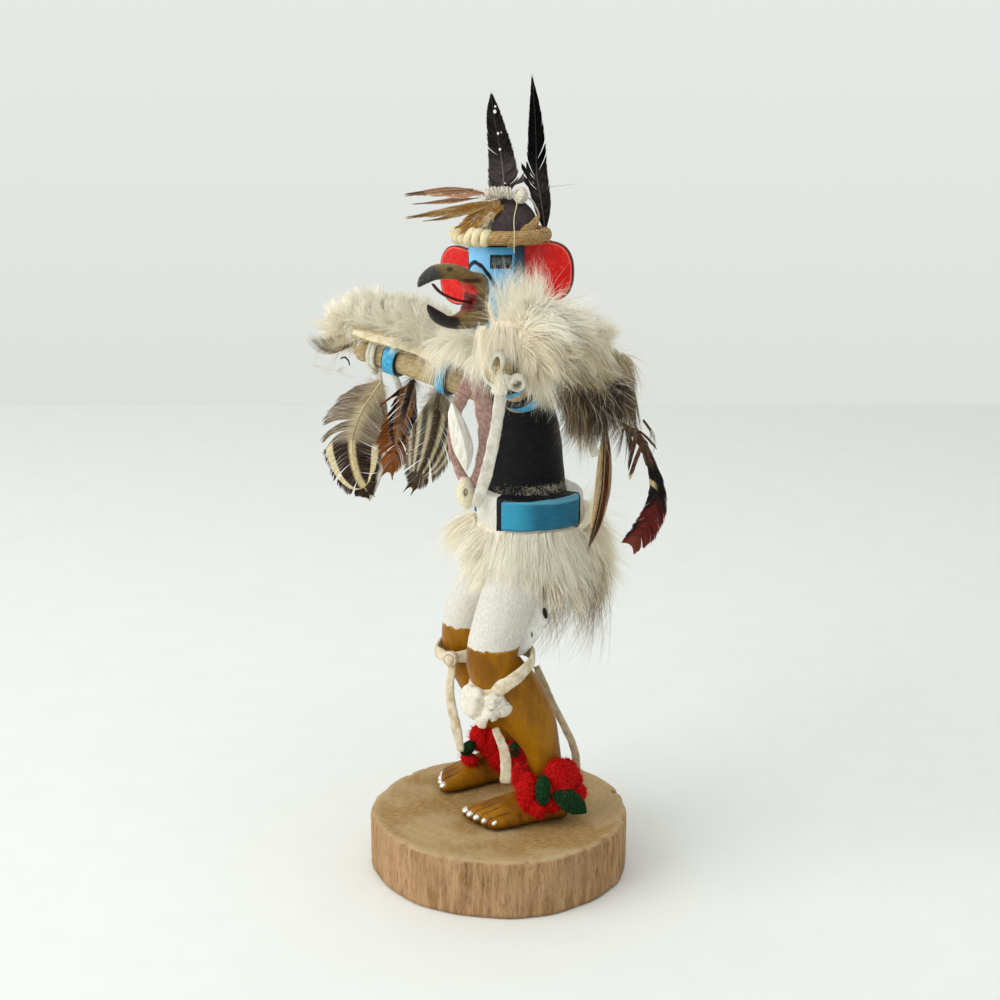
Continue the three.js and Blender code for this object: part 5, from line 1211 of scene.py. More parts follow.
def blue_material():
    m = Mat("blue_leather", rough=0.3, spec=0.55)
    u, v, _ = m.xyz(m.uv())
    n = m.noise(m.pos, .6, 3); n2 = m.noise(m.pos, 3.0, 3, .6)
    c = m.mix(m.ss(n, .36, .66), srgb("2a92bd"), srgb("4fb2da"))
    c = m.mix(m.ss(n2, .56, .72) * .35, c, srgb("1c6a8c"))
    d = m.abs(v - .5)
    c = m.mix(m.ss(d + (n2 - .5) * .02, .150, .166), c, srgb("0f1418"))
    return m.finish(c, m.ss(n2, .3, .7, .22, .42), m.bump(n2 + n, .3, .12))


def arm_band(node, pts, seg, k, mat, wide=4.2, thick=.9, gap=.38):
    rr = np.array(ARM_RAD)
    c = lerp(pts[seg], pts[seg + 1], k); r = lerp(rr[seg], rr[seg + 1], k); t = unit(pts[seg + 1] - pts[seg])
    e1 = unit(A(0, 0, 1) - t[2] * t); e2 = np.cross(t, e1)
    n = 96; w = 2 * math.pi * np.arange(n) / n
    kk = (np.abs(np.cos(w)) ** 2.15 + np.abs(np.sin(w)) ** 2.15) ** (-1 / 2.15)
    ri, ro = r + gap * .2, r + gap + thick
    prof = [(-wide / 2 + .15, ri), (-wide / 2, ri + .25), (-wide / 2, ro - .3), (-wide / 2 + .14, ro - .07), (-wide / 2 + .4, ro), (-wide / 4, ro + .05), (0, ro + .07), (wide / 4, ro + .05), (wide / 2 - .4, ro), (wide / 2 - .14, ro - .07), (wide / 2, ro - .3), (wide / 2, ri + .25), (wide / 2 - .15, ri)]
    rings, vs = [], []
    for i, (a, q) in enumerate(prof):
        off = .12 * vnoise(np.stack([np.cos(w) * 4, np.sin(w) * 4, w * 0 + seg], -1), .5, 141)
        rings.append(c + t * (a + off)[:, None] + e1 * (q * kk * np.cos(w))[:, None] + e2 * (q * kk * np.sin(w))[:, None]); vs.append(i / (len(prof) - 1))
    # closed section: rings loop round to the inside face
    R = np.array(rings); m_ = len(R)
    v = R.reshape(-1, 3); f = grid_faces(m_, n, True, True)
    U = np.tile(np.arange(n) / n, m_); V = np.repeat(vs, n); uv = []
    for q in f:
        us = U[q].copy(); vv = V[q].copy()
        if us.max() - us.min() > .5: us = np.where(us < .5, us + 1, us)
        if vv.max() - vv.min() > .5: vv = np.where(vv > .5, 0.0, vv)
        uv += list(zip(np.minimum(us, 1.0), vv))
    return place(make(node + "_leather", v, f, mat, uv=uv), "blue_leather", node)


carved = arm_wood()
build_arm("right", ARM_R, carved); build_arm("left", ARM_L, carved)
blue = blue_material()
arm_band("armband_left_upper", ARM_L, 2, .22, blue, 9.5, 1.5); arm_band("armband_left_wrist", ARM_L, 3, .7, blue)
arm_band("armband_right_upper", ARM_R, 2, .05, blue, 4.4); arm_band("armband_right_wrist", ARM_R, 3, .85, blue, 5.2)


def curl(c, a, b, ra, rb, half, thick, seed, lean=0.0):
    """a closed loop of thong in the plane of a and b"""
    w = 2 * math.pi * np.arange(10) / 10; nrm = unit(np.cross(a, b))
    p = [A(*c) + a * (ra * math.cos(q)) + b * (rb * math.sin(q)) + nrm * lean * math.sin(q) for q in w]
    rows = [[*q, half] for q in p]; nr = np.array([unit(q - A(*c)) for q in p])
    return strap(rows, nr, thick, 72, 12, seed, .1, .06, closed=True)


nap_mat = hair_mat("white_nap", ["b8b2a2", "dcd8cc", "f2f0e8"])


def build_hand_ties():
    for name, pts in (("right", ARM_R), ("left", ARM_L)):
        t = unit(pts[5] - pts[4]); c = pts[5] + t * .6; e1 = unit(A(0, 0, 1) - t[2] * t); e2 = np.cross(t, e1)
        parts = []
        for k, off in enumerate((-.75, .75)):
            parts.append(curl(c + t * off, e1, e2, 5.05, 5.05, .8, .95, 150 + k, .4))
        kn = c - e1 * 5.9
        parts.append(egg(kn, (2.0, 1.8, 1.5), e2, e1, 22, 14)); parts.append(curl(kn, e2, unit(t + e1 * .4), 1.9, 1.5, .75, .9, 152, .2))
        if name == "right":
            # bow loop that stands off the wrist towards the fist, and a second short end
            kp = A(-47.0, -29.4, 160.6)
            parts.append(curl(A(-47.6, -30.6, 166.6), unit(A(-.25, -.95, .1)), A(0, 0, 1), 1.5, 2.3, .95, 1.1, 153, .3))
            parts.append(strap([[*A(-43.4, -22.4, 160.0), 1.0], [*A(-41.6, -20.6, 154.6), 1.05], [*A(-40.4, -19.8, 149.4), .8]], CAM_FACE, .8, 36, 12, 154))
            parts.append(strap([[*A(-44.9, -25.6, 160.2), 1.2], [*A(-45.2, -26.2, 158.2), 1.25]], A(.6, -.8, 0), .95, 12, 12, 155))
        else:
            parts.append(curl(A(41.8, -16.3, 174.8), unit(A(.36, .93, -.25)), unit(A(0, .2, 1)), 1.6, 2.9, 1.5, 1.35, 156, .9))
            parts.append(curl(A(43.6, -10.8, 169.2), unit(A(.36, .93, .35)), unit(A(0, -.3, 1)), 1.9, 1.8, 1.4, 1.3, 157, .8))
            parts.append(egg(A(42.6, -14.0, 170.2), (2.2, 1.6, 1.8), A(.36, .93, 0), A(0, 0, 1), 22, 14))
            parts.append(strap([[*A(42.0, -14.4, 170.6), 1.5], [*A(39.6, -14.0, 167.6), 1.7], [*A(36.9, -13.3, 164.9), 1.8]], CAM_FACE, 1.0, 30, 14, 158))
        v, f = merge(parts)
        place(make("hand_tie_%s_hide" % name, v, f, white_hide), "white_hide", "hand_tie_" + name)
        join_ribbons("hand_tie_%s_nap" % name, [fuzz(v, tri_list(f), 900, .9, .07, 166, .8)], nap_mat, "white_hide")


build_hand_ties()

# ------------------------------------------------------------------ belt leathers and chest pendants
def build_belt(side):
    a0, a1 = (-.86, .575) if side > 0 else (math.pi + .86, math.pi - .575)
    n = 110; w = np.linspace(a0, a1, n); u = np.arange(n) / (n - 1)
    cw, sw = np.cos(w), np.sin(w); k = (np.abs(cw) ** 2.3 + np.abs(sw) ** 2.3) ** (-1 / 2.3)
    z0 = 116 + .5 * u + .12 * vnoise(np.stack([u * 9, u * 0, u * 0], -1), 1.0, 161); z1 = 125.0 + 1.4 * u + .12 * vnoise(np.stack([u * 9, u * 0 + 4, u * 0], -1), 1.0, 162)
    T = 1.35
    prof = []
    for t in np.linspace(0, 1, 34):
        ez = (t - .5) * 2; prof.append((.3 + T - .28 * max(0, abs(ez) - .9) / .1 * 1.0, t))
    prof = prof + [(.3 + .7, 1.0), (.3 + .15, 1.0)] + [(.3, t) for t in np.linspace(.98, .02, 6)] + [(.3 + .15, 0.0), (.3 + .7, 0.0)]
    V, P = [], []
    for i, (r, t) in enumerate(prof):
        zz = lerp(z0, z1, t); rr = r + (0.07 * vnoise(np.stack([u * 14, zz * .3, u * 0], -1), 1.0, 163, 2) if i < 34 else 0)
        x = HIPX + (HAX + rr) * k * cw; y = HIPY + (HAY + rr) * k * sw
        V.append(np.stack([x, y, zz], -1))
    R = np.array(V).transpose(1, 0, 2)          # n along, section closed
    if side < 0: R = R[:, ::-1]
    v, f = loft(R, True, False)
    o = make("belt_patch_%s_leather" % ("left" if side > 0 else "right"), v, f, belt_mat)
    return place(o, "blue_leather", "belt_patch_" + ("left" if side > 0 else "right"))


def belt_material():
    m = Mat("belt_leather", rough=0.3, spec=0.5)
    x, y, z = m.xyz()
    sa = m.math("ARCTAN2", (y - 11.5) * (1 / 16.4), m.abs(x + 4.0) * (1 / 17.0)); ang = m.abs(sa - .12)
    n = m.noise(m.stretch(m.pos, (.25, .25, 1.2)), 1.0, 4, .6); n2 = m.noise(m.pos, 2.6, 4, .65)
    c = m.mix(m.ss(n, .36, .66), srgb("0b5f7c"), srgb("126e8d"))
    # lighter towards both ends, darker in the middle: partly the leather's own tone, partly painted shading
    c = m.mix(m.ss(ang, .30, .72) * .85, c, srgb("2f97b8"))
    c = m.mix(m.ss(n2, .55, .72) * .14, c, srgb("0d4f66"))
    # painted highlight along the top edge
    c = m.mix(m.ss(z - ang * 0.8, 124.0, 124.9) * .55, c, srgb("7cc6dc"))
    # painted shade along the lower edge
    c = m.mix(m.ss(z, 116.0, 117.2, 1.0, 0.0) * .5, c, srgb("0f4257"))
    return m.finish(c, m.ss(n2, .3, .7, .22, .40), m.bump(n + n2 * .6, .3, .12))


belt_mat = belt_material()
build_belt(1); build_belt(-1)


def build_pendants():
    suede = Mat("pink_suede", rough=0.95, spec=0.15)
    n1 = suede.noise(suede.pos, .9, 4, .65); n2 = suede.noise(suede.pos, 3.2, 4, .7)
    c = suede.mix(suede.ss(n1, .38, .64), srgb("a8837a"), srgb("c9a79c"))
    c = suede.mix(suede.ss(n2, .52, .70) * .6, c, srgb("7d5a52"))
    suede.finish(c, None, suede.bump(n2 + n1 * .5, .6, .25))
    loop = [(-1.2, -8.2, 162), (-3.6, -12.6, 154), (-4.4, -14.4, 144.5), (-3.4, -13.2, 135), (-.6, -9.8, 129.2), (.6, -7.4, 134), (1.6, -5.8, 143), (1.4, -5.4, 152)]
    halfs = [2.6, 2.1, 1.5, 1.4, 1.6, 1.5, 1.9, 2.9]
    v, f = strap([[*p, h] for p, h in zip(loop, halfs)], CAM_FACE, 1.1, 150, 16, 171, .16, .22, closed=True)
    place(make("suede_loop_leather", v, f, suede.mat), "suede", "suede_loop")
    hm = hair_mat("suede_fuzz", ["7a564e", "b38e84", "d6b8ae"])
    join_ribbons("suede_loop_nap", [fuzz(v, tri_list(f), 3200, .85, .11, 172, .8)], hm, "suede")
    # ridged, pointed shell
    rows = np.array([(.8, -16.1, 155.8, .4, .3), (1.4, -15.6, 152.4, 2.1, .8), (2.4, -14.3, 146.6, 3.2, 1.15), (2.6, -13, 141.4, 3.3, 1.15), (2.2, -12.2, 137.2, 1.9, .8), (2, -12, 134.2, .3, .3)])
    s = smooth_rows(rows, 70); p = s[:, :3]
    t, e1, e2 = frames(p, CAM_FACE)           # e1 outward, e2 across
    sec = [(-1, 0), (-.8, .42), (-.45, .72), (-.1, .92), (.12, 1.08), (.22, 1.15), (.30, 1.05), (.5, .78), (.8, .38), (1, 0), (.75, -.5), (0, -.75), (-.75, -.5)]
    R = []
    wide = np.sqrt(np.clip(1 - (np.linspace(-1, 1, len(p))) ** 2, 0, 1))
    for i in range(len(p)):
        a, b = max(s[i, 3], .12), max(s[i, 4], .12)
        R.append([p[i] - e2[i] * (q * a) + e1[i] * (h * b * 1.15) for q, h in sec])
    R = np.array(R)
    v, f = loft(R, True)
    shell = Mat("shell", rough=0.14, spec=0.6)
    n = shell.noise(shell.stretch(shell.pos, (1, 1, .3)), .9, 3)
    c = shell.mix(shell.ss(n, .38, .62), srgb("f4f1e8"), srgb("e3dccb"))
    shell.finish(c, shell.ss(n, .3, .7, .10, .24), shell.bump(n, .25, .1))
    o = make("ridged_shell", v, f, shell.mat, smooth=False)
    sub = o.modifiers.new("s", "SUBSURF"); sub.levels = 1; sub.render_levels = 1
    settle(o); place(o, "shell", "shell_pendant")
    # bead with its hole, darkened as painted shade
    rows = [(-.4, -11.6, 131.2, 1.6, 1.2), (-.2, -11.6, 128.6, 2.6, 2.1), (.2, -11.4, 125.2, 2.9, 2.3), (.6, -11, 122.4, 1.6, 1.3)]
    v, f = tube(round_ends(rows, 4, .6), 48, 60, (.342, .94, 0))
    bead = Mat("cream_bead", rough=0.5, spec=0.4)
    x, y, z = bead.xyz(); q = bead.vec("LENGTH", bead.cmb((y + 12.1) * (1 / .95) + (x - 2.0) * .3, (z - 127.4) * (1 / 1.55), 0.0))
    n = bead.noise(bead.pos, 1.4, 4, .6)
    c = bead.mix(bead.ss(n, .35, .66), srgb("d6cba8"), srgb("ece4c8"))
    c = bead.mix(bead.ss(n, .6, .74) * .5, c, srgb("a89a70"))
    # painted shade: the pushed-in hole on the front is coloured dark
    front = bead.ss(x, 1.0, 1.8)
    c = bead.mix(bead.ss(q, .55, .95, 1.0, 0.0) * front, c, srgb("3a3522"))
    bead.finish(c, None, bead.bump(n, .4, .2))
    o = make("bead_drop", v, f, bead.mat)

    def hole(v, n):
        q = np.sqrt(((v[:, 1] + 12.1) / .95 + (v[:, 0] - 2.0) * .3) ** 2 + ((v[:, 2] - 127.4) / 1.55) ** 2)
        return -1.3 * (1 - sstep(.35, .95, q)) * sstep(1.0, 1.8, v[:, 0]) + .08 * vnoise(v, 1.1, 175, 2)
    push(o, hole); place(o, "cream_bead", "bead_pendant")


build_pendants()

# ------------------------------------------------------------------ knee thongs and rattle
def build_knees():
    tl = [(12.2, -13.8, 65.6), (18.6, -9, 67.4), (21.8, -3, 71.6), (19, 3.6, 75.4), (12.2, 5.6, 76.6), (4.6, 3, 75), (2.4, -3.6, 71.4), (5.6, -10.8, 67.2)]
    tr = [(-21, -14.4, 67.6), (-14.4, -11, 67.6), (-11.6, -3.4, 69), (-14, 4.6, 70.6), (-21, 7.4, 71), (-28, 4.4, 70.6), (-30.6, -3.4, 69), (-27.4, -11, 68)]
    hm = hair_mat("hide_fuzz", ["a8977a", "d8ccb2", "f0e8d6"])
    for name, pts, c, half, th, seed in (("left", tl, (12.2, -3), 2.2, 1.45, 181), ("right", tr, (-21.3, -3), 2.1, 1.4, 185)):
        nr = np.array([unit(A(p[0] - c[0], p[1] - c[1], 0)) for p in pts])
        hs = [half * (1 + .16 * math.sin(2.3 * i + seed)) for i in range(len(pts))]
        v, f = strap([[*p, h] for p, h in zip(pts, hs)], nr, th, 170, 16, seed, .14, .18, closed=True)
        parts = [(v, f)]
        if name == "right":
            # small overhand knot at the front
            k = A(-12.6, -12.6, 67.6)
            parts += [egg(k, (1.9, 2.3, 2.0), (.6, -.8, 0), (0, 0, 1), 22, 14), curl(k + A(.4, -.2, .4), unit(A(.8, .6, .2)), A(0, 0, 1), 2.3, 2.2, .9, .9, 187, .3)]
        else:
            parts += [strap([[*A(12.0, -14.0, 67.4), 1.2], [*A(15.4, -12.6, 65.4), 1.5], [*A(18.4, -9.6, 66.6), 1.7]], A(.5, -.86, 0), 1.0, 30, 12, 189)]
        v, f = merge(parts)
        place(make("knee_tie_%s_hide" % name, v, f, cream_hide), "rawhide", "knee_tie_" + name)
        join_ribbons("knee_tie_%s_nap" % name, [fuzz(v, tri_list(f), 1500, .8, .09, seed + 1, .7)], hm, "rawhide")
    # hide fuzz along the hanging thongs and strips
    sets = [fuzz(v, tri_list(f), 500, .7, .08, 190 + i, .7) for i, (o, v, f) in enumerate(strips.values())]
    join_ribbons("thong_nap", sets, hm, "rawhide")

    parts = [egg([13.0, -13.2, 62.2], [4.0, 4.2, 6.4], (1, 0, 0), (0, 1, .2), 36, 24), egg([14.6, -12.0, 65.6], [3.2, 3.2, 3.0], (1, 0, 0), (0, 1, 0), 24, 16),
             egg([18.6, -8.6, 63.8], [3.4, 3.6, 3.2], (1, 0, 0), (0, 1, 0), 28, 18), egg([18.0, -5.9, 61.2], [3.4, 3.3, 3.2], (1, 0, 0), (0, 1, 0), 28, 18),
             egg([17.2, -9.6, 59.6], [3.1, 3.2, 3.0], (1, 0, 0), (0, 1, 0), 28, 18), egg([16.4, -11.8, 56.8], [2.3, 2.6, 1.9], (.34, .94, 0), (0, 0, 1), 24, 16)]
    m = Mat("rawhide_rattle", rough=0.6, spec=0.35)
    x, y, z = m.xyz()
    n1 = m.noise(m.pos, .7, 4, .6); n2 = m.noise(m.pos, 1.9, 3, .6)
    c = m.mix(m.ss(n1, .36, .66), srgb("dbd4c0"), srgb("f1ecdf"))
    c = m.mix(m.ss(n1, .55, .7) * .5, c, srgb("c4b492"))
    rough_side = m.ss(y * .94 + x * .342, -5.2, -3.2)
    specks = m.ss(m.vor(m.pos, 1.15), .10, .44, 1.0, 0.0) * m.ss(n1 + n2 * .6, .78, .88)
    c = m.mix(specks * rough_side * .72, c, srgb("5d4a34"))
    c = m.mix(m.ss(z, 55.0, 58.8, 1.0, 0.0) * .55, c, srgb("dcb9a6"))
    m.finish(c, None, m.bump(n2 + n1, .5, .25))
    o = fuse("rawhide_rattle", parts, .34, m.mat, smooth=2, factor=.4)

    def relief(v, n):
        u = v[:, 0] * .342 + v[:, 1] * .94
        rs = sstep(-6.4, -3.4, u)
        folds = 0.5 * np.sin(1.55 * (v[:, 0] * .5 - v[:, 1] * .9 + 1.1 * vnoise(v, .22, 191)) * 1.2) * (1 - rs) * sstep(57, 60, v[:, 2])
        pits = -1.05 * sstep(.04, .34, vnoise(v, .78, 193)) * rs + .2 * vnoise(v, 1.6, 194, 2) * rs
        return folds + pits + .05 * vnoise(v, 1.4, 195, 2)
    push(o, relief); place(o, "rawhide", "rattle")


build_knees()

# ------------------------------------------------------------------ red yarn anklets with green bundles
def build_anklets():
    wool = Mat("red_wool", rough=0.95, spec=0.12)
    n1 = wool.noise(wool.pos, 1.1, 4, .65); n2 = wool.noise(wool.pos, 4.0, 3, .7)
    c = wool.mix(wool.ss(n1, .36, .66), srgb("a5090b"), srgb("cf1a17"))
    c = wool.mix(wool.ss(n2, .55, .72) * .5, c, srgb("6d0508"))
    wool.finish(c, None, wool.bump(n2 + n1, .6, .25))
    green = Mat("green_wool", rough=0.9, spec=0.15)
    g1 = green.noise(green.stretch(green.pos, (1, 1, .35)), 2.4, 4, .65)
    c = green.mix(green.ss(g1, .34, .66), srgb("0c1f0f"), srgb("1d4423"))
    c = green.mix(green.ss(g1, .66, .74) * .55, c, srgb("7f9a78"))
    green.finish(c, None, green.bump(g1, .6, .25))
    hr = hair_mat("red_fuzz", ["9c0a0b", "d21a18", "f0483c"], .95, 1.1)
    hg = hair_mat("green_fuzz", ["0c1f0f", "1c4020", "6a8a64"], .9, 1.1)

    def petal(c, out, up, r, seed):
        """a ruffled bunch: flat across the leg's face, torn at its rim"""
        c, out, up = A(*c), unit(A(*out)), A(*up)
        v, f = egg(c, r, out, up, 44, 26)
        q = v[tri_list(f)] - c
        if np.einsum("ij,ij->i", q[:, 0], np.cross(q[:, 1], q[:, 2])).sum() < 0:
            f = [tuple(k[::-1]) for k in f]
        d = v - c; rim = np.linalg.norm(d / max(r), axis=1)
        v = v + unit(d) * (0.55 * vnoise(v, .42, seed, 2) + .28 * vnoise(v, 1.3, seed + 1, 2))[:, None] * (0.4 + rim)[:, None]
        return v, f

    def ring(c, r, tube_r, seed):
        a = 2 * math.pi * np.arange(120) / 120
        p = np.stack([c[0] + r * np.cos(a), c[1] + r * np.sin(a), c[2] + .5 * np.sin(3 * a + seed)], -1)
        tt = tube_r * (1 + .22 * np.sin(7 * a + seed) + .12 * np.sin(13 * a))
        return tube(np.column_stack([p, tt, tt * 1.2]), 22, 0, (0, 0, 1), closed=True, smooth=False, wobble=.12, seed=seed)

    L, R = (12.7, 12.4, 32.2), (-22.5, 9, 31.6)
    left = [ring(L, 7.6, 2.0, 201),
            petal((17.2, 2.9, 31.0), (.86, -.5, .1), (0, 0, 1), (2.6, 6.6, 3.6), 202), petal((19.2, 5.4, 25.4), (.9, -.4, -.1), (0, 0, 1), (2.2, 3.4, 3.2), 203),
            petal((19.0, 13.0, 36.4), (.94, .1, .3), (0, 0, 1), (2.7, 4.9, 4.9), 204), petal((17.4, 18.2, 33.6), (.7, .7, .1), (0, 0, 1), (2.4, 4.2, 3.8), 205),
            petal((19.0, 20.2, 28.0), (.8, .5, -.1), (0, 0, 1), (2.0, 3.4, 3.2), 206), petal((19.6, 10.6, 27.0), (.94, -.2, -.1), (0, 0, 1), (2.0, 3.6, 3.4), 207),
            petal((11.6, 2.4, 33.6), (0, -1, .1), (0, 0, 1), (2.4, 4.4, 4.2), 208), petal((4.8, 10.6, 32.6), (-1, -.2, .1), (0, 0, 1), (2.4, 4.4, 4.2), 209),
            petal((8.6, 20.6, 32.0), (-.4, .9, .1), (0, 0, 1), (2.3, 4.2, 4.2), 210)]
    right = [ring(R, 7.4, 2.0, 221),
             petal((-17.6, 2.8, 34.0), (.6, -.75, .2), (0, 0, 1), (2.6, 5.0, 4.4), 222), petal((-20.2, -.4, 35.6), (.2, -1, .2), (0, 0, 1), (2.4, 4.4, 4.0), 223),
             petal((-19.0, -4.2, 28.6), (.3, -1, -.2), (1, .2, 0), (2.4, 3.6, 1.9), 224), petal((-15.2, 5.6, 28.2), (.9, -.2, -.2), (0, 0, 1), (2.2, 4.2, 4.0), 225),
             petal((-15.0, 12.8, 28.0), (.9, .5, -.1), (0, 0, 1), (2.2, 4.2, 4.2), 226), petal((-27.6, 2.4, 32.0), (-.7, -.7, 0), (0, 0, 1), (2.3, 4.2, 4.2), 227),
             petal((-30.2, 10.8, 31.6), (-1, .1, 0), (0, 0, 1), (2.3, 4.2, 4.2), 228), petal((-24.6, 16.8, 31.4), (-.2, 1, 0), (0, 0, 1), (2.3, 4.2, 4.2), 229)]
    for name, parts, seed in (("left", left, 231), ("right", right, 236)):
        v, f = merge(parts)
        place(make("anklet_%s_wool" % name, v, f, wool.mat), "red_yarn", "anklet_" + name)
        join_ribbons("anklet_%s_fuzz" % name, [fuzz(v, tri_list(f), 6500, 2.0, .15, seed, 1.1, .8, K=3)], hr, "red_yarn")

    leaves = {
        "anklet_leaf_left_front": [egg((21.6, 6.7, 32.6), (1.9, 2.5, 5.3), CAM_FACE, (.342, .94, 0), 28, 20)],
        "anklet_leaf_left_back": [],
        "anklet_leaf_right_front": [egg((-18.0, -5.0, 33.2), (3.2, 1.9, 2.3), (.3, -.9, -.5), (1, .3, 0), 24, 16)],
        "anklet_leaf_right_inner": [egg((-13.4, 10.0, 32.2), (1.6, 2.0, 3.0), (1, -.2, 0), (.2, 1, 0), 24, 16)]}
    # a flat pointed leaf
    leaf_rows = [[22.2, 9.8, 31.2, .9], [23.4, 12.7, 30.0, 3.1], [23.8, 15.6, 28.0, 3.5], [23.6, 18.6, 25.6, 2.6], [23.8, 20.8, 23.6, .3]]
    leaves["anklet_leaf_left_back"].append(strap(leaf_rows, A(.94, -.1, .3), 1.5, 50, 18, 241, .06, .15, power=2.2))
    for k, (node, parts) in enumerate(leaves.items()):
        v, f = merge(parts)
        v = v + (0.16 * vnoise(v * A(1.4, 1.4, .4), 1, 242 + k, 2))[:, None] * CAM_FACE
        place(make(node + "_wool", v, f, green.mat), "green_yarn", node)
        join_ribbons(node + "_fuzz", [fuzz(v, tri_list(f), 700, .8, .10, 250 + k, .7)], hg, "green_yarn")


build_anklets()

# ------------------------------------------------------------------ feathers: a quill and separate barbs
def plume(name, rows, nrm, mat, slot, node, n_barb=190, sweep=0.13, K=6, gaps=(), tufts=(), seed=1, cup=0.05, ragged=0.06, quill=0.28, start=0.02, stop=0.985, bow=0.0, thick=1.9, down=0, down_len=5.0, loose=0.0, wave=0.0):
    """rows (x, y, z, half width) from root to tip; nrm is the way the vane faces"""
    rng = RNG(seed)
    r = np.array(rows, float); M = 200
    s = smooth_rows(r, M); c, h = s[:, :3], np.maximum(s[:, 3], .05)
    t, e1, e2 = frames(c, nrm)
    seg = np.linalg.norm(np.diff(c, axis=0), axis=1); run = np.concatenate([[0], np.cumsum(seg)]); total = run[-1]; T = run / total
    hmax = h.max()

    def at(arr, q):
        return np.stack([np.interp(q, T, arr[:, k]) for k in range(3)], -1)
    sets = []
    u = np.linspace(0, 1, K + 1)[None] ** 1.0
    for side in (1, -1):
        tr = np.linspace(start, stop, n_barb) + rng.normal(0, .15 / n_barb, n_barb)
        sw = sweep * (1 - .75 * tr ** 3)
        tt = tr + sw
        tt = tt + .012 * vnoise(np.stack([tr * 30, tr * 0 + side * 7 + seed, tr * 0], -1), 1.0, seed, 2)
        ln = 1 + ragged * vnoise(np.stack([tr * 42, tr * 0 + side * 3 + seed, tr * 0], -1), 1.0, seed + 1, 2) + rng.normal(0, loose, n_barb)
        for gs, tc, gw, am in gaps:
            if gs == side or gs == 0:
                tt = tt + am * np.sign(tr - tc) * np.exp(-np.abs(tr - tc) / gw)
        for gs, ta, tb, am, dl in tufts:
            if gs == side:
                m_ = (tr > ta) & (tr < tb); ln = np.where(m_, ln * am, ln); tt = np.where(m_, tt + dl, tt)
        tq = np.minimum(tt, .999)
        over = np.maximum(tt - .999, 0) * total
        hh = np.interp(tq, T, h) * ln
        U = u
        tu = tr[:, None] + (tq - tr)[:, None] * U ** 1.25
        lat = hh[:, None] * (1 - (1 - U) ** 1.15)
        P = at(c, tu.ravel()).reshape(n_barb, K + 1, 3) + side * at(e2, tu.ravel()).reshape(n_barb, K + 1, 3) * lat[..., None]
        up = at(e1, tu.ravel()).reshape(n_barb, K + 1, 3)
        P = P + up * (cup * lat ** 1.4 * (-1 if bow >= 0 else 1) + .10)[..., None] + at(t, tq)[:, None] * (over[:, None] * U ** 2)[..., None]
        if wave:
            P = P + (vnoise3(P, .5, seed + 5) * wave) * (U ** 1.5)[..., None]
        # ribbon: side vector along the quill so neighbours meet
        gap = total / n_barb * thick
        tv = at(t, tu.ravel()).reshape(n_barb, K + 1, 3)
        near = np.empty_like(P); near[1:-1] = P[2:] - P[:-2]; near[0] = P[1] - P[0]; near[-1] = P[-1] - P[-2]
        reach = np.linalg.norm(near, axis=2, keepdims=True) * .5; reach[0] *= 2; reach[-1] *= 2
        dirn = unit(near + tv * .02 * total / n_barb)
        wdt = np.clip(reach * .64, gap * .30, gap * 1.15)[:, :-1]
        L = P[:, :-1] - dirn[:, :-1] * wdt; R = P[:, :-1] + dirn[:, :-1] * wdt
        tilt = up[:, :-1] * (.06 * rng.normal(0, 1, (n_barb, 1, 1)))
        L = L + tilt; R = R - tilt
        V = np.empty((n_barb, 2 * K + 1, 3)); V[:, 0:2 * K:2] = L; V[:, 1:2 * K:2] = R; V[:, -1] = P[:, -1]
        uu = .5 + .5 * side * np.clip(lat / (hmax * 1.12), 0, 1)
        dv = gap * .5 / total
        W = np.empty((n_barb, 2 * K + 1, 2)); W[:, 0:2 * K:2, 0] = uu[:, :-1]; W[:, 1:2 * K:2, 0] = uu[:, :-1]; W[:, -1, 0] = uu[:, -1]
        W[:, 0:2 * K:2, 1] = tu[:, :-1] - dv; W[:, 1:2 * K:2, 1] = tu[:, :-1] + dv; W[:, -1, 1] = tu[:, -1]
        tris = []
        for k in range(K - 1):
            a, b, c_, d = 2 * k, 2 * k + 1, 2 * k + 3, 2 * k + 2
            tris += [(a, b, c_), (a, c_, d)]
        tris.append((2 * K - 2, 2 * K - 1, 2 * K)); Tt = np.array(tris)
        if side > 0: Tt = Tt[:, ::-1]
        F = (Tt[None] + (np.arange(n_barb) * V.shape[1])[:, None, None]).reshape(-1, 3)
        sets.append((V.reshape(-1, 3), F, np.clip(W.reshape(-1, 2), .002, .998)[F.reshape(-1)]))
    # quill
    qr = quill * (1 - .82 * T[::4]) + .03
    qv, qf = tube(np.column_stack([c[::4] + e1[::4] * .12, qr, qr * .8]), 8, 0, nrm, smooth=False)
    qf = tri_list(qf)
    quv = np.zeros((len(qv), 2)); quv[:, 0] = .5 + .004 * np.sin(np.arange(len(qv))); quv[:-2, 1] = np.repeat(T[::4], 8)[:len(qv) - 2]; quv[-2:, 1] = (0.003, .997)
    sets.append((qv, qf, np.clip(quv, .002, .998)[qf.reshape(-1)]))
    if down:
        k = rng.integers(0, int(M * .22), down); p0 = c[k]; sd = rng.choice([-1, 1], down)
        d0 = unit(e2[k] * sd[:, None] + t[k] * rng.uniform(.1, 1.0, down)[:, None] + e1[k] * rng.normal(0, .35, down)[:, None])
        P = bunch_paths(p0, d0, down_len * rng.uniform(.5, 1.2, down), np.full(down, .2), rng, 5, .30)
        dv, df, du = ribbons(P, np.full(down, .11), e1[k], rng.uniform(.35, .65, down), roll=rng.uniform(-.6, .6, down))
        du = du.copy(); du[:, 1] = .02 + .10 * du[:, 1]; du[:, 0] = .5 + (du[:, 0] - .5) * .9
        sets.append((dv, df, du))
    return join_ribbons(name, sets, mat, slot, *([node] if node else []))


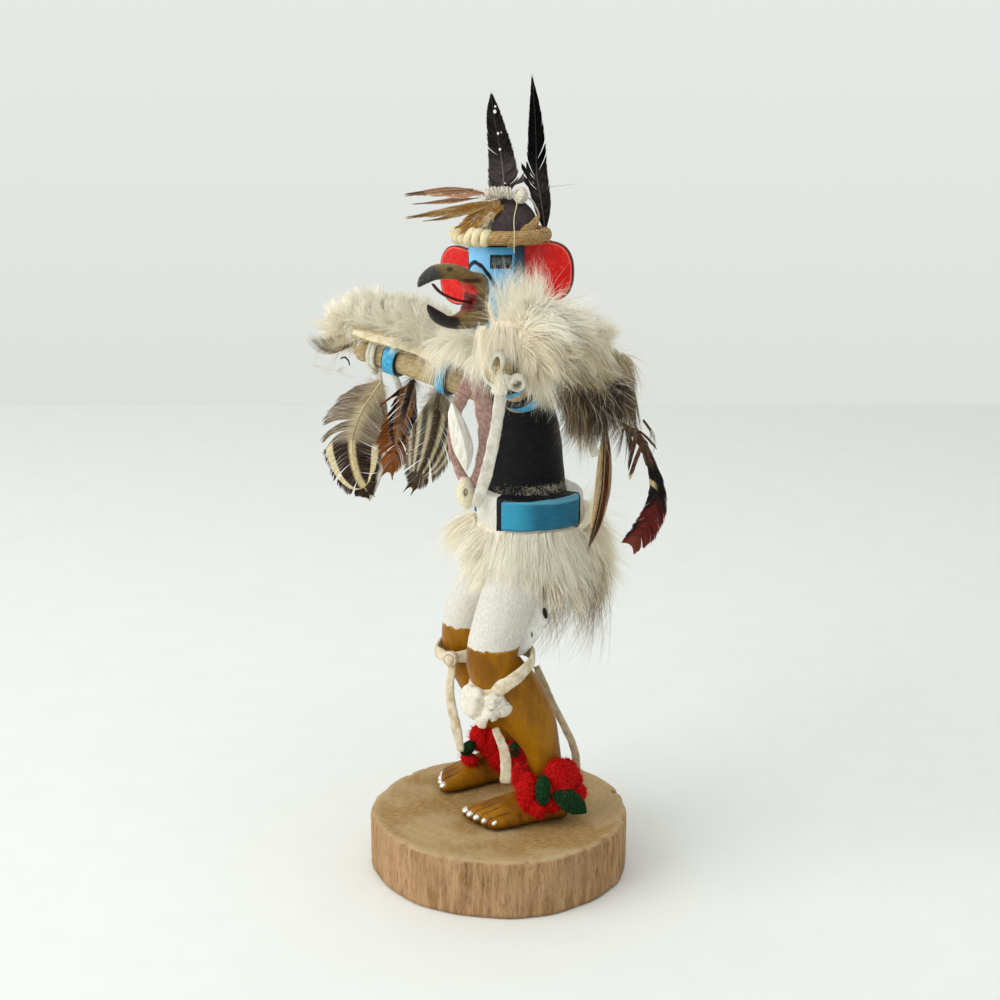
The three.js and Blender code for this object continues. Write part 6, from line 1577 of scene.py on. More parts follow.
def plume_mat(name, paint, rough=0.6, spec=0.3, streak=70.0):
    m = Mat(name, rough=rough, spec=spec)
    u, t, _ = m.xyz(m.uv())
    w = (u - .5) * 2.0; aw = m.abs(w)
    n = m.noise(m.cmb(t * streak - aw * 5.0, w * 1.6, 0.0), 1.0, 3, .6)
    big = m.noise(m.cmb(t * 6.0, w * 1.5, 3.0), 1.0, 2, .5)
    return m.finish(paint(m, w, aw, t, n, big))


def chev(m, aw, t, apex, spread, wide):
    """1 on a V that points to the tip: |w| against its own half-oval"""
    x = (t - (apex - spread)) * (1 / spread)
    return aw * (1 / wide) / m.pw(m.mx(1.0 - x * x, 0.0004), 0.5)


def paint_barred(m, w, aw, t, n, big):
    c = m.mix(m.ss(n, .34, .66), srgb("75664f"), srgb("a39580"))
    c = m.mix(m.ss(aw, .05, .30, 1.0, 0.0) * m.ss(t, .05, .55, .9, .45), c, srgb("d8c6a0"))
    c = m.mix(m.ss(aw, .55, .95) * .35, c, srgb("8d8073"))
    low = m.ss(t - aw * .05 + (n - .5) * .05, .50, .56)
    dark = m.mix(m.ss(n, .36, .64), srgb("21150d"), srgb("4a3827"))
    q = chev(m, aw, t, .915, .43, .62)
    inside = m.ss(q, .84, .94, 1.0, 0.0)
    vband = m.ss(m.abs(q - 1.06), .15, .20, 1.0, 0.0)
    outer = m.mix(m.ss(aw, .8, 1.0), dark, srgb("5b3f38"))
    l = m.mix(inside, outer, m.mix(m.ss(aw, .04, .14, 1.0, 0.0), dark, srgb("dccb9c")))
    l = m.mix(vband, l, m.mix(m.ss(n, .3, .7), srgb("d8c698"), srgb("f0e4bc")))
    l = m.mix(m.ss(t, .93, .97), l, dark)
    return m.mix(low, c, l)


def paint_rust(m, w, aw, t, n, big):
    c = m.mix(m.ss(n, .32, .68), srgb("5c2b0f"), srgb("9c5c20"))
    c = m.mix(m.ss(t, .72, .95) * .5, c, srgb("a9642a"))
    q = chev(m, aw, t, .70, .62, .62)
    c = m.mix(m.ss(m.abs(q - .98), .20, .30, 1.0, 0.0), c, m.mix(m.ss(n, .4, .7), srgb("160c08"), srgb("33190f")))
    c = m.mix(m.ss(q, .30, .44, 1.0, 0.0) * m.ss(t, .10, .50, 1.0, .25), c, m.mix(m.ss(n, .3, .7), srgb("b79f78"), srgb("dccba6")))
    c = m.mix(m.ss(aw, .10, .22, 1.0, 0.0) * m.ss(t, .30, .64, 1.0, 0.0), c, srgb("2b1610"))
    return m.mix(m.ss(t, .05, .16, .8, 0.0), c, srgb("3b2414"))


def paint_striped(m, w, aw, t, n, big):
    q = chev(m, aw, t, .90, .86, 1.04) + (n - .5) * .06
    c = m.ramp(q * .9, [(0.0, srgb("3b2c1d")), (0.10, srgb("46372a")), (0.20, srgb("d9cba6")), (0.27, srgb("cdbd97")), (0.33, srgb("33261a")), (0.45, srgb("4a3c2b")), (0.52, srgb("ddd0ae")), (0.60, srgb("d5c7a4")), (0.65, srgb("55452f")),
                        (0.74, srgb("7f7260")), (0.80, srgb("e2d8bd")), (0.87, srgb("d0c4a8")), (0.93, srgb("8a7c6a")), (1.0, srgb("796b5c"))])
    c = m.mix(m.ss(n, .40, .72) * .35, c, srgb("8e7f69"))
    tip = m.mix(m.ss(w, -.2, .5), srgb("6a4a24"), srgb("241a12"))
    c = m.mix(m.ss(t - aw * .10, .80, .84), c, m.mix(m.ss(n, .35, .65), tip, srgb("4a4630")))
    return m.mix(m.ss(t, .03, .2, .65, 0.0), c, srgb("8b7a62"))


def paint_thin(m, w, aw, t, n, big):
    c = m.mix(m.ss(n, .35, .65), srgb("a98a5c"), srgb("cdb488"))
    c = m.mix(m.ss(m.abs(w + .30), .16, .30, 1.0, 0.0), c, srgb("6b3a22"))
    c = m.mix(m.ss(m.abs(w - .10), .06, .14, 1.0, 0.0), c, srgb("2a1812"))
    c = m.mix(m.ss(m.abs(w - .62), .14, .26, 1.0, 0.0), c, srgb("d8c49b"))
    c = m.mix(m.ss(w, -1.0, -.66, 1.0, 0.0), c, srgb("8c5b3c"))
    return m.mix(m.ss(t, .06, .22, .8, 0.0), c, srgb("6c4a33"))


def paint_curved(m, w, aw, t, n, big):
    c = m.mix(m.ss(n, .34, .66), srgb("3e100c"), srgb("6d1f17"))
    c = m.mix(m.ss(t, .86, .97) * .5, c, srgb("884434"))
    top = m.mix(m.ss(n, .36, .64), srgb("3d241b"), srgb("7a5a4a"))
    mid = m.mix(m.ss(aw, .2, .7), (0.008, 0.006, 0.006), srgb("2a1412"))
    q = t - aw * .10
    c = m.mix(m.ss(q, .60, .70, 1.0, 0.0), c, mid)
    c = m.mix(m.ss(m.abs(t + w * .10 - .555), .016, .032, 1.0, 0.0) * m.ss(w, -.10, .25), c, srgb("d2b98c"))
    c = m.mix(m.ss(t, .36, .46, 1.0, 0.0), c, top)
    c = m.mix(m.ss(t, .80, .84) * m.ss(w, .3, .7), c, srgb("1c0d0b"))
    return c


def paint_dark(lower, upper, bands=()):
    def paint(m, w, aw, t, n, big):
        lo = m.mix(m.ss(n, .34, .68), srgb(lower[0]), srgb(lower[1])); hi = m.mix(m.ss(n, .34, .68), srgb(upper[0]), srgb(upper[1]))
        c = m.mix(m.ss(t + (big - .5) * .2, .28, .52), lo, hi)
        return m.mix(m.ss(aw, .02, .055, 1.0, 0.0) * m.ss(t, .25, .6, .55, .12), c, srgb("8b8080"))
    return paint


def paint_plain(a, b, edge=None, tip=None, quill="6a5138"):
    def paint(m, w, aw, t, n, big):
        c = m.mix(m.ss(n, .32, .68), srgb(a), srgb(b))
        if edge: c = m.mix(m.ss(aw, .45, .9) * .7, c, srgb(edge))
        if tip: c = m.mix(m.ss(t, .72, .95) * .75, c, srgb(tip))
        return m.mix(m.ss(aw, .02, .06, 1.0, 0.0) * .6, c, srgb(quill))
    return paint


def build_feathers():
    m = plume_mat("barred_feather", paint_barred)
    fwd = CAM_FACE * 3.0
    plume("feather_barred", [(q[0] + fwd[0], q[1] + fwd[1], q[2], q[3]) for q in ((-45.2, -25, 156, .7), (-46.2, -28, 151.4, 5.0), (-47.6, -32, 144.6, 9.6), (-48.5, -34.4, 137, 11.0), (-48.4, -34.4, 130, 9.8), (-47.4, -33, 123.4, 7.6), (-46.4, -30.6, 119.2, 4.4), (-45.8, -29.4, 117.2, 1.0))],
          A(.9, -.42, 0), m, "barred_feather", "wing_feather_right_barred", 230, .16, 7, gaps=((1, .36, .030, .05), (1, .44, .02, .035), (-1, .50, .02, .03), (1, .70, .015, .02), (-1, .78, .012, .02), (1, .84, .01, .02)),
          seed=301, cup=.03, ragged=.10, quill=.34, down=400, down_len=7.0, loose=.015, wave=.3)
    m = plume_mat("rust_feather", paint_rust)
    plume("feather_rust", [(-35.4, -17, 157.8, .7), (-36.6, -19.2, 150, 3.2), (-37.6, -21.4, 141, 5.6), (-38.6, -23.4, 132, 6), (-39.2, -25.2, 125.4, 1.8)], A(.94, -.342, .1), m, "brown_feather", "wing_feather_right_rust",
          210, .26, 7, gaps=((1, .16, .03, .07), (1, .27, .03, .06), (1, .38, .02, .04), (-1, .62, .02, .03), (1, .7, .015, .03)), tufts=((1, .06, .15, 1.7, .02),), seed=302, cup=.03, ragged=.14, quill=.3, down=180, down_len=5.0, loose=.03, wave=.35)
    m = plume_mat("striped_feather", paint_striped)
    plume("feather_striped", [(-26.5, -11, 155.6, .7), (-27, -11.6, 149, 4), (-27.6, -12.8, 141, 7), (-28.8, -15.2, 132, 7.8), (-30.2, -18.4, 124.6, 4.6), (-30.8, -20, 121.8, 1.4)], A(.96, -.28, 0), m, "barred_feather", "wing_feather_right_striped",
          220, .30, 7, gaps=((1, .30, .02, .035), (1, .48, .02, .03), (-1, .40, .02, .03), (-1, .66, .015, .03), (1, .66, .012, .02)), seed=303, cup=.03, ragged=.10, quill=.28, down=500, down_len=8.0, loose=.02, wave=.35)
    m = plume_mat("thin_feather", paint_thin)
    plume("feather_thin", [(26.4, 24.4, 152, .8), (26.8, 24, 141, 2.1), (26.6, 23.6, 131, 2.5), (26, 22, 121, 1.9), (25.3, 19.9, 112.9, .3)], A(.9, -.42, 0), m, "brown_feather", "wing_feather_left_thin", 190, .30, 6,
          seed=304, cup=.12, ragged=.05, quill=.24, gaps=((1, .8, .01, .02),))
    m = plume_mat("curved_feather", paint_curved)
    plume("feather_curved", [(25.5, 27, 153, .6), (28.6, 34, 147.4, 1.0), (30.6, 38.2, 138, 1.5), (31.5, 39.7, 128, 3.0), (31, 37, 119.5, 4.1), (29.9, 33.4, 114.8, 3.7), (29.5, 31.6, 113.0, 2.9)], A(.9, -.42, .1), m, "dark_feather", "wing_feather_left_curved",
          210, .14, 6, gaps=((1, .22, .02, .05), (-1, .90, .01, .02)), tufts=((1, .08, .13, 4.2, .06), (1, .16, .20, 5.4, .08), (1, .24, .27, 4.6, .07), (-1, .10, .14, 2.4, .05)), seed=305, cup=.04, ragged=.10, quill=.32, loose=.02, thick=2.6)
    # crest
    m = plume_mat("crest_feather_left", paint_dark(("3a3230", "5a5150"), ("0e0a09", "2a211f")), .5, .35, 90.0)
    plume("feather_crest_left", [(-1.4, 3.4, 217.6, 1.2), (-1.6, 1.8, 220.6, 4.5), (-1.6, 1.6, 224.4, 4.7), (-1.9, .7, 231.8, 3.9), (-2.3, -.4, 237.8, 3), (-2.6, -1.3, 243.4, 2), (-2.8, -1.8, 248.3, .3)], CAM_FACE, m, "dark_feather", "crest_feather_left",
          240, .13, 6, gaps=((1, .10, .015, .02), (-1, .40, .012, .02)), tufts=((1, .03, .09, 1.35, .03),), seed=306, cup=.03, ragged=.05, quill=.26, thick=3.2)
    m = plume_mat("crest_feather_right", paint_dark(("262222", "4c4746"), ("060505", "12100f")), .85, .10, 90.0)
    plume("feather_crest_right", [(-1, 15.2, 206.6, .7), (-1, 14.7, 210, 1.7), (-.4, 13.5, 216.6, 3.4), (.1, 11.9, 223.8, 3.8), (0, 11.6, 233.7, 3.2), (-.2, 11.2, 243.4, 2.1), (-.5, 10.4, 252.9, .3)], A(.62, -.78, 0), m, "dark_feather", "crest_feather_right",
          260, .14, 6, gaps=((-1, .36, .02, .03), (1, .40, .012, .025), (1, .48, .012, .02), (-1, .28, .012, .03)), tufts=((-1, .235, .30, 1.35, -.01), (-1, .31, .345, 1.5, -.005)), seed=307, cup=.03, ragged=.05, quill=.26, thick=3.8)
    # small feathers tied over the crown
    a = plume_mat("topknot_pink", paint_plain("a8724c", "ecc8a6", "cc9874", "8a7866"))
    b = plume_mat("topknot_tan", paint_plain("a87f46", "e8ca92", "c9a464", "96773f"))
    c = plume_mat("topknot_ochre", paint_plain("9a6c24", "dcae5c", "b88a3e", "c89c50"))
    up = [(-1.3, -3.4, 218.6, .9), (-1.2, -8.0, 219.4, 2.3), (-1.4, -15.4, 219.4, 2.3), (-2.6, -21.8, 219.4, 1.5), (-3.4, -27, 218.9, .4)]
    md = [(.9, -.3, 216.6, .9), (1, -6.4, 215.8, 1.9), (.8, -12.4, 214.6, 2.0), (-.6, -19.6, 213.6, 1.5), (-2.3, -26.8, 212.5, .4)]
    lw = [(2.2, .4, 215.4, .8), (2.4, -3.8, 214, 2.0), (2, -8.4, 211.8, 2.6), (1.7, -13.2, 208.8, 1.3)]
    plume("feather_topknot_upper", up, A(.5, .1, 1), a, "brown_feather", "topknot_feather_upper", 150, .40, 6, gaps=((1, .35, .02, .05), (-1, .45, .02, .05)), seed=308, cup=.10, ragged=.22, quill=.2, loose=.16, down=60, down_len=3)
    plume("feather_topknot_middle", md, A(.7, .1, .8), b, "brown_feather", "topknot_feather_middle", 150, .40, 6, gaps=((1, .35, .02, .05), (-1, .55, .02, .06)), seed=309, cup=.10, ragged=.22, quill=.22, loose=.10, down=160, down_len=4)
    plume("feather_topknot_lower", lw, A(.9, 0, .6), c, "brown_feather", "topknot_feather_lower", 140, .40, 6, gaps=((1, .55, .02, .04), (-1, .7, .02, .05)), seed=310, cup=.10, ragged=.20, quill=.22, loose=.10, down=30, down_len=3)
    # split wisps that lie with them
    extra = [([(-1.6, -8, 220.2, .5), (-2.2, -15, 220.6, .9), (-3.2, -22.5, 219.9, .5), (-3.8, -26.4, 219.4, .15)], A(.6, 0, .8), a), ([(-.6, -7, 217.6, .5), (-.9, -14, 217.2, 1.0), (-1.6, -20.5, 216.6, .7), (-2.4, -25, 216.3, .15)], A(.7, 0, .7), a),
             ([(.8, -6, 214.6, .5), (.6, -12.6, 213.4, 1.0), (-.2, -18.6, 211.9, .6), (-1.0, -22.4, 211.4, .15)], A(.8, 0, .6), b), ([(1.8, -3.6, 216.4, .6), (1.2, -9.4, 215.4, 1.2), (.4, -15.6, 213.9, .9), (-.4, -20.4, 213.0, .2)], A(.7, 0, .8), c)]
    for i, (rw, nr, mt) in enumerate(extra):
        plume("feather_topknot_wisp_%d" % i, rw, nr, mt, "brown_feather", None, 60, .5, 5, seed=320 + i, cup=.1, ragged=.25, quill=.16, loose=.12)
    # white specks on the left crest feather
    sp = Mat("white_specks", rough=.7); sn = sp.noise(sp.pos, 3.0, 2); sp.finish(sp.mix(sn, srgb("e9e6df"), srgb("fbf9f4")))
    parts = [egg(p, (r, .12, r * 1.25), (-.342, -.94, 0), CAM_FACE, 10, 6) for p, r in (((-2.2, -.9, 243.0), .5), ((-2.1, -.8, 244.5), .32), ((-1.6, -.1, 236.6), .36), ((-1.5, .9, 236.9), .2), ((-1.3, .4, 231.9), .36), ((-1.0, 1.9, 221.9), .22))]
    v, f = merge(parts); place(make("feather_specks", v + CAM_FACE * .55, f, sp.mat), "dark_feather")


def build_cord_wrap():
    m = Mat("white_cord", rough=.85, spec=.2)
    n = m.noise(m.pos, 2.4, 4, .65)
    m.finish(m.mix(m.ss(n, .35, .68), srgb("c9c0ae"), srgb("efebdf")), None, m.bump(n, .5, .2))
    parts = []
    core = [(-1.3, -3.9, 218.7), (-.8, -2.2, 219.1), (-.2, -.6, 219.3), (.4, 1.2, 219.2), (1, 2.8, 219)]
    cs = smooth_rows(np.array(core), 10)
    for i, p in enumerate(cs):
        t = unit(cs[min(i + 1, len(cs) - 1)] - cs[max(i - 1, 0)]); e1 = unit(A(0, 0, 1) - t[2] * t); e2 = np.cross(t, e1)
        w = 2 * math.pi * np.arange(26) / 26; r = 1.45 + .12 * math.sin(i * 2.2)
        path = p + e1 * (r * np.cos(w))[:, None] + e2 * (r * np.sin(w))[:, None] + t * (.32 * np.cos(w + i))[:, None]
        parts += plied(path, .42, 2, 2.0, 7, 330 + i, closed=True, m=48)
    parts.append(tube(round_ends([[*p, 1.25, 1.25] for p in core], 3, .6), 20, 30, (0, 0, 1)))
    parts.append(egg((2.2, 6, 218.4), (2.1, 1.9, 2.0), (1, 0, 0), (0, 1, 0), 28, 18))
    for k, (a, b) in enumerate(((A(0, 1, 0), A(0, 0, 1)), (A(1, 0, 0), A(0, .3, 1)), (A(.7, .7, 0), A(0, -.4, 1)))):
        b = unit(b - b.dot(unit(a)) * unit(a)); w = 2 * math.pi * np.arange(26) / 26
        path = A(2.3, 5.7, 218.4) + unit(a) * (2.0 * np.cos(w))[:, None] + b * (2.0 * np.sin(w))[:, None]
        parts += plied(path, .55, 2, 1.7, 7, 340 + k, closed=True, m=52)
    parts += plied([(2.2, 7.4, 218.0), (2.0, 9.4, 216.8), (1.3, 11.2, 214.4), (1.0, 12.4, 211.6)], .34, 2, 1.4, 7, 345)
    v, f = merge(parts)
    place(make("topknot_cord_white", v, f, m.mat), "white_cord", "topknot_cord")
    hm = hair_mat("cord_fuzz", ["c9c0ae", "e8e2d4", "f6f3ea"])
    join_ribbons("topknot_cord_fuzz", [fuzz(v, tri_list(f), 700, .8, .06, 347, .8)], hm, "white_cord")


build_feathers(); build_cord_wrap()

# ------------------------------------------------------------------ rabbit fur
FUR = ["3a2812", "6b5232", "a08c6a", "d2c3a0", "ecdfc2", "fbf1d8", "fff9e6", "fffdf0"]
fur_mat = hair_mat("rabbit_fur", FUR, 1.0, 1.0, .8, .4, Sheen_Weight=.45, Sheen_Roughness=.5)


def pelt_mat(name, light, dark, deep):
    m = Mat(name, rough=.95, spec=.1)
    n = m.noise(m.stretch(m.pos, (.8, .8, .35)), 1.0, 4, .65); n2 = m.noise(m.pos, .16, 2)
    c = m.mix(m.ss(n, .35, .66), srgb(light), srgb(dark))
    c = m.mix(m.ss(n2, .5, .68) * .5, c, srgb(deep))
    return m.finish(c, None, m.bump(n, .6, .5))


def fur(body, count, length, flow, tone, seed, width=.19, lift=.55, sag=.16, clumps=500, clumping=.55, K=4, weight=None, kink=.10, lenf=None, spread=.22, swirl=.55, cell=.16):
    """hair rooted on body: flow(p, n) the way it lies, tone(p) its place in the palette"""
    rng = RNG(seed); v = co(body); f = tris_of(body)

    def dirs(p, n, k, jit):
        fl = flow(p, n)
        return unit(n * lift + unit(fl + vnoise3(p, cell, seed + 9, 2) * swirl) * (1 - lift * .4) + rng.normal(0, jit, (k, 3)))
    p, n = tri_sample(v, f, count, rng, weight)
    L = length * rng.uniform(.6, 1.15, count) * (1 + .30 * vnoise(p, .22, seed + 3))
    if lenf is not None: L = L * lenf(p)
    P = bunch_paths(p - n * .3, dirs(p, n, count, spread), L, np.full(count, sag), rng, K, kink)
    # tufts: strands lean to a shared tip
    cp, cn = tri_sample(v, f, clumps, rng, weight)
    CP = bunch_paths(cp, dirs(cp, cn, clumps, spread * 1.1), length * rng.uniform(.8, 1.25, clumps) * (1 if lenf is None else lenf(cp)), np.full(clumps, sag), rng, K, kink * .8)
    kd = KDTree(clumps)
    for i, q in enumerate(cp): kd.insert(q, i)
    kd.balance()
    idx = np.array([kd.find(q)[1] for q in p])
    target = CP[idx] + (P[:, :1] - CP[idx][:, :1]) * .35
    s = (np.linspace(0, 1, K) ** 1.4)[None, :, None] * (clumping * rng.uniform(.2, 1.2, (count, 1, 1)))
    P = P * (1 - s) + target * s
    tn = tone(p) + .07 * rng.normal(0, 1, count) + .10 * vnoise(p, .5, seed + 21, 2) + (.05 * rng.normal(0, 1, clumps))[idx]
    return ribbons(P, width * rng.uniform(.7, 1.3, count), unit(n + .3 * rng.normal(0, 1, (count, 3))), np.clip(tn, .02, .98), roll=rng.uniform(-.7, .7, count), profile=np.linspace(1, .45, K - 1))


def lock(paths, count, radius, length_jit, seed, tone, width=.17, K=7, flare=1.0):
    """a loose lock of long hair along guide lines"""
    rng = RNG(seed); out = []
    for g in paths:
        s = smooth_rows(np.array(g, float), K - 1)
        off = rng.normal(0, 1, (count, 3)) * radius
        P = s[None] + off[:, None] * (0.35 + flare * np.linspace(0, 1, len(s))[None, :, None] ** 1.2)
        P = P + np.cumsum(rng.normal(0, .10, (count, len(s), 3)), axis=1) * (np.linspace(0, 1, len(s)) ** .8)[None, :, None]
        k = 1 - length_jit * rng.random(count)
        P = P[:, :1] + (P - P[:, :1]) * k[:, None, None]
        nn = np.tile(CAM_FACE, (count, 1)) + rng.normal(0, .4, (count, 3))
        out.append(ribbons(P, width * rng.uniform(.6, 1.2, count), unit(nn), np.clip(tone + .08 * rng.normal(0, 1, count), .02, .98), roll=rng.uniform(-.8, .8, count)))
    return out


def strays(body, flow, count, lo, hi, seed, tone, width=.09, out=1.0, jit=.35, kink=.16, sag=.10, weight=None):
    rng = RNG(seed); p, n = tri_sample(co(body), tris_of(body), count, rng, weight)
    P = bunch_paths(p, unit(n * out + .5 * flow(p, n) + rng.normal(0, jit, p.shape)), rng.uniform(lo, hi, count), np.full(count, sag), rng, 6, kink)
    return ribbons(P, np.full(count, width), n, np.clip(rng.normal(tone, .1, count), 0, 1), roll=rng.uniform(-1, 1, count))


def blob(p, c, r):
    d = (p - A(*c)) / A(*(r if hasattr(r, "__len__") else (r, r, r)))
    return np.exp(-(d * d).sum(-1))


def body_of_fur(name, parts, voxel, mat, rough=.6):
    o = fuse(name, parts, voxel, mat, smooth=6, factor=.5)
    push(o, lambda v, n: rough * vnoise(v, .28, 401, 2) + .25 * rough * vnoise(v, .9, 402))
    return o


DOWN = A(0, 0, -1)
RIGHT = A(.342, .94, 0)
KNOTS = [(41.8, -16.3, 174.8), (43.6, -10.8, 169.2)]


def build_near_wing():
    pm = pelt_mat("pelt_near", "f8efdb", "e4d6ba", "b8a484")
    rows = [[12, 9, 169, 6, 5.5], [20, 5, 174, 9, 7.5], [30, 0, 179, 10, 9.8], [38, -4.5, 179.5, 7.5, 8.8], [42, -7.0, 178.5, 4.5, 5.5]]
    o = body_of_fur("wing_fur_left_pelt", [tube(round_ends(rows, 4, .5), 36, 50, (.5, .86, 0)), egg((30, 13, 174), (8.0, 9.0, 9.5), (1, 0, 0), (0, 1, 0), 32, 20), egg((27.5, 21.5, 163.0), (6.8, 8.2, 8.8), (1, 0, 0), (0, 1, 0), 32, 20)], 1.1, pm)
    place(o, "rabbit_fur", "wing_fur_left")
    c0 = A(32, -7, 177)

    def flow(p, n):
        d = p - c0; out = unit(d - (d @ CAM_FACE)[:, None] * CAM_FACE)
        right = np.clip((p @ RIGHT + 2) / 22, 0, 1)[:, None]
        return unit(out * .75 + DOWN * (.15 + 1.0 * right) + CAM_FACE * .2)

    def tone(p):
        u = p @ RIGHT
        t = .88 + 0 * p[:, 0]
        # the taupe patches are partly the fur's own colour, partly painted shade
        t = t - .26 * blob(p, (40, -9, 176), (12, 9, 8)) - .44 * blob(p, (38, 5.5, 170), (10, 4.5, 8)) - .36 * blob(p, (33, 14, 165), (12, 8, 9)) - .34 * blob(p, (35, 16, 172), (10, 8, 8))
        # brown lower back: partly the fur's own brown, partly painted shade; the top is made lighter, a painted
        # highlight
        t = t - .95 * sstep(171, 162.5, p[:, 2]) * sstep(12, 22, u) - .3 * blob(p, (30, 24, 158), (9, 9, 7)) + .08 * sstep(182, 190, p[:, 2])
        return t + .10 * vnoise(p, .13, 410, 2)

    def off_knots(p):
        w = np.ones(len(p))
        for k in KNOTS:
            d = p - A(*k); q = d - (d @ CAM_FACE)[:, None] * CAM_FACE
            w = w * np.where(d @ CAM_FACE > -12, sstep(1.6, 3.4, np.linalg.norm(q, axis=1)), 1)
        return w + .03

    def lenf(p):
        u = p @ RIGHT
        near = .55 + .45 * sstep(4, 12, np.linalg.norm((p - A(42, -12, 172)), axis=1))
        low = 1 - .62 * sstep(174, 169, p[:, 2]) * sstep(9, 3, u)
        brow = 1 - .78 * sstep(10.0, 4.0, u) * sstep(175, 181, p[:, 2])
        return near * low * brow * (1 + .30 * sstep(181, 187, p[:, 2])) * (1 - .55 * sstep(25, 33, u))
    sets = [fur(o, 20000, 10.8, flow, tone, 411, .215, .60, .10, 260, .78, 4, off_knots, .16, lenf, .28, 1.45, .17)]
    # brighter partings that fall from the middle, and the shadowed hollow beside them
    sets += lock([[(40.5, 2, 183), (41.4, .6, 177), (40.6, -.6, 170), (39.0, 1.0, 164), (37.0, 4.4, 157.5)], [(40.8, 3.0, 183), (41.8, 1.6, 178), (41.0, -.2, 172), (40.2, .6, 167)]], 150, .65, .5, 412, .96, .16)
    sets += lock([[(37.5, 7.5, 179), (38.6, 8.2, 173), (38.0, 8.4, 167), (36.8, 9.2, 161)], [(37.2, 5.6, 173), (38.0, 6.4, 169), (37.6, 6.0, 164)]], 120, 1.3, .5, 413, .20, .19)
    sets += lock([[(38, 10, 182), (39.4, 13, 178), (38.6, 16, 171), (36.8, 18.4, 165)], [(36, 14, 181), (37.2, 18, 177), (36.2, 22, 171), (34.6, 25, 166)], [(38.4, 6, 184), (40.2, 9.6, 180), (39.8, 12.0, 173), (38.2, 13.0, 167)]], 150, .9, .5, 423, .88, .15)
    # brown feather fluff at the lower back
    g = []
    rng = RNG(414)
    for i in range(17):
        a = i / 16; x, y = lerp(34, 27, a), lerp(7, 30.5, a)
        g.append([(x + 1.0, y, 166 + rng.normal(0, 2.0)), (x + 3.0, y + 1.2 + rng.normal(0, .8), 160), (x + 2.8, y + 1.6 + rng.normal(0, 1.6), 152.0), (x + .4, y + .4 + rng.normal(0, 2.2), 143.0 + rng.normal(0, 2.6))])
    sets += lock(g, 115, 1.25, .7, 415, .10, .22, 5)
    sets += lock([q for q in g[::2]], 60, 1.6, .6, 416, .26, .18, 5)
    sets += lock([[(30, 27, 172), (31, 30.5, 168), (31, 32.0, 162), (30, 32.0, 156)], [(29, 28, 172), (29.5, 31, 169.5), (29.2, 32.5, 164.0)], [(32, 24, 174), (33.5, 27, 168), (33.5, 28, 161)]], 110, 1.5, .65, 417, .38, .17, 5)
    # dark stray barbs under it
    sets += lock([[(28, 33, 151), (29, 36, 145), (29.5, 35.5, 139)], [(28.4, 30, 151), (29, 31, 144), (28, 30.6, 136)], [(29, 29, 150), (29, 27.6, 144), (29.6, 25.4, 140)], [(28, 36, 152), (29.6, 39.6, 146), (29.6, 38.4, 141)]], 16, .45, .5, 418, .05, .20, 6)
    sets += lock([[(30, 17.5, 150), (30.4, 18.6, 145.5), (30.2, 20.4, 143.6)], [(30, 14.5, 150), (30.6, 13.4, 146), (30.2, 15.4, 143.4)]], 34, .8, .5, 419, .55, .12, 6)
    # wisps over the brow and ear
    w = []
    for i in range(30):
        u = rng.random(); x, y = lerp(21, 26, u), lerp(-8.5, 3.5, u) + rng.normal(0, .8)
        w.append([(x, y, 185 + rng.normal(0, 1.5)), (x - .6, y + rng.normal(0, 1.2), 191), (x - 1.6, y + .4 + rng.normal(0, 1.4), 197), (x - 3.0, y + 1.0 + rng.normal(0, 2.0), 202.0 + rng.normal(0, 2.6) - 4 * abs(u - .3))])
    sets += lock(w, 30, 1.1, .55, 420, .90, .10, 6, 1.2)
    sets.append(strays(o, flow, 900, 10, 16, 421, .92, .11))
    # hair that falls over the fist, round the first turn of the tie
    sets += lock([[(38, -19, 184), (41.2, -20.6, 179), (42.4, -20.2, 173.6), (41.8, -18.8, 168.4)], [(39, -15.5, 185), (41.8, -17.6, 181.4), (42.6, -19.2, 177.0), (42.4, -19.4, 172.0)], [(39.5, -11.5, 185), (42.6, -12.4, 180.6), (44.0, -12.8, 176.0), (44.2, -13.4, 172.4)],
                  [(39.5, -14, 185), (42.4, -14.6, 181.6), (43.2, -15.6, 178.4)], [(40.5, -15.6, 173.6), (43.2, -16.4, 171.2), (43.0, -16.2, 167.4), (41.6, -15.6, 163.8)], [(40, -7, 184), (43.4, -7.6, 178.6), (44.2, -8.0, 173.6), (43.6, -8.4, 169.0)]], 230, 1.75, .6, 424, .80, .125, 5, .7)
    sets += lock([[(22, -8, 178), (21.5, -9.5, 182), (20.5, -10.2, 186.5)], [(20, -9, 176), (18, -12, 179), (16.5, -13.2, 182)], [(24, -7, 180), (24, -7.8, 185), (23, -8.2, 190)]], 130, 1.2, .6, 425, .92, .15, 5)
    join_ribbons("wing_fur_left_hair", sets, fur_mat, "rabbit_fur")
    # small grey hide tab that ends below the wing
    v, f = strap([[30.2, 17.2, 150, 1.0], [30.6, 18.2, 146, 1.3], [30.2, 19.6, 142.6, 1.5]], CAM_FACE, .9, 30, 12, 422)
    place(make("wing_hide_tab", v, f, white_hide), "white_hide")


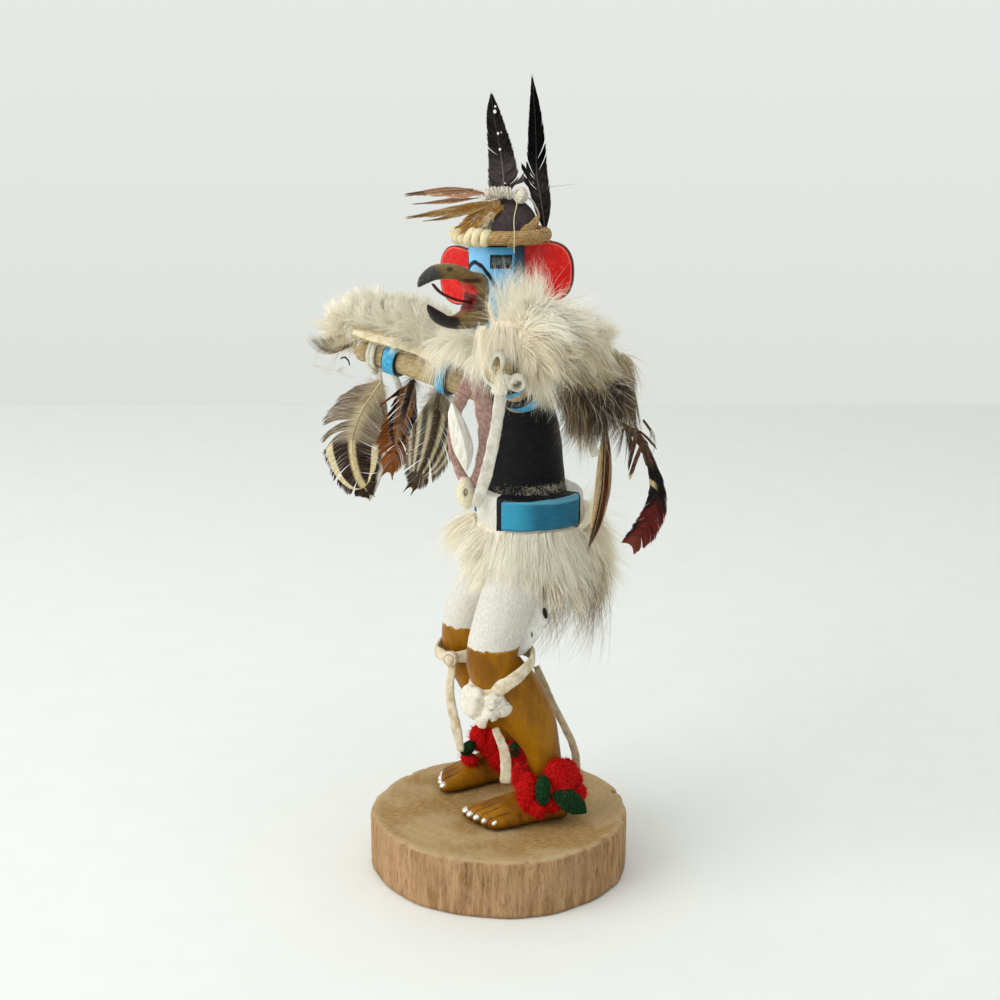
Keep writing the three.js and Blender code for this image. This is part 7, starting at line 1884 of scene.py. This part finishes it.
def build_far_wing():
    pm = pelt_mat("pelt_far", "fbf3e1", "efe3c9", "dccdae")
    rows = [[-20, -2.5, 168.5, 5, 3.4], [-30, -11, 172, 6, 4.2], [-41, -19.5, 175.0, 6.4, 4.5], [-51, -27.8, 175.4, 6, 4.2], [-57.5, -34, 172.8, 4.2, 3.6], [-60, -37.6, 170.6, 2.2, 2.2]]
    o = body_of_fur("wing_fur_right_pelt", [tube(round_ends(rows, 4, .5), 32, 60, (.66, -.75, 0))], .9, pm, .45)
    place(o, "rabbit_fur", "wing_fur_right")
    axis = unit(A(-40, -30, 6))

    def flow(p, n):
        return unit(axis * .30 + A(0, 0, .35) + n * .35 + DOWN * sstep(172, 166, p[:, 2])[:, None] * .7)

    def tone(p):
        # lower part darker: painted shade on the underside
        return .93 - .14 * sstep(174, 167, p[:, 2]) - .22 * blob(p, (-53, -33, 168), (6, 6, 5)) + .08 * vnoise(p, .2, 430, 2)
    low = lambda p: 1 - .85 * (sstep(171.5, 167.0, p[:, 2]) * (((p - A(-40, -20, 0)) @ CAM_FACE) > -4))
    sets = [fur(o, 14500, 7.2, flow, tone, 431, .20, .85, .05, 210, .76, 4, low, .22, None, .28, 1.25, .22)]
    sets += lock([[(-49.5, -30.5, 169.5), (-53.5, -35.5, 165.6), (-55.6, -40.6, 164.0), (-57.0, -44.6, 166.0), (-57.6, -47.2, 169.8)]], 210, .55, .45, 432, .20, .15, 8, .9)
    sets += lock([[(-48.5, -30.5, 171.0), (-52.5, -35.5, 168.6), (-54.6, -39.6, 166.6), (-56.0, -42.6, 165.4)], [(-50, -31, 171), (-54, -36, 170.6), (-57.5, -40, 171.6)]], 240, 1.0, .5, 433, .52, .14, 7)
    sets.append(strays(o, flow, 1000, 6, 13, 434, .88, .095, 1.0, .5, .42, .02, low))
    # thin strays at the tip
    sets += lock([[(-57, -40, 168), (-59, -44, 163.5), (-58.6, -46, 159)], [(-52, -36, 167), (-53.6, -39.5, 160.5), (-53, -41, 153)], [(-54, -36, 158.8), (-50, -39, 158.6), (-47, -32, 157.6)], [(-57, -45, 160), (-52, -40.6, 159.2), (-46.4, -33.6, 158.8)]], 9, .7, .5, 435, .42, .085, 7)
    join_ribbons("wing_fur_right_hair", sets, fur_mat, "rabbit_fur")
    # flesh side of the hide: a cream strip with two cut edges
    line = [(-46.4, -34.2, 172.4), (-41.9, -29.2, 171.2), (-36.6, -23.2, 170.0), (-31.8, -17.9, 168.6), (-27.4, -13.9, 166.6), (-23.0, -11.8, 163.6)]
    v, f = strap([[*(A(*p) + CAM_FACE * 1.6), h] for p, h in zip(line, (1.0, 1.6, 1.8, 2.0, 2.1, 1.6))], A(.94, -.342, .25), 1.5, 90, 16, 436, .08, .12)
    m = Mat("pelt_edge", rough=.85, spec=.2)
    n1 = m.noise(m.pos, .5, 3); n2 = m.noise(m.pos, 2.6, 3, .6)
    m.finish(m.mix(m.ss(n1, .36, .66), srgb("ede1c4"), srgb("d9c8a0")), None, m.bump(n2, .4, .15))
    place(make("wing_hide_edge", v, f, m.mat), "rabbit_fur")
    m2 = Mat("cut_edge", rough=.85, spec=.2); k = m2.noise(m2.pos, 1.2, 3); m2.finish(m2.mix(k, srgb("a18b60"), srgb("c4b084")))
    parts = []
    for dz, r in ((1.9, .26), (-1.9, .22)):
        s = smooth_rows(np.array(line, float), 70) + CAM_FACE * 2.35 + A(0, 0, dz * .95)
        s = s + vnoise3(s, .5, 437) * .25
        parts.append(tube(np.column_stack([s, np.full((len(s), 2), r)]), 8, 0, (0, 0, 1), smooth=False))
    v, f = merge(parts); place(make("wing_hide_cut", v, f, m2.mat), "rabbit_fur")
    # a dark curved thread near the wrist
    v, f = tube([[-48.2, -38.2, 163.2, .24, .24], [-47.4, -36.9, 163.6, .28, .28], [-46.8, -35.9, 162.4, .26, .26], [-46.7, -35.6, 160.9, .16, .16]], 8, 24, (1, 0, 0))
    m3 = Mat("dark_thread", rough=.7); k = m3.noise(m3.pos, 1.2, 2); m3.finish(m3.mix(k, srgb("171310"), srgb("2e2620")))
    place(make("wrist_thread", v, f, m3.mat), "dark_feather")


def build_neck():
    pm = pelt_mat("pelt_neck", "f8efdb", "e8dabf", "c8b594")
    o = body_of_fur("neck_fur_pelt", [egg((-3.0, 2, 171.5), (13.5, 12.0, 5.6), (1, 0, 0), (0, 1, 0), 36, 20), egg((-12, -5.5, 171.0), (7.5, 6.0, 4.0), (1, 1, 0), (1, -1, 0), 28, 16)], .95, pm)
    place(o, "rabbit_fur", "neck_fur")
    c0 = A(-4, 2, 176)

    def flow(p, n):
        d = p - c0; d[:, 2] = 0
        return unit(unit(d) * .9 + DOWN * .45 + A(-.2, -.45, 0) * .5)

    def tone(p):
        # lower part darker: painted shade
        return .92 - .14 * sstep(169, 163, p[:, 2])
    def lenf(p):
        return 1 - .45 * sstep(171, 167, p[:, 2])
    sets = [fur(o, 9600, 7.0, flow, tone, 441, .20, .55, .12, 260, .66, 4, None, .14, lenf, .26, 1.0, .18)]
    # long hair from the shoulder over the upper arm
    sets += lock([[(-13.5, -14, 171), (-14.4, -16.4, 166), (-15.8, -17.2, 159.5), (-17.4, -18.2, 152.5)], [(-12.5, -13, 171), (-12.8, -15.6, 165), (-13.4, -16.0, 158), (-15.6, -17.4, 151)],
                  [(-15.5, -14.5, 171), (-17.6, -17.4, 165), (-19.6, -19.2, 158.5), (-21.6, -20.8, 151.5)]], 60, 1.3, .6, 442, .78, .10, 7)
    sets += lock([[(-16, -14, 173), (-18.4, -18.0, 170), (-20.4, -19.6, 165)], [(-12, -13.6, 173), (-13.4, -17.0, 169.6), (-14.6, -18.0, 164.6)], [(-8, -13.2, 172), (-8.2, -17.0, 168.6), (-8.4, -18.0, 163.6)]], 150, 1.2, .55, 446, .88, .14, 6)
    # fur that laps the lower beak and the chest
    sets += lock([[(2, -9, 175), (3, -13.5, 173.6), (3.4, -16.6, 170), (2.8, -17.4, 165.6)], [(-2, -11, 175), (-3.4, -15.6, 172), (-5.4, -18.4, 168.5), (-7.4, -19.4, 165)], [(8, -7, 173), (10.5, -11.4, 171), (12, -13.4, 166.5), (12, -13.8, 162)],
                  [(14, -5, 172), (17.5, -9.4, 169), (18.4, -10.6, 165), (17, -10.6, 161)], [(6, -8, 172), (7.4, -12.6, 168), (7.6, -13.6, 163)]], 170, 1.5, .55, 443, .90, .14, 7)
    sets += lock([[(6, -9, 176), (7.4, -14, 178), (7.0, -17.6, 181)], [(2, -10, 176), (1.4, -16.6, 177.4), (-.6, -22, 180)], [(-3, -11, 176), (-5.4, -18.0, 176.4), (-8.6, -24.0, 178.4)]], 34, 1.2, .5, 444, .94, .075, 7)
    sets.append(strays(o, flow, 500, 8, 13, 445, .92, .085, 1.0, .35, .2, .12))
    join_ribbons("neck_fur_hair", sets, fur_mat, "rabbit_fur")


def build_skirt():
    pm = pelt_mat("pelt_skirt", "f9f3e2", "eae1ca", "d2c8a8")
    rows = [(98.5, 11, 15.0, 14.4, 2.2), (102, 11.3, 17.6, 17.2, 2.2), (107, 11.5, 18.6, 18.2, 2.2), (111, 11.5, 18.2, 17.7, 2.2), (115.6, 11.5, 17.6, 16.9, 2.2)]
    s = smooth_rows(np.array(rows), 30)
    skirt = loft(np.array([ring_xy(-4, r[1], r[0], r[2], r[3], r[4], 64) for r in s]), True)
    tail = tube(round_ends([[0, 25.5, 121, 6.5, 3.0], [.6, 27.6, 112, 8.5, 3.6], [2.0, 28.6, 103, 7.5, 3.2], [2.8, 28.2, 98, 4.0, 2.2]], 4, .5), 28, 40, (1, 0, 0))
    o = body_of_fur("skirt_fur_pelt", [skirt, tail], 1.15, pm)
    place(o, "rabbit_fur", "skirt_fur")
    c0 = A(-4, 11.5, 118)

    def flow(p, n):
        d = p - c0; d[:, 2] = 0
        return unit(DOWN * 1.15 + unit(d) * .42 + 0 * n)

    def tone(p):
        u = p @ RIGHT
        # darker low on the camera side towards the right, and towards the back right: painted shade
        return .90 - .12 * sstep(-6, 10, u) * sstep(106, 98, p[:, 2]) * ((p @ CAM_FACE) > 0) - .08 * sstep(18, 30, u)

    def lenf(p):
        return 1.0 + .30 * sstep(16, 26, p[:, 1]) + .60 * blob(p, (12, 16, 100), (8, 8, 7))
    w2 = lambda p: np.where(p[:, 2] < 98.5, .05, 1.0) * (p[:, 2] < 117.5) + (p[:, 1] > 24) * 1.0
    sets = [fur(o, 17500, 9.4, flow, tone, 451, .215, .40, .08, 420, .60, 4, w2, .07, lenf, .16, .5, .16)]
    # first row under the belt lies close
    rng = RNG(452); n_ = 3400; a = rng.uniform(-math.pi, math.pi, n_); zz = rng.uniform(112.6, 115.6, n_)
    keep = ~((a > -1.75) & (a < -.98)); a = a[keep]; zz = zz[keep]; n_ = len(a)
    k = (np.abs(np.cos(a)) ** 2.3 + np.abs(np.sin(a)) ** 2.3) ** (-1 / 2.3)
    p0 = np.stack([-4 + 18.0 * k * np.cos(a), 11.5 + 17.3 * k * np.sin(a), zz], -1); nn = unit(np.stack([np.cos(a), np.sin(a), a * 0], -1))
    d0 = unit(DOWN + nn * .46 + rng.normal(0, .12, (n_, 3)) + vnoise3(p0, .3, 453) * .3)
    P = bunch_paths(p0, d0, rng.uniform(8, 16, n_), np.full(n_, .10), rng, 5, .06)
    sets.append(ribbons(P, .18 * rng.uniform(.7, 1.2, n_), nn, np.clip(tone(p0) + rng.normal(.04, .06, n_), 0, 1), roll=rng.uniform(-.5, .5, n_)))
    # tuft that sweeps out on the right front side of the hips
    sets += lock([[(-14, -4, 115), (-17.6, -8.4, 110.6), (-20.4, -11.4, 105.0), (-21.6, -12.6, 99.4)], [(-17, -2, 114), (-21.4, -6.0, 109), (-24.0, -8.6, 103), (-25.0, -9.4, 98.0)], [(-12, -5, 114), (-14.0, -8.8, 108.4), (-15.2, -10.6, 102.6), (-16, -11.0, 98.2)],
                  [(-16, -3.6, 115), (-20.0, -8.4, 111.6), (-23.2, -12.2, 106.4), (-24.8, -14.0, 101.4)]], 180, 1.6, .65, 457, .80, .15, 5)
    # long outer hairs, thin, at the back and lower right
    sets.append(strays(o, flow, 1100, 12, 20, 458, .60, .10, .5, .22, .09, .12, lambda q: w2(q) * (.25 + 1.6 * sstep(8, 24, q[:, 1]))))
    g = []
    for i in range(52):
        a = rng.random(); x, y = lerp(lerp(7, -5, a), 14, rng.random()), lerp(9.5, 32, a)
        z0 = rng.uniform(96, 108); l = rng.uniform(20, 38) * (.8 + .2 * a)
        g.append([(x, y, z0), (x + 1.4, y + 1.6 + rng.normal(0, 1), z0 - l * .35), (x + 2.2, y + 1.2 + rng.normal(0, 1.4), z0 - l * .7), (x + 2.4, y - 2.4 + rng.normal(0, 2.4), z0 - l)])
    sets += lock(g, 24, 1.8, .6, 459, .27, .105, 6, 1.4)
    # tuft behind the belt's end
    sets += lock([[(13.4, 22, 116), (15.0, 25, 120), (13.6, 27, 126), (10.6, 27.4, 129.6)], [(10.5, 26, 117), (11.6, 29, 122), (9.8, 30.4, 127)], [(7, 28, 118), (7.8, 31, 122), (6, 32, 126)]], 130, 1.1, .5, 454, .78, .12, 6)
    join_ribbons("skirt_fur_hair", sets, fur_mat, "rabbit_fur")
    # soft fuzz over the band of the kilt and the chest's foot
    rng = RNG(455); n_ = 700; a = rng.uniform(-1.2, 1.1, n_)
    p0 = np.stack([-4 + 13.4 * np.cos(a), 10.2 + 12.6 * np.sin(a), rng.uniform(126.2, 129.2, n_)], -1)
    P = bunch_paths(p0, unit(rng.normal(0, 1, (n_, 3)) + np.stack([np.cos(a), np.sin(a), a * 0 + .3], -1)), rng.uniform(.8, 2.6, n_), np.full(n_, .1), rng, 5, .4)
    join_ribbons("waist_fuzz", [ribbons(P, np.full(n_, .05), unit(P[:, 1] - P[:, 0] + CAM_FACE), rng.uniform(.5, .9, n_), roll=rng.uniform(-1, 1, n_))], fur_mat, "rabbit_fur")
    # grey hide tab at the thigh; its slit is painted shade, darkened on the tab and filled with a small dark piece
    v, f = strap([[13.0, 11.6, 96.0, 2.0], [14.6, 8.6, 90.0, 2.6], [15.4, 5.4, 84.6, 2.8], [15.2, 1.6, 80.2, 2.7], [14.4, -1.0, 77.4, 2.3]], A(.94, -.25, .2), .8, 60, 18, 456, .08, .15)
    m = Mat("thigh_tab_hide", rough=.9, spec=.15)
    x, y, z = m.xyz(); n1 = m.noise(m.pos, .7, 3); n2 = m.noise(m.pos, 2.6, 3)
    c = m.mix(m.ss(n1, .36, .66), srgb("ecebe4"), srgb("dad7cd"))
    # painted shade: the tab darkens along the slit
    q = m.vec("LENGTH", m.cmb((y - 4.8) * (1 / .30), (z - 83.2) * (1 / 1.0), 0.0)); c = m.mix(m.ss(q, .7, 1.1, .9, 0.0), c, srgb("3d342c"))
    m.finish(c, None, m.bump(n2, .5, .2)); place(make("thigh_tab", v, f, m.mat), "white_hide")
    v, f = egg((15.9, 9.2, 89.8), (.4, .75, 1.9), CAM_FACE, unit(A(.342, .94, .25)), 18, 12)
    m = Mat("tab_slit", rough=.9); k = m.noise(m.pos, 1.0, 2); m.finish(m.mix(k, srgb("120d0a"), srgb("2a211b"))); place(make("thigh_tab_slit", v, f, m.mat), "white_hide")


build_near_wing(); build_far_wing(); build_neck(); build_skirt()
# two thin stray hairs behind the crest, and purple-grey fluff by the crown
stray = lock([[(4.6, 8.4, 219.6), (8.5, 14, 221.4), (12.5, 21.6, 222.3)], [(3.0, 9.9, 214.8), (5.5, 13.5, 215.6), (8.0, 17.5, 216.4)]], 1, .02, .0, 461, .12, .15, 8)
stray += lock([[(6.6, -5.6, 212.4), (8.4, -7.8, 211.4), (9.2, -9.6, 209.8)], [(6.4, -4.6, 214.0), (8.2, -6.8, 213.4), (9.6, -8.2, 212.0)], [(6.2, -6.2, 210.4), (8.4, -8.6, 209.4), (9.6, -10.2, 208.6)]], 26, 1.0, .5, 462, .60, .09, 6, 1.6)
join_ribbons("crown_strays", stray, fur_mat, "rabbit_fur")

# ------------------------------------------------------------------ end
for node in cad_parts.values():
    if not node.hide_render and not node.get("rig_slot"):
        pass
